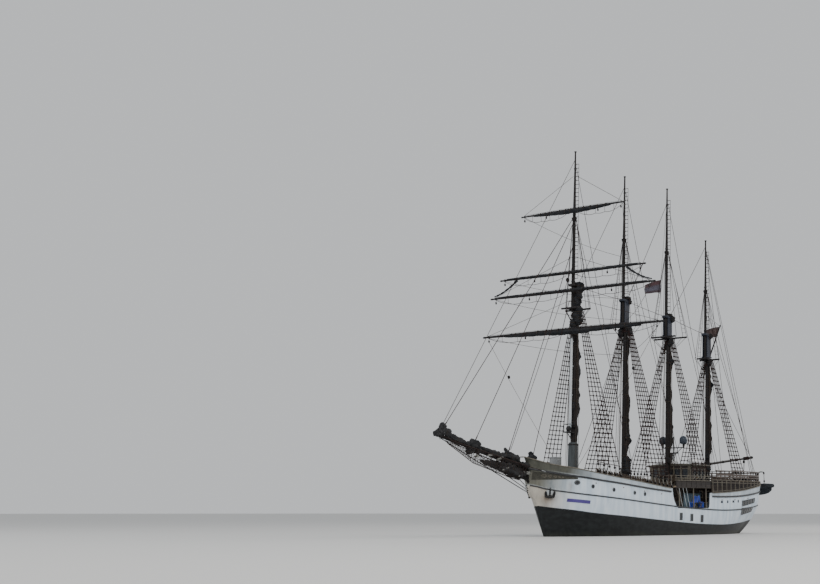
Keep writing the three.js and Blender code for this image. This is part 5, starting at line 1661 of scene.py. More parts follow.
def make_boom():
    """The boom, its bands, topping lifts with a spare rope coiled round it, and its sheet to the stern."""
    jigger = MASTS["jigger"]
    heel, long = -(jigger["lower"] + 0.03), 8.4
    start = on_mast(jigger, 6.8, heel)
    end = on_mast(jigger, 6.8, heel - long) + (0, 0, 0.87 + long * math.sin(RAKE))
    share = np.linspace(0, 1, 40)
    path = start + share[:, None] * (end - start)
    run = unit(end - start)
    piece("boom_spar", [tube(path, np.interp(share, (0, 0.35, 1), (0.115, 0.12, 0.08)), 16)], SPAR_WOOD,
          "boom", replaces=("jigger_boom",))
    bands = [tube([path[k], path[k + 1] - run * 0.12], 0.145, 16) for k in (1, 12, 24, 33, 38)]
    piece("boom_bands", bands, IRON, "boom")
    lift_top = on_mast(jigger, 15.95, -0.36)
    hang = path[31]
    turns = np.linspace(0, 2 * np.pi * 9, 200)[:, None]
    spare = hang + run * (turns / 60) + 0.16 * (np.cos(turns) * MAST_PORT + np.sin(turns) * UP)
    ropes = [tube(sagging(end - run * 0.3, lift_top, sag=0.25), 0.02, 6),
             tube(sagging(path[24], lift_top - (0, 0, 0.5), sag=0.15), 0.016, 6), tube(spare, 0.022, 6)]
    piece("topping_lifts", ropes, TARRED, "boom")
    piece("sheet_blocks", [ball(hang - (0, 0, 0.32), 0.13, 12, 1.25)], SPAR_WOOD, "boom")
    horse = np.array((-17.2, 0, 5.2))
    blend_rope("boom_sheet", hang - (0, 0, 0.4), horse, 0.05, 0.02)
    blend_rope("boom_sheet_fall", hang - (0.06, 0, 0.4), horse + (0.12, 0.1, 0), 0.02, 0.02)
    bow = horse + [(0, -0.8, -0.1), (0, -0.75, 0.04), (0, 0.75, 0.04), (0, 0.8, -0.1)]
    piece("sheet_horse", [tube(bow, 0.035)], IRON)


def flag_skin(hoist_top, hoist_low, fly, heading, waves, droop, pinch=0.0):
    """A flag as a closed thin shell: its cloth runs from the hoist along a heading that swings to and
    fro, so its length stays the cut length, sags more the farther it is from the hoist, and gathers a
    pinch at its fly."""
    steps, rows, thick = 44, 26, 0.007
    along = np.linspace(0, 1, steps)
    turn = heading + 0.75 * np.sin(2 * np.pi * waves * along + 0.4) * (0.4 + 0.6 * along)
    plan = np.cumsum(np.stack([np.cos(turn), np.sin(turn), np.zeros(steps)], 1), 0) * fly / (steps - 1)
    plan -= plan[:1]
    plan[:, 2] -= droop * along**1.4 * fly
    share = np.linspace(0, 1, rows)[:, None]
    top, low = np.asarray(hoist_top, float), np.asarray(hoist_low, float)
    gather = 1 - pinch * along**1.2
    grid = top + (0.5 + (share - 0.5) * gather)[..., None] * (low - top) + plan
    grid[..., 2] -= 0.05 * np.sin(np.pi * 3 * share) * pinch * along
    ripple = 0.035 * np.sin(9 * share + 13 * along) * along
    out = np.stack([-np.sin(turn), np.cos(turn), np.zeros(steps)], 1)
    grid = grid + ripple[..., None] * out
    ring = np.concatenate([grid + thick * out, (grid - thick * out)[::-1]], 0).transpose(1, 0, 2)
    drop = np.concatenate([share, share[::-1]])
    return solid(ring), np.tile(drop[:, 0], steps)


def make_flag_finish(name, rows):
    """Plain bunting in broad level bands, read from the flag's own height attribute, with a fine weave."""
    made, tree, shader = finish(name, roughness=0.85, sheen=0.3)
    bands = ramp(tree, value_of(tree, "drop"), *rows)
    mottle = ramp(tree, spots(tree, (1, 1, 1), 6.0), (0.3, (0.7, 0.7, 0.7)), (0.7, (1, 1, 1)))
    tree.links.new(blend_colours(tree, 1.0, bands, mottle, "MULTIPLY"), shader.inputs["Base Color"])
    relief(tree, shader, spots(tree, (1, 1, 1), 120.0, 1.0), distance=0.001, strength=0.5)
    return made


def make_flag(name, skin, material, node):
    """One flag: a thin sheet of cloth of a cut size, hung by its hoist."""
    shell, drop = skin
    flag = piece(name, [shell], material, replaces=(node,), sharp=180)
    add_values(flag.data, drop=drop)


def make_flags():
    """The little gaff on the jigger mast with a flag under it, and the other flag under the mizzen's
    crosstrees."""
    jigger, mizzen = MASTS["jigger"], MASTS["mizzen"]
    foot, peak = on_mast(jigger, 17.35, -0.32), on_mast(jigger, 20.9, -2.35)
    share = np.linspace(0, 1, 20)[:, None]
    gaff = [tube(foot + share * (peak - foot), np.interp(share[:, 0], (0, 1), (0.08, 0.05)), 14),
            ball(peak, 0.085, 12), bars(peak - (0, 0, 0.05), on_mast(jigger, 21.6, TOPMAST_AHEAD), 0.016)]
    piece("flag_gaff_spar", gaff, SPAR_WOOD, replaces=("monkey_gaff",))
    red = make_flag_finish("red_grey_bunting", RED_GREY_BANDS)
    brown = make_flag_finish("brown_bunting", BROWN_BANDS)
    top, low = np.array((-4.1, -0.75, 24.5)), np.array((-4.1, -0.75, 23.25))
    skin = flag_skin(top, low, fly=1.75, heading=math.atan2(-0.69, 0.72), waves=1.35, droop=0.2, pinch=0.32)
    make_flag("mizzen_flag_cloth", skin, red, "flag_mizzen")
    head, truck = on_mast(mizzen, mizzen["cross"], 0, -0.8), on_mast(mizzen, 31.2, TOPMAST_AHEAD, -0.1)
    piece("mizzen_flag_halyard", [tube([head, low, top, truck], 0.013, 6)], HEMP)
    along = unit(foot - peak)
    top, low = (peak + along * down + (0, -0.07, 0) for down in (0.12, 1.42))
    skin = flag_skin(top, low, fly=1.5, heading=math.atan2(-0.55, 0.83), waves=0.95, droop=0.22)
    make_flag("gaff_flag_cloth", skin, brown, "flag_gaff")


for yard_name, yard_row in YARDS.items():
    make_yard(yard_name, yard_row)
make_square_sails()
make_running_rigging()
make_boom()
make_flags()


# The bow: bowsprit, net, stays below it, stowed headsails, anchors and what stands on the foredeck.

def sprit_z(x):
    """Height of the bowsprit's axis."""
    return BOWSPRIT["head_z"] + BOWSPRIT["slope"] * (np.asarray(x, float) - BOWSPRIT["head"])


def sprit_radius(x):
    """The bowsprit's radius, which thins slowly as far as the knee's tip and faster from there on."""
    heel, tip = BOWSPRIT["radius"], BOWSPRIT["tip_radius"]
    return np.interp(x, (BOWSPRIT["heel"], 21.9, BOWSPRIT["tip"]), (heel, heel * 0.95, tip))


def on_sprit(x, y=0.0, up=0.0):
    """A point by the bowsprit's axis."""
    x = np.asarray(x, float)
    return np.stack(np.broadcast_arrays(x, y, sprit_z(x) + up), -1).astype(float)


def make_bowsprit():
    """The bowsprit with its rounded tip and bands, the bobstays and guys with their rigging screws, and
    the net."""
    heel, tip = BOWSPRIT["heel"], BOWSPRIT["tip"]
    x = np.linspace(heel, tip - 0.03, 50)
    path = on_sprit(np.concatenate([x, [tip, tip + 0.03]]))
    spar = tube(path, np.concatenate([sprit_radius(x), [0.10, 0.04]]), 24)
    piece("bowsprit_spar", [spar], SPRIT_WOOD, replaces=("bowsprit",))
    iron = []
    eye = ring_of((0, 0, 0), (0, 1, 0), 0.07, 0.02, 16, 6)
    for place in (19.3, 21.0, 22.9, 25.0, 27.0, 29.3):
        size = float(sprit_radius(place))
        iron.append(clasp(on_sprit, sprit_radius, place, half_wide=0.07, edge=0.02, proud=0.025, sides=24))
        iron += [moved(eye, on_sprit(place, 0, up)) for up in (-size - 0.06, size + 0.06)]
        iron.append(bars(on_sprit(place, -size - 0.1), on_sprit(place, size + 0.1), 0.025, sides=8))
    piece("bowsprit_bands", iron, IRON)
    feet = np.array([(17.99, 0, 3.72), (17.96, 0, 3.9), (17.98, 0, 4.06)])
    tips = np.array([on_sprit(x, 0, -below) for x, below in ((29.2, 0.17), (25.0, 0.26), (21.0, 0.28))])
    stays = [tube(sagging(*ends, 0.03), size, 8) for *ends, size in zip(feet, tips, (0.038, 0.032, 0.03))]
    piece("bobstay_lines", stays, IRON, replaces=("bobstay",))
    run = unit(tips - feet)
    guy, screw_end = (17.2, 1.35, 5.5), (17.75, 1.3, 5.6)
    screws = [bars(feet + run * 0.25, feet + run * 0.8, 0.055, 0.05, 8)]
    screws += both_sides(bars(guy, screw_end, 0.045, sides=8))
    piece("bowsprit_rigging_screws", screws, STEEL)
    guys = [tube(sagging(guy * np.array((1, side, 1)), on_sprit(29.3, side * 0.13), sag=0.1), 0.025, 7)
            for side in (-1, 1)]
    piece("bowsprit_guys", guys, TARRED)
    make_net()


def make_net():
    """A net slung under the bowsprit: diamonds of twine that hang between two ropes beside the spar, with a
    third rope down its middle, tied to the spar."""
    steps, across_steps = 58, 14
    x = np.linspace(19.2, 28.3, steps)[:, None]
    t = np.linspace(-1, 1, across_steps + 1)[None]
    half = np.interp(x, (19.2, 22, 28.3), (1.02, 0.85, 0.3))
    depth = np.interp(x, (19.2, 20.5, 25.2, 28.3), (1.15, 1.22, 1.12, 0.3))
    hung = sprit_z(x) - 0.12 - depth * (1 - np.abs(t) ** 1.7)
    grid = np.stack(np.broadcast_arrays(x, half * t, hung), -1)
    even = (np.arange(steps)[:, None] + np.arange(across_steps + 1)[None]) % 2 == 0
    right, left = even[:-1, :-1], even[:-1, 1:]
    starts = np.concatenate([grid[:-1, :-1][right], grid[:-1, 1:][left]])
    ends = np.concatenate([grid[1:, 1:][right], grid[1:, :-1][left]])
    parts = [bars(starts, ends, 0.014, sides=4)]
    parts += [tube(grid[:, k], 0.024, 6) for k in (0, across_steps // 2, across_steps)]
    tied = np.arange(2, steps, 5)
    for k, side in ((0, -1), (across_steps, 1)):
        spar = on_sprit(x[tied, 0], side * sprit_radius(x[tied, 0]))
        parts.append(bars(grid[tied, k], spar, 0.014, sides=5))
    piece("bowsprit_net", parts, NET)
    piece("net_hoops", [tube(grid[k], 0.02, 6) for k in (1, 20, 38)], TARRED)


JIBS = [
    # name, rows of x, radius, height over the spar's axis and distance to port, CAD node, seed
    ("flying_jib", [(25.95, 0.1, 0.12, 0.05), (26.4, 0.2, 0.16, 0.1), (27.2, 0.24, 0.2, 0.06),
                    (28.0, 0.26, 0.3, 0.0), (28.6, 0.3, 0.45, 0.0), (29.1, 0.27, 0.5, 0.0),
                    (29.3, 0.12, 0.5, 0.0)], ("furled_flying_jib",), 71),
    ("inner_jib", [(21.4, 0.08, 0.2, 0.1), (21.9, 0.2, 0.18, 0.2), (22.8, 0.24, 0.14, 0.24),
                   (23.6, 0.23, 0.16, 0.22), (24.2, 0.2, 0.2, 0.12), (24.5, 0.08, 0.26, 0.05)],
     ("furled_inner_jib",), 73),
    ("fore_staysail", [(19.2, 0.1, 0.24, 0.0), (19.7, 0.3, 0.34, 0.05), (20.3, 0.36, 0.42, 0.05),
                       (20.8, 0.3, 0.42, 0.0), (21.6, 0.2, 0.26, 0.05), (22.3, 0.08, 0.16, 0.1)], (), 74),
    ("netted_jib", [(18.5, 0.18, -0.5, 0.05), (19.1, 0.42, -0.7, 0.1), (19.9, 0.5, -0.74, 0.12),
                    (20.9, 0.46, -0.72, 0.1), (22.0, 0.38, -0.73, 0.06), (23.0, 0.29, -0.76, 0.0),
                    (23.9, 0.16, -0.8, 0.0), (24.4, 0.06, -0.76, 0.0)], (), 75),
]
HEADSAIL_LUMPS = [
    # x, distance to port, height over the spar's axis, direction, half length, radius
    ((29.0, 0, 0.62), (0.1, 0, 1.0), 0.56, 0.32), ((28.3, 0.05, 0.45), (0.2, 0, 1.0), 0.4, 0.26),
    ((29.72, 0, 0.1), (1.0, 0, 0.2), 0.36, 0.26), ((29.4, 0.05, 0.3), (0.3, 0, 1.0), 0.36, 0.22),
    ((25.1, 0.0, 0.27), (1.0, 0.3, 0.1), 0.7, 0.47), ((25.6, 0.05, -0.3), (1.0, 0, -0.3), 0.55, 0.27),
    ((24.7, 0.1, 0.0), (0.5, 0, 1.0), 0.4, 0.26), ((25.8, 0.0, 0.05), (0.2, 0, 1.0), 0.4, 0.22),
    ((20.3, 0.0, 0.45), (0.8, 0, 1.0), 0.5, 0.3), ((18.3, 0.25, 0.22), (1.0, 0.2, 0.1), 0.5, 0.26),
    ((20.85, 0, 0.72), (0.75, 0, 1.0), 0.44, 0.17), ((19.6, 0.0, 0.5), (1.0, 0, 0.1), 0.5, 0.26),
    ((18.9, 0.35, 0.1), (1.0, 0, 0.1), 0.55, 0.22), ((18.75, -0.35, 0.15), (1.0, 0, 0.1), 0.5, 0.2),
]
PALE_ROLLS = [
    ((23.3, 0.3, -0.12), (1.0, 0, -0.22), 0.5, 0.1), ((22.3, 0.42, -0.2), (1.0, 0, -0.3), 0.55, 0.09),
    ((19.35, 0.42, -0.78), (1.0, 0, -0.5), 0.5, 0.11), ((18.45, 0.4, -0.5), (1.0, 0.2, -0.2), 0.3, 0.12),
    ((21.2, 0.36, -0.72), (1.0, 0, -0.25), 0.7, 0.09), ((25.05, 0.25, -0.62), (1.0, 0, -0.3), 0.28, 0.1),
]
FORESTAY_LUMPS = (
    ((17.55, 0.15, 0.95), (1.0, 0.3, 0.1), 0.55, 0.34), ((17.35, -0.2, 0.8), (0.8, -0.5, 0.3), 0.5, 0.3),
    ((17.6, 0.05, 1.2), (0.3, 0.1, 1.0), 0.35, 0.24),
)
KNEE_EDGE = (
    # x and z of the knee's lower edge
    (17.95, 4.5), (18.2, 4.7), (19.1, 4.95), (19.6, 5.17), (20.1, 5.45), (20.6, 5.78), (21.0, 6.1),
)


def sprit_lump(place, direction, half_length, radius, seed):
    """A bag of canvas lashed to the spar: full in the middle, pulled in at both ends, its skin in folds."""
    share = np.linspace(-1, 1, 30)
    run = unit(np.array(direction, float))
    centre = on_sprit(*place) + share[:, None] * half_length * run
    size = radius * np.sqrt(np.clip(1 - share**2, 0.015, 1)) * (1 + 0.1 * np.sin(share * 7 + seed))
    return stowed_skin(centre, size, *across(np.broadcast_to(run, centre.shape)), turns=1.6, lumps=1.35,
                       seed=seed, sides=22)


def make_jib(name, rows, nodes, seed):
    """One stowed headsail along the spar, tied in with gaskets: rows are its places, radii and distances
    off it."""
    low, high = rows[0][0], rows[-1][0]
    steps = int((high - low) * 30)
    x, share = np.linspace(low, high, steps), np.linspace(0, 1, steps)
    count = max(int((high - low) / 0.6), 2) + 1
    knots = np.linspace(0, 1, count)
    knots[1:-1] += np.random.default_rng(seed).uniform(-0.3, 0.3, count - 2) / count
    base, up, to_port = (eased([(row[0], row[k]) for row in rows], x) for k in (1, 2, 3))
    radius = np.maximum(base * swell(share, knots, pinch=0.22), 0.03)
    centre = on_sprit(x, to_port + 0.04 * np.sin(x * 3.1), up)
    run = unit(np.gradient(centre, axis=0))
    skin = stowed_skin(centre, radius, *across(run), turns=(high - low) * 1.6, lumps=1.3, seed=seed,
                       sides=30, twist=0.5)
    stowed_piece(f"stowed_{name}", [skin], JIB_CANVAS, replaces=nodes)
    ties = []
    for knot in knots[1:-1]:
        *spot, thick = (float(np.interp(knot, share, values)) for values in (*centre.T, radius))
        ties.append(ring_of(spot, run[steps // 2], thick * 1.07, 0.02, 22, 6))
    piece(f"jib_gaskets_{name}", ties, HEMP)


def make_jibs():
    """The headsails stowed along the bowsprit, and the bundles and pale rolls lashed among them."""
    for row in JIBS:
        make_jib(*row)
    for label, rows, material in (("headsail_bundles", HEADSAIL_LUMPS, JIB_CANVAS),
                                  ("canvas_rolls", PALE_ROLLS, PALE_CANVAS)):
        skins = [sprit_lump(*row, seed) for seed, row in enumerate(rows, 80)]
        stowed_piece(label, skins, material)


def make_beak():
    """The knee under the bowsprit, with cheek mouldings, and a carved-looking trailboard on either bow."""
    x = np.linspace(KNEE_EDGE[0][0], KNEE_EDGE[-1][0], 26)
    low = eased(KNEE_EDGE, x)
    high = np.minimum(sprit_z(x) - sprit_radius(x) + 0.03,
                      np.interp(x, (17.95, 18.3, 18.32, 25), (5.4, 5.44, 9, 9)))
    thick = np.interp(x, (17.95, 21), (0.11, 0.06))
    port = np.stack([np.stack([x, thick * share, z], 1)
                     for share, z in ((0.5, low), (1, low + 0.05), (1, high))], 1)
    knee = solid(np.concatenate([port, port[:, ::-1] * (1, -1, 1)], 1))
    piece("knee_of_the_head", [knee], SPRIT_WOOD, replaces=("beak_knee",))
    cheeks = [tube(np.stack([x, thick, low + rise], 1)[high - low > rise + 0.1], size)
              for rise, size in ((0.16, 0.05), (0.42, 0.045))]
    piece("knee_cheeks", both_sides(*cheeks), SPRIT_WOOD)
    board = side_patch((17.9, 14.3), (4.82, 4.9), (5.5, 5.02), out=0.03, columns=30, rows=6)
    piece("trailboards", both_sides(board), TRAIL_PAINT)
    turn = np.linspace(0, 2.6 * np.pi, 40)
    scrolls = []
    for at, size in ((17.2, 0.2), (16.75, 0.16), (16.35, 0.13), (16.0, 0.1), (15.7, 0.08)):
        reach = size * (1 - turn / (3.2 * np.pi))
        z = np.interp(at, (14.9, 17.75), (4.98, 5.16)) + reach * np.sin(turn) * 0.8
        curve, _ = on_side(at + reach * np.cos(turn), z, 0.04)
        scrolls.append(tube(curve, np.linspace(0.03, 0.012, 40), 6))
    piece("trailboard_scrolls", both_sides(*scrolls), RAIL_WOOD)


def anchor_parts():
    """A stockless anchor, its x along the side, its y up it and its z outwards."""
    crown = [(-0.42, -0.2, 0.12), (-0.36, -0.24, 0.13), (0, -0.27, 0.14), (0.36, -0.24, 0.13),
             (0.42, -0.2, 0.12)]
    fluke = np.array([(0.33, -0.2, 0.13), (0.36, -0.02, 0.15), (0.38, 0.14, 0.16), (0.4, 0.28, 0.15)])
    parts = [beams((0, -0.22, 0.1), (0, 0.4, 0.13), 0.12, 0.12),
             tube(crown, [0.05, 0.09, 0.12, 0.09, 0.05], 10),
             ring_of((0, 0.46, 0.14), (1, 0, 0), 0.09, 0.025, 16, 6)]
    return parts + [tube(fluke * (side, 1, 1), [0.085, 0.12, 0.1, 0.03], 8, 0.55) for side in (-1, 1)]


def make_anchors():
    """An anchor hove up on either bow, each against a round pad."""
    centre, normal = spot_on_side(16.38, 3.66)
    up = unit(UP - normal * normal[2])
    axes = np.cross(up, normal), up, normal
    pad = lathe([(0.02, -0.1), (0.3, -0.1), (0.3, 0.02), (0.24, 0.045), (0.02, 0.05)], 28)
    piece("anchor_pads", both_sides(placed(pad, centre + up * 0.12, *axes)), PALE_PAINT)
    parts = [placed(part, centre, *axes) for part in anchor_parts()]
    for label, made in (("port", parts), ("starboard", [mirrored(part) for part in parts])):
        piece(f"anchor_in_its_pipe_{label}", made, IRON, replaces=(f"anchor_{label}",))


def framed_box(x, y, z, panel=0.05):
    """A locker: a body with raised stiles round each of its two broad sides and a lid with a lip."""
    body = block(x, y, (z[0], z[1] - 0.06))
    lid = block((x[0] - 0.04, x[1] + 0.04), (y[0] - 0.04, y[1] + 0.04), (z[1] - 0.08, z[1]))
    rims = []
    for face in (about(y[0] - 0.015, 0.015), about(y[1] + 0.015, 0.015)):
        rims += [block((x[0], x[0] + panel), face, z), block((x[1] - panel, x[1]), face, z),
                 block(x, face, (z[0], z[0] + panel)), block(x, face, (z[1] - 0.06 - panel, z[1] - 0.06))]
    return [body, lid, *rims]


def round_openings(length, height, openings, opening_height):
    """A wall's panels as (span along it, span of height): a strip under its openings, one over them, and
    the posts between them."""
    edges = [length[0], *(edge for opening in sorted(openings) for edge in opening), length[1]]
    posts = [(span, opening_height) for span in zip(edges[::2], edges[1::2])]
    return [(length, (height[0], opening_height[0])), (length, (opening_height[1], height[1])), *posts]


def make_foredeck():
    """The tall locker, canvas stowed round the stays' feet, the windlass with its cables, bitts and
    bollards."""
    locker = framed_box((13.78, 14.42), (-0.38, 0.38), (4.78, 6.85))
    slats = [block((13.9, 14.3), about(0.4, 0.01), (z, z + 0.03)) for z in np.arange(6.2, 6.6, 0.07)]
    piece("foredeck_locker", [*locker, *both_sides(*slats)], LOCKER_PAINT, replaces=("bow_locker",),
          bevel=0.02)
    skins = [sprit_lump(*row, seed) for seed, row in enumerate(FORESTAY_LUMPS, 96)]
    stowed_piece("forestay_bundle", skins, CANVAS)
    end = [(0.1, 1.0), (0.3, 0.98), (0.2, 0.75), (0.3, 0.5)]
    profile = [(radius, -away) for radius, away in end] + [(0.22, -0.42), (0.24, 0.42)] + end[::-1]
    barrel = placed(lathe(profile, 24), (15.6, 0, 5.45), (0, 0, 1), (1, 0, 0), (0, 1, 0))
    cheek = block((15.3, 15.9), about(0.62, 0.06), (4.9, 5.75))
    piece("windlass", [barrel, *both_sides(cheek)], RUSTY, bevel=0.02)
    cable = tube([(15.55, 0.9, 5.72), (15.9, 1.0, 5.35), (16.3, 1.1, 5.2), (16.7, 1.15, 5.15)], 0.05)
    piece("anchor_cables", both_sides(cable), RUSTY)
    iron = both_sides(bars((16.6, 0.6, 5.0), (16.6, 0.6, 5.75), 0.1, 0.09, 12))
    iron.append(bars((16.6, -0.85, 5.55), (16.6, 0.85, 5.55), 0.07, sides=10))
    x = np.repeat((13.0, 12.6, 8.6, 8.2, -11.0, -11.4), 2)
    feet = np.stack([x, np.tile((-1, 1), 6) * (rail_half(x) - 0.55), deck_z(x)], 1)
    iron.append(bars(feet, feet + 0.5 * UP, 0.11, 0.12, 14))
    piece("bitts_and_bollards", iron, IRON)


make_bowsprit()
make_jibs()
make_beak()
make_anchors()
make_foredeck()


# Houses amidships and aft, the poop and its rail, the boat over the stern, rudder and propeller.

PANE_HEIGHT = (5.35, 6.15)
FRONT_WINDOWS = [(y - 0.33, y + 0.33) for y in (-1.64, -0.82, 0.0, 0.82, 1.64)]
BACK_WINDOWS = [(-1.7, -0.7), (0.7, 1.7)]
SIDE_WINDOWS = [(-6.36, -5.92), (-5.78, -5.3)]
DOORWAY = (-5.1, -4.3)
DOORWAY_HEIGHT = (4.62, 6.3)
DOOR_GAP = 0.012
DOOR_THICK = 0.055
DOOR_PANE = (-4.94, -4.46)
DOOR_PANE_HEIGHT = (5.4, 6.1)
CHAIRS = ((-2.75, 1), (-3.75, -1))


def window(centre, right, out, half_wide, low, high):
    """A window's dark pane and its raised frame: right runs along the wall and out points away from it."""
    tall, rim = (high - low) / 2, 0.055
    wide = half_wide + rim
    pane = block(about(0, half_wide), about(0, tall), (-0.05, -0.03))
    rims = [block(about(0, wide), (tall, tall + rim), (-0.02, 0.035)),
            block(about(0, wide + 0.02), (-tall - rim, -tall), (-0.02, 0.055)),
            *(block(about(side * (half_wide + rim / 2), rim / 2), about(0, tall), (-0.02, 0.03))
              for side in (-1, 1))]
    place = np.array(centre, float) * (1, 1, 0) + UP * (low + high) / 2
    return placed(pane, place, right, UP, out), [placed(part, place, right, UP, out) for part in rims]


def all_windows(rows, low, high):
    """Panes and frames of many windows at one height: rows are (centre, right, out, half width)."""
    made = [window(*row, low, high) for row in rows]
    return [pane for pane, _ in made], [part for _, rims in made for part in rims]


def wheelhouse_walls():
    """Boarded walls as blocks round the window openings, and round a doorway on either side."""
    fore, aft, half = WHEELHOUSE["fore"], WHEELHOUSE["aft"], WHEELHOUSE["half"]
    height, thick = (WHEELHOUSE["floor"], WHEELHOUSE["top"]), WHEELHOUSE["wall"]
    walls = []
    for x, openings in ((fore, FRONT_WINDOWS), (aft + thick, BACK_WINDOWS)):
        walls += [block((x, x - thick), y, z)
                  for y, z in round_openings((-half, half), height, openings, PANE_HEIGHT)]
    side = round_openings((aft + thick, DOORWAY[0]), height, SIDE_WINDOWS, PANE_HEIGHT)
    sill, head = DOORWAY_HEIGHT
    side += [((DOORWAY[1], fore - thick), height), (DOORWAY, (head, height[1])), (DOORWAY, (height[0], sill))]
    return walls + both_sides(*(block(x, (half, half - thick), z) for x, z in side))


def make_wheelhouse_door(side, label):
    """A door leaf as four boards round its pane, with a raised panel and a brass knob."""
    half, body = WHEELHOUSE["half"], f"door_{label}"
    leaf = (side * half, side * (half - DOOR_THICK))
    aft, fore = DOORWAY[0] + DOOR_GAP, DOORWAY[1] - DOOR_GAP
    low, high = DOORWAY_HEIGHT[0] + DOOR_GAP, DOORWAY_HEIGHT[1] - DOOR_GAP
    door = [block((fore, DOOR_PANE[1]), leaf, (low, high)), block((DOOR_PANE[0], aft), leaf, (low, high)),
            block(DOOR_PANE[::-1], leaf, (low, DOOR_PANE_HEIGHT[0])),
            block(DOOR_PANE[::-1], leaf, (DOOR_PANE_HEIGHT[1], high))]
    raised = (side * (half + 0.004), side * (half - DOOR_THICK - 0.004))
    door.append(block((-4.52, -4.88), raised, (4.75, 5.28)))
    piece(f"door_leaf_{label}", door, TEAK, body, replaces=(f"wheelhouse_door_{label}",),
          bevel=0.008)
    pane = block(DOOR_PANE[::-1], (side * (half - 0.02), side * (half - 0.035)), DOOR_PANE_HEIGHT)
    piece(f"door_pane_{label}", [pane], GLASS, body)
    knob = np.array((-5.02, side * half, 5.35))
    out = np.array((0, side, 0))
    parts = [bars(knob - out * 0.06, knob + out * 0.03, 0.02, sides=10), ball(knob + out * 0.045, 0.035, 14)]
    piece(f"door_handle_{label}", parts, BRASS, body)


def ship_wheel(hub, rim, thick, spoke, axle, sides):
    """A steering wheel that faces aft: a ring, eight spokes with handles past it, and its axle: (back,
    ahead, radius)."""
    turn = np.linspace(0, 2 * np.pi, 9)[:-1]
    handles = hub + np.stack([0 * turn, np.cos(turn), np.sin(turn)], 1) * spoke[0] * 1.15
    back, ahead, radius = axle
    return [ring_of(hub, (1, 0, 0), rim, thick, sides), bars(hub, handles, spoke[1]),
            bars(hub - (back, 0, 0), hub + (ahead, 0, 0), radius, sides=14)]


def make_wheelhouse():
    """The wheelhouse: boarded walls, windows, corner posts, mullions, belts, doors, console and wheel."""
    fore, aft, half = WHEELHOUSE["fore"], WHEELHOUSE["aft"], WHEELHOUSE["half"]
    floor, top = WHEELHOUSE["floor"], WHEELHOUSE["top"]
    piece("wheelhouse_boards", wheelhouse_walls(), WALL_PLANKS, replaces=("wheelhouse_walls",),
          bevel=0.008)
    rows = [((fore, (a + b) / 2, 0), (0, 1, 0), (1, 0, 0), (b - a) / 2) for a, b in FRONT_WINDOWS]
    rows += [((aft, (a + b) / 2, 0), (0, -1, 0), (-1, 0, 0), (b - a) / 2) for a, b in BACK_WINDOWS]
    rows += [(((a + b) / 2, side * half, 0), (-side, 0, 0), (0, side, 0), (b - a) / 2)
             for side in (1, -1) for a, b in SIDE_WINDOWS]
    panes, trim = all_windows(rows, *PANE_HEIGHT)
    trim += both_sides(*(block(about(x, 0.05), about(half, 0.05), (floor, top))
                         for x in (fore - 0.02, aft + 0.02)))
    trim += [block((fore - 0.02, fore + 0.03), about(y, 0.05), (4.6, top))
             for y in np.linspace(-2.05, 2.05, 6)]
    trim += [block((fore - 0.01, fore + 0.03), about(0, half), z) for z in ((5.18, 5.25), (4.5, 4.6))]
    trim += both_sides(*(block((aft, fore), about(half, 0.02), z) for z in ((6.32, 6.4), (4.5, 4.57))))
    piece("wheelhouse_panes", panes, GLASS)
    piece("wheelhouse_frames", trim, POST_WOOD, bevel=0.006)
    for side, label in ((1, "port"), (-1, "starboard")):
        make_wheelhouse_door(side, label)
    console = [block((-4.15, -4.6), about(0, 0.9), (4.45, 5.3)),
               block((-4.1, -4.65), about(0, 0.95), (5.28, 5.34))]
    piece("helm_console", console, TEAK, bevel=0.015)
    wheel = ship_wheel(np.array((-4.78, 0.0, 5.35)), rim=0.28, thick=0.025, spoke=(0.36, 0.016),
                       axle=(0.05, 0.16, 0.05), sides=28)
    piece("steering_wheel", wheel, TEAK)


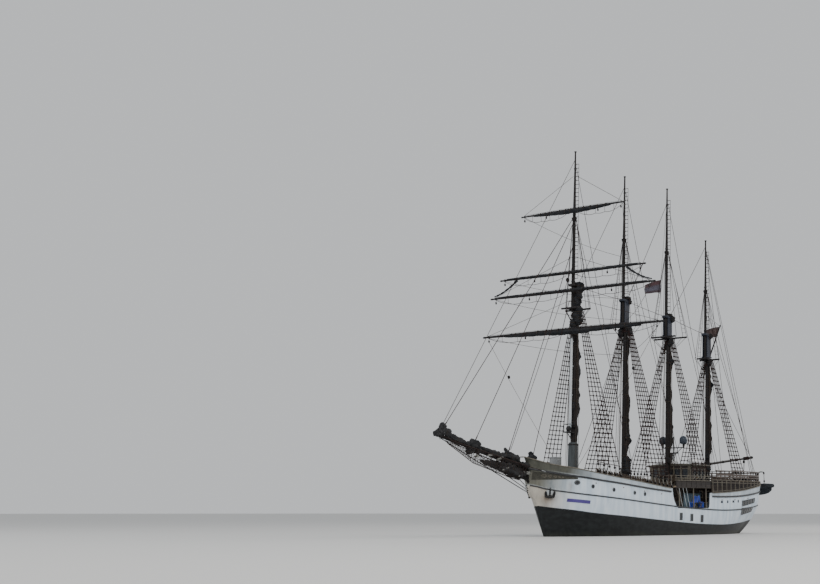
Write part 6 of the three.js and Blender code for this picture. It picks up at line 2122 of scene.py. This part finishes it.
def make_wheelhouse_roof():
    """The cambered roof with its edge boards and battens, and what stands on it: grab rails, lamp, horns,
    rafts."""
    fore, aft, eaves = -3.78, -6.85, WHEELHOUSE["top"]
    y = np.linspace(-2.5, 2.5, 21)
    crown = 6.64 - 0.11 * np.abs(y / 2.5) ** 2.2
    section = np.concatenate([np.stack([y, crown], 1), np.stack([y, crown - 0.08], 1)[::-1]])
    section[:, 1] = np.maximum(section[:, 1], eaves + 0.002)
    ring = np.stack([np.insert(section, 0, x, 1) for x in np.linspace(fore, aft, 14)])
    edge = [block(x, about(0, 2.52), (eaves, 6.555))
            for x in ((fore + 0.02, fore - 0.06), (aft + 0.05, aft - 0.02))]
    edge += both_sides(block((fore + 0.02, aft - 0.02), about(2.5, 0.03), (eaves, 6.56)))
    piece("wheelhouse_top", [solid(ring), *edge], ROOF_WOOD, replaces=("wheelhouse_roof",),
          bevel=0.012)
    batten = [(2.3, 6.60), (1.2, 6.66), (0, 6.68), (-1.2, 6.66), (-2.3, 6.60)]
    battens = [tube([(x, *spot) for spot in batten], 0.018, 6) for x in np.arange(-4.3, -6.8, -0.6)]
    piece("roof_battens", battens, RAIL_WOOD)
    grab = [tube([(-4.0, y, 6.56), (-4.0, y, 6.78), (-6.6, y, 6.78), (-6.6, y, 6.56)], 0.022)
            for y in (-2.1, 2.1)]
    grab += [bars((x, y, 6.56), (x, y, 6.78), 0.018) for x in (-4.9, -5.8) for y in (-2.1, 2.1)]
    piece("roof_grab_rails", grab, STEEL)
    parts = [lathe([(0.05, 6.6), (0.07, 6.62), (0.04, 6.66), (0.04, 6.82)], 16, (-4.15, -1.1, 0)),
             lying_lathe([(0.06, -0.16), (0.13, -0.1), (0.17, 0.08), (0.17, 0.12), (0.14, 0.12)], 20,
                         (-4.15, -1.1, 6.92))]
    horn = [(0.03, -0.25), (0.04, 0.0), (0.06, 0.12), (0.13, 0.24), (0.10, 0.24)]
    parts += [lying_lathe(horn, 16, (-4.1, y, 6.78)) for y in (0.42, 0.7)]
    parts += both_sides(canister(half=0.62, radius=0.3, place=(-6.05, 1.25, 6.93)))
    piece("roof_lamp_horns_and_rafts", parts, WHITE_PAINT)


def make_domes():
    """The pole over the wheelhouse with its crossbar, braces, scanner and the two round aerial domes."""
    x, ends = -4.58, (-1.2, 1.1)
    iron = [tube([(x, 0, 6.64), (x, 0, 7.5), (x, 0, 9.28)], [0.07, 0.06, 0.05], 14),
            bars((x, ends[0], 8.2), (x, ends[1], 8.2), 0.05, sides=12),
            bars([(x, -1.05, 8.2), (x, 0.95, 8.2)], (x, 0, 7.45), 0.03, sides=8),
            bars([(x, y, 8.15) for y in ends], [(x, y, 8.56) for y in ends], 0.07, 0.1, 12),
            ring_of((x, 0, 6.66), (0, 0, 1), 0.11, 0.025, 20),
            block(about(x + 0.35, 0.06), about(0, 0.75), (7.62, 7.74)),
            block((x, x + 0.4), about(0, 0.05), (7.48, 7.54)),
            bars((x + 0.35, 0, 7.54), (x + 0.35, 0, 7.62), 0.08, sides=14)]
    piece("aerial_pole", iron, IRON, bevel=0.01)
    profile = [(0.22, 0.0), (0.31, 0.06), (0.36, 0.2), (0.37, 0.38), (0.34, 0.54), (0.26, 0.67),
               (0.14, 0.75), (0.03, 0.78)]
    domes = [lathe(profile, 32, (x, y, 8.54)) for y in ends]
    domes += [ring_of((x, y, 8.72), (0, 0, 1), 0.357, 0.012, 32) for y in ends]
    piece("aerial_dome_shells", domes, DOME, replaces=("dome_pole",), sharp=60)


def make_deckhouse():
    """The long house under the bridge, with windows in its sides and its fore end, and a door frame
    between them."""
    walls = [block((-8.05, 1.4), about(0, 2.2), (2.96, 4.33))]
    piece("deckhouse_walls", walls, WALL_PLANKS, replaces=("deckhouse",), bevel=0.02)
    rows = [((x, side * 2.225, 0), (-side, 0, 0), (0, side, 0), 0.24)
            for side in (1, -1) for x in (0.7, -0.6, -1.9, -3.2, -5.6, -6.9)]
    side_panes, side_rims = all_windows(rows, 3.5, 4.05)
    end_panes, end_rims = all_windows([((1.425, y, 0), (0, 1, 0), (1, 0, 0), 0.3) for y in (-1.4, 1.4)],
                                      3.55, 4.05)
    panes = [(points + np.sign(points) * (0, 0.04, 0), faces) for points, faces in side_panes + end_panes]
    door_frame = [block((1.38, 1.45), about(0, 0.42), (3.2, 4.25)),
                  block((1.40, 1.47), about(0, 0.36), (3.24, 4.2))]
    piece("deckhouse_panes", panes, GLASS)
    piece("deckhouse_trim", [*side_rims, *end_rims, *door_frame], POST_WOOD, bevel=0.006)


def make_bridge():
    """The bridge deck with its side boards, posts and stanchions."""
    fore, aft, half = BRIDGE["fore"], BRIDGE["aft"], BRIDGE["half"]
    low, top, panel = BRIDGE["low"], BRIDGE["top"], BRIDGE["panel"]
    deck = [block((fore, aft), about(0, half), (low, top)),
            block((aft + 0.1, -8.15), about(0, 2.45), (low, top)),
            rings_on_mast(MASTS["mizzen"], [(4.36, 0.42), (4.6, 0.42), (4.66, 0.33), (4.66, 0.2)], 0, 24)]
    piece("bridge_planking", deck, DECK, replaces=("bridge_deck",), bevel=0.01)
    boards = [block((fore - 0.3, aft), (half + 0.01, half - 0.055), (4.36, 4.97)),
              block((fore, aft), about(half, 0.02), (4.30, 4.40))]
    boards += [block(about(x, 0.04), about(half + 0.02, 0.01), (4.38, 4.97))
               for x in np.arange(0.75, -5.0, -0.82)]
    piece("bridge_side_boards", both_sides(*boards), WALL_PLANKS, bevel=0.01)
    profile = [(0.09, 2.46), (0.09, 2.56), (0.055, 2.62), (0.06, 3.3), (0.05, 4.2), (0.08, 4.28),
               (0.08, 4.33)]
    posts = [lathe(profile, 16, (x, 3.6, 0)) for x in (0.2, -2.2, -4.35)]
    posts.append(block((fore - 0.25, aft - 0.04), (half - 0.12, half + 0.08), (4.97, 5.03)))
    x = np.arange(0.8, -4.9, -0.95)
    feet = np.stack([x, 0 * x + 3.68, 0 * x + panel], 1)
    posts.append(bars(feet, feet + 0.44 * UP, 0.03, sides=10))
    posts += [tube([(0.95, 3.68, z), (-4.9, 3.68, z)], 0.028) for z in (5.2, 5.42)]
    posts = both_sides(*posts)
    posts += [bars((fore - 0.06, y, top), (fore - 0.06, y, 5.4), 0.035, sides=10)
              for y in np.linspace(-3.4, 3.4, 9)]
    posts += [tube([(fore - 0.06, y, z) for y in (-3.5, 0, 3.5)], 0.03) for z in (4.8, 5.1, 5.4)]
    piece("bridge_stanchions", posts, POST_WOOD)
    make_side_passage()


def make_side_passage():
    """What shows through a side port: a ladder, raking stringers, a panelled locker and two folding
    chairs."""
    low, high = np.array((-0.75, 3.05, 2.5)), np.array((0.35, 3.05, 4.36))
    treads = low + np.linspace(0.1, 0.92, 7)[:, None] * (high - low)
    beside = np.array([(0, -0.3, 0), (0, 0.3, 0)])
    ladder = [beams(low + beside, high + beside, 0.04, 0.16),
              beams(treads - (0, 0.28, 0), treads + (0, 0.28, 0), 0.2, 0.035)]
    hand = 0.85 * UP
    for shift in (-0.32, 0.32):
        foot, head = low + (0, shift, 0), high + (0, shift, 0)
        ladder.append(tube([foot + hand * 0.3, foot + hand, head + hand * 0.9], 0.025))
    piece("side_port_ladders", both_sides(*ladder), TEAK, bevel=0.008)
    stringers = [bars((x - lean, 3.6, 2.36), (x + 0.05, 3.72, 4.32), 0.024, 0.02, 8)
                 for x, lean in ((0.35, 0.75), (-0.3, 0.8), (-0.85, 0.75))]
    piece("side_port_stringers", both_sides(*stringers), PALE_PAINT)
    panel = [block((-1.7, -4.55), (2.75, 2.82), (2.44, 3.75)),
             block((-1.68, -4.57), (2.72, 2.9), (3.75, 3.82))]
    panel += [block((x, x - 0.07), (2.82, 2.87), (2.44, 3.75)) for x in np.arange(-1.7, -4.6, -0.56)]
    piece("side_port_panels", both_sides(*panel), PANEL_PAINT, bevel=0.01)
    sticks = []
    for x, lean in CHAIRS:
        for y in (2.9, 3.4):
            for foot, head in (((-0.28, 2.47), (0.28, 2.98)), ((0.28, 2.47), (-0.28, 2.98)),
                               ((-lean * 0.25, 2.95), (-lean * 0.45, 3.55))):
                sticks.append(beams((x + foot[0], y, foot[1]), (x + head[0], y, head[1]), 0.04, 0.04))
    piece("folding_chair_frames", both_sides(*sticks), POST_WOOD)


def make_covers():
    """Blue canvas seats and backs of the folding chairs: each a thin sheet that sags between its two side
    bars."""
    share = np.linspace(0, 1, 18)
    lift = 0.012 * UP
    for side, label in ((1, "port"), (-1, "starboard")):
        for number, (x, lean) in enumerate(CHAIRS, 1):
            run = np.array([(0.3, 2.52), (0.28, 3.0), (-0.28, 3.04), (-0.45, 3.62)]) * (lean, 1) + (x, 0)
            at = np.linspace(0, 3, 30)
            place_x, place_z = (np.interp(at, np.arange(4), values)[:, None] for values in run.T)
            y = side * (2.92 + 0.62 * share)
            grid = np.stack(np.broadcast_arrays(place_x, y, place_z - 0.05 * np.sin(np.pi * share)), -1)
            part = solid(np.concatenate([grid + lift, grid[:, ::-1] - lift], 1))
            cover = piece(f"chair_cover_{label}_{number}", [part], BLUE_COVER, sharp=180)


def poop_line(inset_by, first=POOP["fore"]):
    """The poop's edge on the port side from its break to the stern, and its outward directions."""
    x = np.concatenate([[first], RAIL_X[RAIL_X < first]])
    path = np.stack([x, rail_half(x) - 0.04, 0 * x], 1)
    out = plan_out(path)
    path = path - out * inset_by
    path[0, 0] = first
    path[:, 1] = np.maximum(path[:, 1], 0.02)
    return path, out


def length_along(path):
    """How far each point of a path is from its start, along it."""
    return np.concatenate([[0], np.cumsum(np.linalg.norm(np.diff(path, axis=0), axis=1))])


def at_lengths(lengths, run, values):
    """Rows of values at lengths along a path."""
    return np.stack([np.interp(lengths, run, column) for column in values.T], 1)


def make_poop():
    """The poop's planked deck, and the panelled fascia under its edge from the bridge to the stern."""
    edge, _ = poop_line(0.0)
    top = POOP["top"]
    deck = np.concatenate([edge[:, None] * (1, share, 1) for share in np.linspace(1, -1, 13)], 1)
    deck = deck + (0, 0, top)
    slab = solid(np.concatenate([deck, (deck - (0, 0, 0.1))[:, ::-1]], 1))
    piece("poop_planking", [slab], DECK, replaces=("poop_deck",), bevel=0.01)
    edge, out = (values[:-1] for values in poop_line(0.0, POOP["fence"]))
    foot = edge + (cap_z(edge[:, 0]) + 0.02)[:, None] * UP
    head = edge + UP * (top - 0.03)
    skirt = solid(np.stack([foot - out * 0.02, head - out * 0.02, head - out * 0.12, foot - out * 0.12], 1))
    bulkhead = block((POOP["fore"], POOP["fore"] - 0.1), about(0, 3.4), (3.3, top - 0.05))
    piece("poop_fascia", [*both_sides(skirt), bulkhead], WALL_PLANKS)
    cap = np.array([(-0.16, 0.0), (-0.16, -0.05), (0.05, -0.05), (0.07, -0.025), (0.05, 0.0)])
    piece("poop_edge_trim", both_sides(moulding(head + UP * 0.04, out, cap)), POST_WOOD)
    run = length_along(edge)
    places = np.arange(0.1, run[-1] - 0.2, 0.17)
    thick = np.where(np.arange(len(places)) % 5 == 0, 0.1, 0.045)
    uprights = []
    for wide in (0.045, 0.1):
        spots = at_lengths(places[thick == wide], run, edge)
        base = cap_z(spots[:, 0]) + 0.03
        roomy = top - 0.06 - base > 0.1
        spots, base = spots[roomy], base[roomy]
        uprights.append(beams(spots + base[:, None] * UP, spots + (top - 0.06) * UP, wide, 0.06, (1, 0, 0)))
    ledges = [tube(line + out * 0.01 + UP * up, 0.028, 6) for line, up in ((foot, 0.1), (head, -0.22))]
    piece("poop_fascia_balusters", both_sides(uprights[0]), WALL_PLANKS)
    piece("poop_fascia_posts", both_sides(uprights[1], *ledges), POST_WOOD)


def make_poop_rail():
    """The turned posts and three rails round the poop, and across its fore end."""
    path, out = poop_line(0.12, -6.2)
    top, rail = POOP["top"], POOP["rail"]
    run = length_along(path)
    feet = at_lengths(np.arange(0.05, run[-1], 0.78), run, path) + (0, 0, top)
    profile = [(0.06, 0.0), (0.06, 0.04), (0.03, 0.08), (0.045, 0.3), (0.03, 0.46), (0.045, 0.5),
               (0.03, 0.55), (0.04, 0.75), (0.035, 0.88)]
    posts = [lathe(profile, 10, foot) for foot in feet]
    section = np.array([(-0.10, -0.05), (0.08, -0.05), (0.10, -0.02), (0.10, 0.02), (0.08, 0.05),
                        (-0.08, 0.05), (-0.10, 0.02)])
    mid = np.array([(-0.03, -0.09), (0.03, -0.09), (0.035, 0.0), (0.03, 0.09), (-0.03, 0.09), (-0.035, 0.0)])
    path = np.concatenate([path, path[-1:] * (1, 0, 1)])
    out = unit(np.concatenate([out, out[-1:] * (1, 0, 1) + (-0.5, 0, 0)]))
    rails = [moulding(path + (0, 0, z), out, profile)
             for z, profile in ((rail, section), (top + 0.5, mid), (top + 0.26, mid * 0.7))]
    fore = POOP["fore"] - 0.1
    front = [beams((fore, -3.5, z), (fore, 3.5, z), 0.1, 0.06) for z in (rail, top + 0.5)]
    front += [lathe(profile, 10, (fore, y, top)) for y in np.linspace(-2.9, 2.9, 7)]
    piece("poop_rail_bars", [*both_sides(*posts, *rails), *front], TEAK, replaces=("poop_rail",))


def make_poop_fittings():
    """The skylight, binnacle, after wheel and the raft canisters in their cradles."""
    stand = [(0.17, 5.1), (0.17, 5.16), (0.1, 5.25), (0.09, 5.75), (0.16, 5.82), (0.16, 5.95), (0.1, 6.05),
             (0.02, 6.08)]
    furniture = [*framed_box((-13.4, -12.2), (-0.55, 0.55), (5.1, 5.55)), lathe(stand, 20, (-15.3, 0, 0))]
    piece("poop_skylight_and_binnacle", furniture, TEAK, bevel=0.01)
    wheel = ship_wheel(np.array((-15.75, 0.0, 5.85)), rim=0.42, thick=0.03, spoke=(0.5, 0.02),
                       axle=(0.06, 0.3, 0.06), sides=32)
    piece("after_wheel", [*wheel, block((-15.45, -15.65), about(0, 0.2), (5.1, 5.95))], TEAK)
    places = (-11.9, -13.3)
    piece("raft_canisters",
          both_sides(*(canister(half=0.6, radius=0.29, place=(x, 2.35, 5.5)) for x in places)), WHITE_PAINT)
    cradles = [block(about(x + shift, 0.04), about(2.35, 0.28), (5.11, 5.3)) for x in places
               for shift in (-0.35, 0.35)]
    piece("raft_cradles", both_sides(*cradles), IRON, bevel=0.01)


def make_tender():
    """A rigid inflatable: two side tubes that meet at its bow, over a hull with a V-shaped bottom."""
    middle, stern, long = -18.66, -2.58, 5.1
    share = np.linspace(0, 1, 40)
    y = stern + long * share
    spread = 0.27 * np.clip((1 - share) / 0.28, 0, 1) ** 0.6
    height = 4.65 + 0.1 * share**3
    radius = np.interp(share, (0, 0.03, 0.1, 0.85, 1), (0.12, 0.24, 0.29, 0.27, 0.18))
    dip = height + 0.02 - 0.05 * np.abs(np.sin(share * 22))
    tubes = [tube(np.stack([middle + side * spread, y, height], 1), radius, 18) for side in (-1, 1)]
    ropes = [tube(np.stack([middle + side * (spread + 0.27), y, dip], 1)[2:-3], 0.014, 6) for side in (-1, 1)]
    piece("tender_tubes", tubes, RUBBER, replaces=("tender",), sharp=70)
    share = np.linspace(0.02, 0.97, 30)[:, None]
    half = 0.33 * np.clip((1 - share) / 0.35, 0.03, 1) ** 0.7
    keel = 3.72 + 0.25 * share**3 + 0.5 * share**14
    out, up = np.array([(-1, 1), (-0.98, 0.75), (-0.6, 0.25), (0, 0), (0.6, 0.25), (0.98, 0.75), (1, 1)]).T
    ring = np.stack(np.broadcast_arrays(middle + half * out, stern + long * share,
                                        keel + (4.66 - keel) * up), -1)
    piece("tender_hull", [solid(ring)], RUBBER, sharp=70)
    piece("tender_lifelines", ropes, HEMP)
    boxes = [((-18.9, -18.42), (-0.9, -0.55), (4.6, 4.86)), ((-18.9, -18.42), (0.5, 0.85), (4.6, 4.86)),
             ((-18.82, -18.5), (-2.6, -2.32), (4.62, 4.95)), ((-18.7, -18.62), (-2.6, -2.45), (4.1, 4.62))]
    piece("tender_seats_and_motor", [block(*box) for box in boxes], SLATE_PAINT, bevel=0.03)


def make_davits():
    """Two curved davits with the falls, blocks and slings that the tender hangs from."""
    arms, falls, blocks = [], [], []
    bend = np.array([(-17.25, 5.11), (-17.26, 5.5), (-17.33, 5.85), (-17.6, 6.05), (-18.1, 6.13),
                     (-18.66, 6.1)])
    at = np.linspace(0, len(bend) - 1, 30)
    x, z = (eased(np.stack([np.arange(len(bend)), values], 1), at) for values in bend.T)
    shell = ball((0, 0, 0), 0.09, 12, 1.3)
    for y in (-1.55, 1.55):
        arms.append(tube(np.stack([x, 0 * x + y, z], 1), np.linspace(0.075, 0.05, 30), 14))
        arms.append(lathe([(0.14, 5.11), (0.14, 5.17), (0.08, 5.22)], 16, (-17.25, y, 0)))
        tops = [(-18.62, y - 0.04, 6.08), (-18.62, y + 0.04, 6.08)]
        falls.append(bars(tops, [(-18.66, y - 0.03, 5.2), (-18.66, y + 0.03, 5.2)], 0.014))
        falls.append(bars((-18.66, y, 5.2), [(-18.9, y, 4.75), (-18.42, y, 4.75)], 0.016))
        blocks += [moved(shell, (-18.64, y, 6.0)), moved(shell, (-18.66, y, 5.2))]
    arms.append(bars((-17.27, -1.6, 5.3), (-17.27, 1.6, 5.3), 0.045, sides=12))
    piece("davit_arms", arms, IRON, replaces=("stern_davits",))
    piece("davit_falls", falls, HEMP)
    piece("davit_blocks", blocks, SPAR_WOOD)


def make_steering():
    """The rudder, a slab thickest ahead of its middle, on its stock."""
    fore, aft = -14.44, -15.75
    z = np.linspace(-2.98, -0.75, 24)[:, None]
    edge = np.interp(z, (-2.98, -1.6, -0.75), (aft, aft, -15.5))
    share = np.linspace(0, 1, 14)
    thick = 0.1 * np.sqrt(np.clip(1 - (2 * share - 0.5) ** 2 / 2.4, 0.03, 1)) * (1 - 0.75 * share)
    thick[0] = 0.01
    port = np.stack(np.broadcast_arrays(fore + share * (edge - fore), thick, z), -1)
    blade = solid(np.concatenate([port, port[:, ::-1] * (1, -1, 1)], 1))
    stock = tube([(-14.6, 0, -1.2), (-14.6, 0, 0.0), (-14.6, 0, 1.2)], 0.1, 20)
    piece("rudder_blade", [blade, stock], BLACK_PAINT, "rudder", replaces=("rudder",))
    straps = [block((-14.5, -15.55), about(0, 0.105), about(height, 0.05)) for height in (-2.5, -1.3)]
    piece("rudder_straps", straps, BRONZE, "rudder", bevel=0.01)
    make_propeller()


def make_propeller():
    """Three blades round a hub: each is a lens-shaped section as wide as its chord, turned by its pitch
    angle, both of which change with the distance from the shaft."""
    place = (-13.42, 0, -1.75)
    radius = np.linspace(0.08, 0.61, 16)[:, None]
    chord = np.interp(radius, (0.08, 0.34, 0.5, 0.61), (0.12, 0.23, 0.19, 0.04))
    pitch = np.interp(radius, (0.08, 0.34, 0.54, 0.61), (0.9, 0.6, 0.42, 0.36))
    spread = np.linspace(-1, 1, 12)
    along = spread * chord
    half_thick = 0.022 * (1 - spread**2) * np.interp(radius, (0.08, 0.61), (1.4, 0.5)) + 0.003
    faces = []
    for sign in (1, -1):
        x = along * np.sin(pitch) + sign * half_thick * np.cos(pitch)
        y = along * np.cos(pitch) - sign * half_thick * np.sin(pitch)
        faces.append(np.stack(np.broadcast_arrays(x, y, radius), -1))
    blade = solid(np.concatenate([faces[0], faces[1][:, ::-1]], 1))
    hub = lathe([(0.03, -0.26), (0.09, -0.2), (0.13, -0.06), (0.13, 0.17)], 24)
    parts = [placed(hub, place, (0, 1, 0), (0, 0, 1), (1, 0, 0))]
    for angle in 2 * np.pi * np.arange(3) / 3:
        turned = (0, math.cos(angle), math.sin(angle)), (0, -math.sin(angle), math.cos(angle))
        parts.append(placed(blade, place, (1, 0, 0), *turned))
    piece("propeller_blades", parts, BRONZE, "propeller", replaces=("propeller",))


def coil(centre, radius, turns):
    """A hank of rope hung on a pin: flat loops side by side, long and narrow."""
    angle = np.linspace(0, 2 * np.pi * turns, 22 * turns)
    shift = np.linspace(-0.06, 0.06, len(angle))
    path = np.stack([radius * 0.55 * np.cos(angle) + shift, 0.03 * np.sin(angle * 0.5),
                     radius * 1.5 * np.sin(angle)], 1)
    return tube(np.asarray(centre) + path, 0.022, 5)


def make_pin_rails():
    """Pin rails inside the bulwarks and beside the masts, with their belaying pins and hanks of rope."""
    boards, pins, hanks = [], [], []

    def add_pins(feet, heads, swung_out, radii, turns, drop, step):
        pins.append(bars(feet, heads, 0.022, 0.032, 8))
        for k, head in enumerate(heads):
            hanks.append(coil(head + swung_out + (0, 0, step * (k % 3) - drop), radii[k % 2], turns))

    for name, mast in MASTS.items():
        base = mast["step"] if name != "mizzen" else 4.66
        middle = float(on_mast(mast, base)[0])
        x = np.linspace(middle - 0.5, middle + 0.5, 5)
        for side in (-1, 1):
            y = side * 0.62
            boards.append(block(about(middle, 0.75), about(y, 0.06), (base + 0.72, base + 0.82)))
            boards += [block(about(middle + shift, 0.06), about(y, 0.06), (base, base + 0.95))
                       for shift in (-0.7, 0.7)]
            feet = np.stack([x, 0 * x + y, 0 * x + base + 0.58], 1)
            add_pins(feet, feet + 0.44 * UP, (0, side * 0.1, 0), radii=(0.15, 0.18), turns=6, drop=0.47,
                     step=0.06)
    for x in (np.arange(4.9, 12.3, 0.36), np.arange(1.5, 4.6, 0.36)):
        for side in (-1, 1):
            line = np.stack([x, side * (rail_half(x) - 0.28), cap_z(x) + 0.16], 1)
            boards.append(beams(line[:-1], line[1:], 0.14, 0.06))
            boards.append(beams(line[::4] - (0, 0, 0.3), line[::4], 0.07, 0.09, (1, 0, 0)))
            add_pins(line - 0.16 * UP, line + 0.24 * UP, (0, side * 0.05, 0), radii=(0.15, 0.15), turns=4,
                     drop=0.32, step=0.03)
    piece("fife_and_pin_rails", boards, TEAK, bevel=0.01)
    piece("belaying_pins", pins, TEAK)
    piece("rope_hanks", hanks, HEMP)


def make_deck_gear():
    """Pin rails, hatches under peaked tops, and cowl vents."""
    make_pin_rails()
    hatches, tops = [], []
    for x, half_x, half_y in ((8.6, 0.9, 0.8), (6.3, 0.7, 0.7), (1.9, 0.35, 0.6)):
        z = float(deck_z(x))
        wide = half_y + 0.05
        hatches.append(block(about(x, half_x), about(0, half_y), (z - 0.05, z + 0.42)))
        lid = np.array([(-wide, 0.42), (wide, 0.42), (wide, 0.5), (0, 0.66), (-wide, 0.5)]) + (0, z)
        tops.append(solid(np.stack([np.insert(lid, 0, end, 1) for end in about(x, half_x + 0.05)])))
    piece("hatch_coamings", hatches, WHITE_PAINT, bevel=0.02)
    piece("hatch_tops", tops, TEAK, bevel=0.015)
    cowls = []
    for x, y, z, tall in ((13.2, 1.3, 4.7, 1.0), (13.2, -1.3, 4.7, 1.0), (5.2, 1.6, 3.65, 1.05),
                          (5.2, -1.6, 3.65, 1.05)):
        bend = [(0, 0), (0, 0.7), (0.03, 0.88), (0.13, 1.0), (0.28, 1.03)]
        path = [(x + ahead, y, z + tall * up) for ahead, up in bend]
        cowls.append(tube(path, [0.12, 0.12, 0.14, 0.19, 0.24], 18))
    piece("cowl_vents", cowls, WHITE_PAINT, sharp=60)


make_wheelhouse()
make_wheelhouse_roof()
make_domes()
make_deckhouse()
make_bridge()
make_covers()
make_poop()
make_poop_rail()
make_poop_fittings()
make_tender()
make_davits()
make_steering()
make_deck_gear()


# The studio: a pale floor at the waterline, a soft sky and large soft lights.

LIGHTS = (
    # name, place, size, power, colour
    ("key", (40, 55, 42), 30, 26000, (1.0, 0.97, 0.93)),
    ("fill", (60, -30, 25), 35, 9000, (0.93, 0.96, 1.0)),
    ("back", (-55, 20, 35), 30, 12000, (1.0, 0.95, 0.9)),
)


def make_stage():
    """A pale floor at the waterline, a soft sky, and three large soft lights that look at the ship."""
    reach = 900.0
    corners = [(-reach, -reach, 0), (reach, -reach, 0), (reach, reach, 0), (-reach, reach, 0)]
    mesh = bpy.data.meshes.new("water_level_floor")
    mesh.from_pydata(corners, [], [(0, 1, 2, 3)])
    floor = new_object("water_level_floor", mesh)
    mesh.materials.append(finish("studio_floor", (0.62, 0.62, 0.61), roughness=0.6)[0])
    world = bpy.data.worlds.new("studio")
    world.use_nodes = True
    background = world.node_tree.nodes["Background"]
    background.inputs[0].default_value = (0.86, 0.88, 0.90, 1)
    background.inputs[1].default_value = 0.75
    bpy.context.scene.world = world
    for name, place, size, power, colour in LIGHTS:
        data = bpy.data.lights.new(name, "AREA")
        data.shape = "DISK"
        data.size = size
        data.energy = power
        data.color = colour
        light = new_object(name, data)
        light.location = place
        light.rotation_euler = (Vector((0, 0, 5)) - Vector(place)).to_track_quat("-Z", "Y").to_euler()


make_stage()
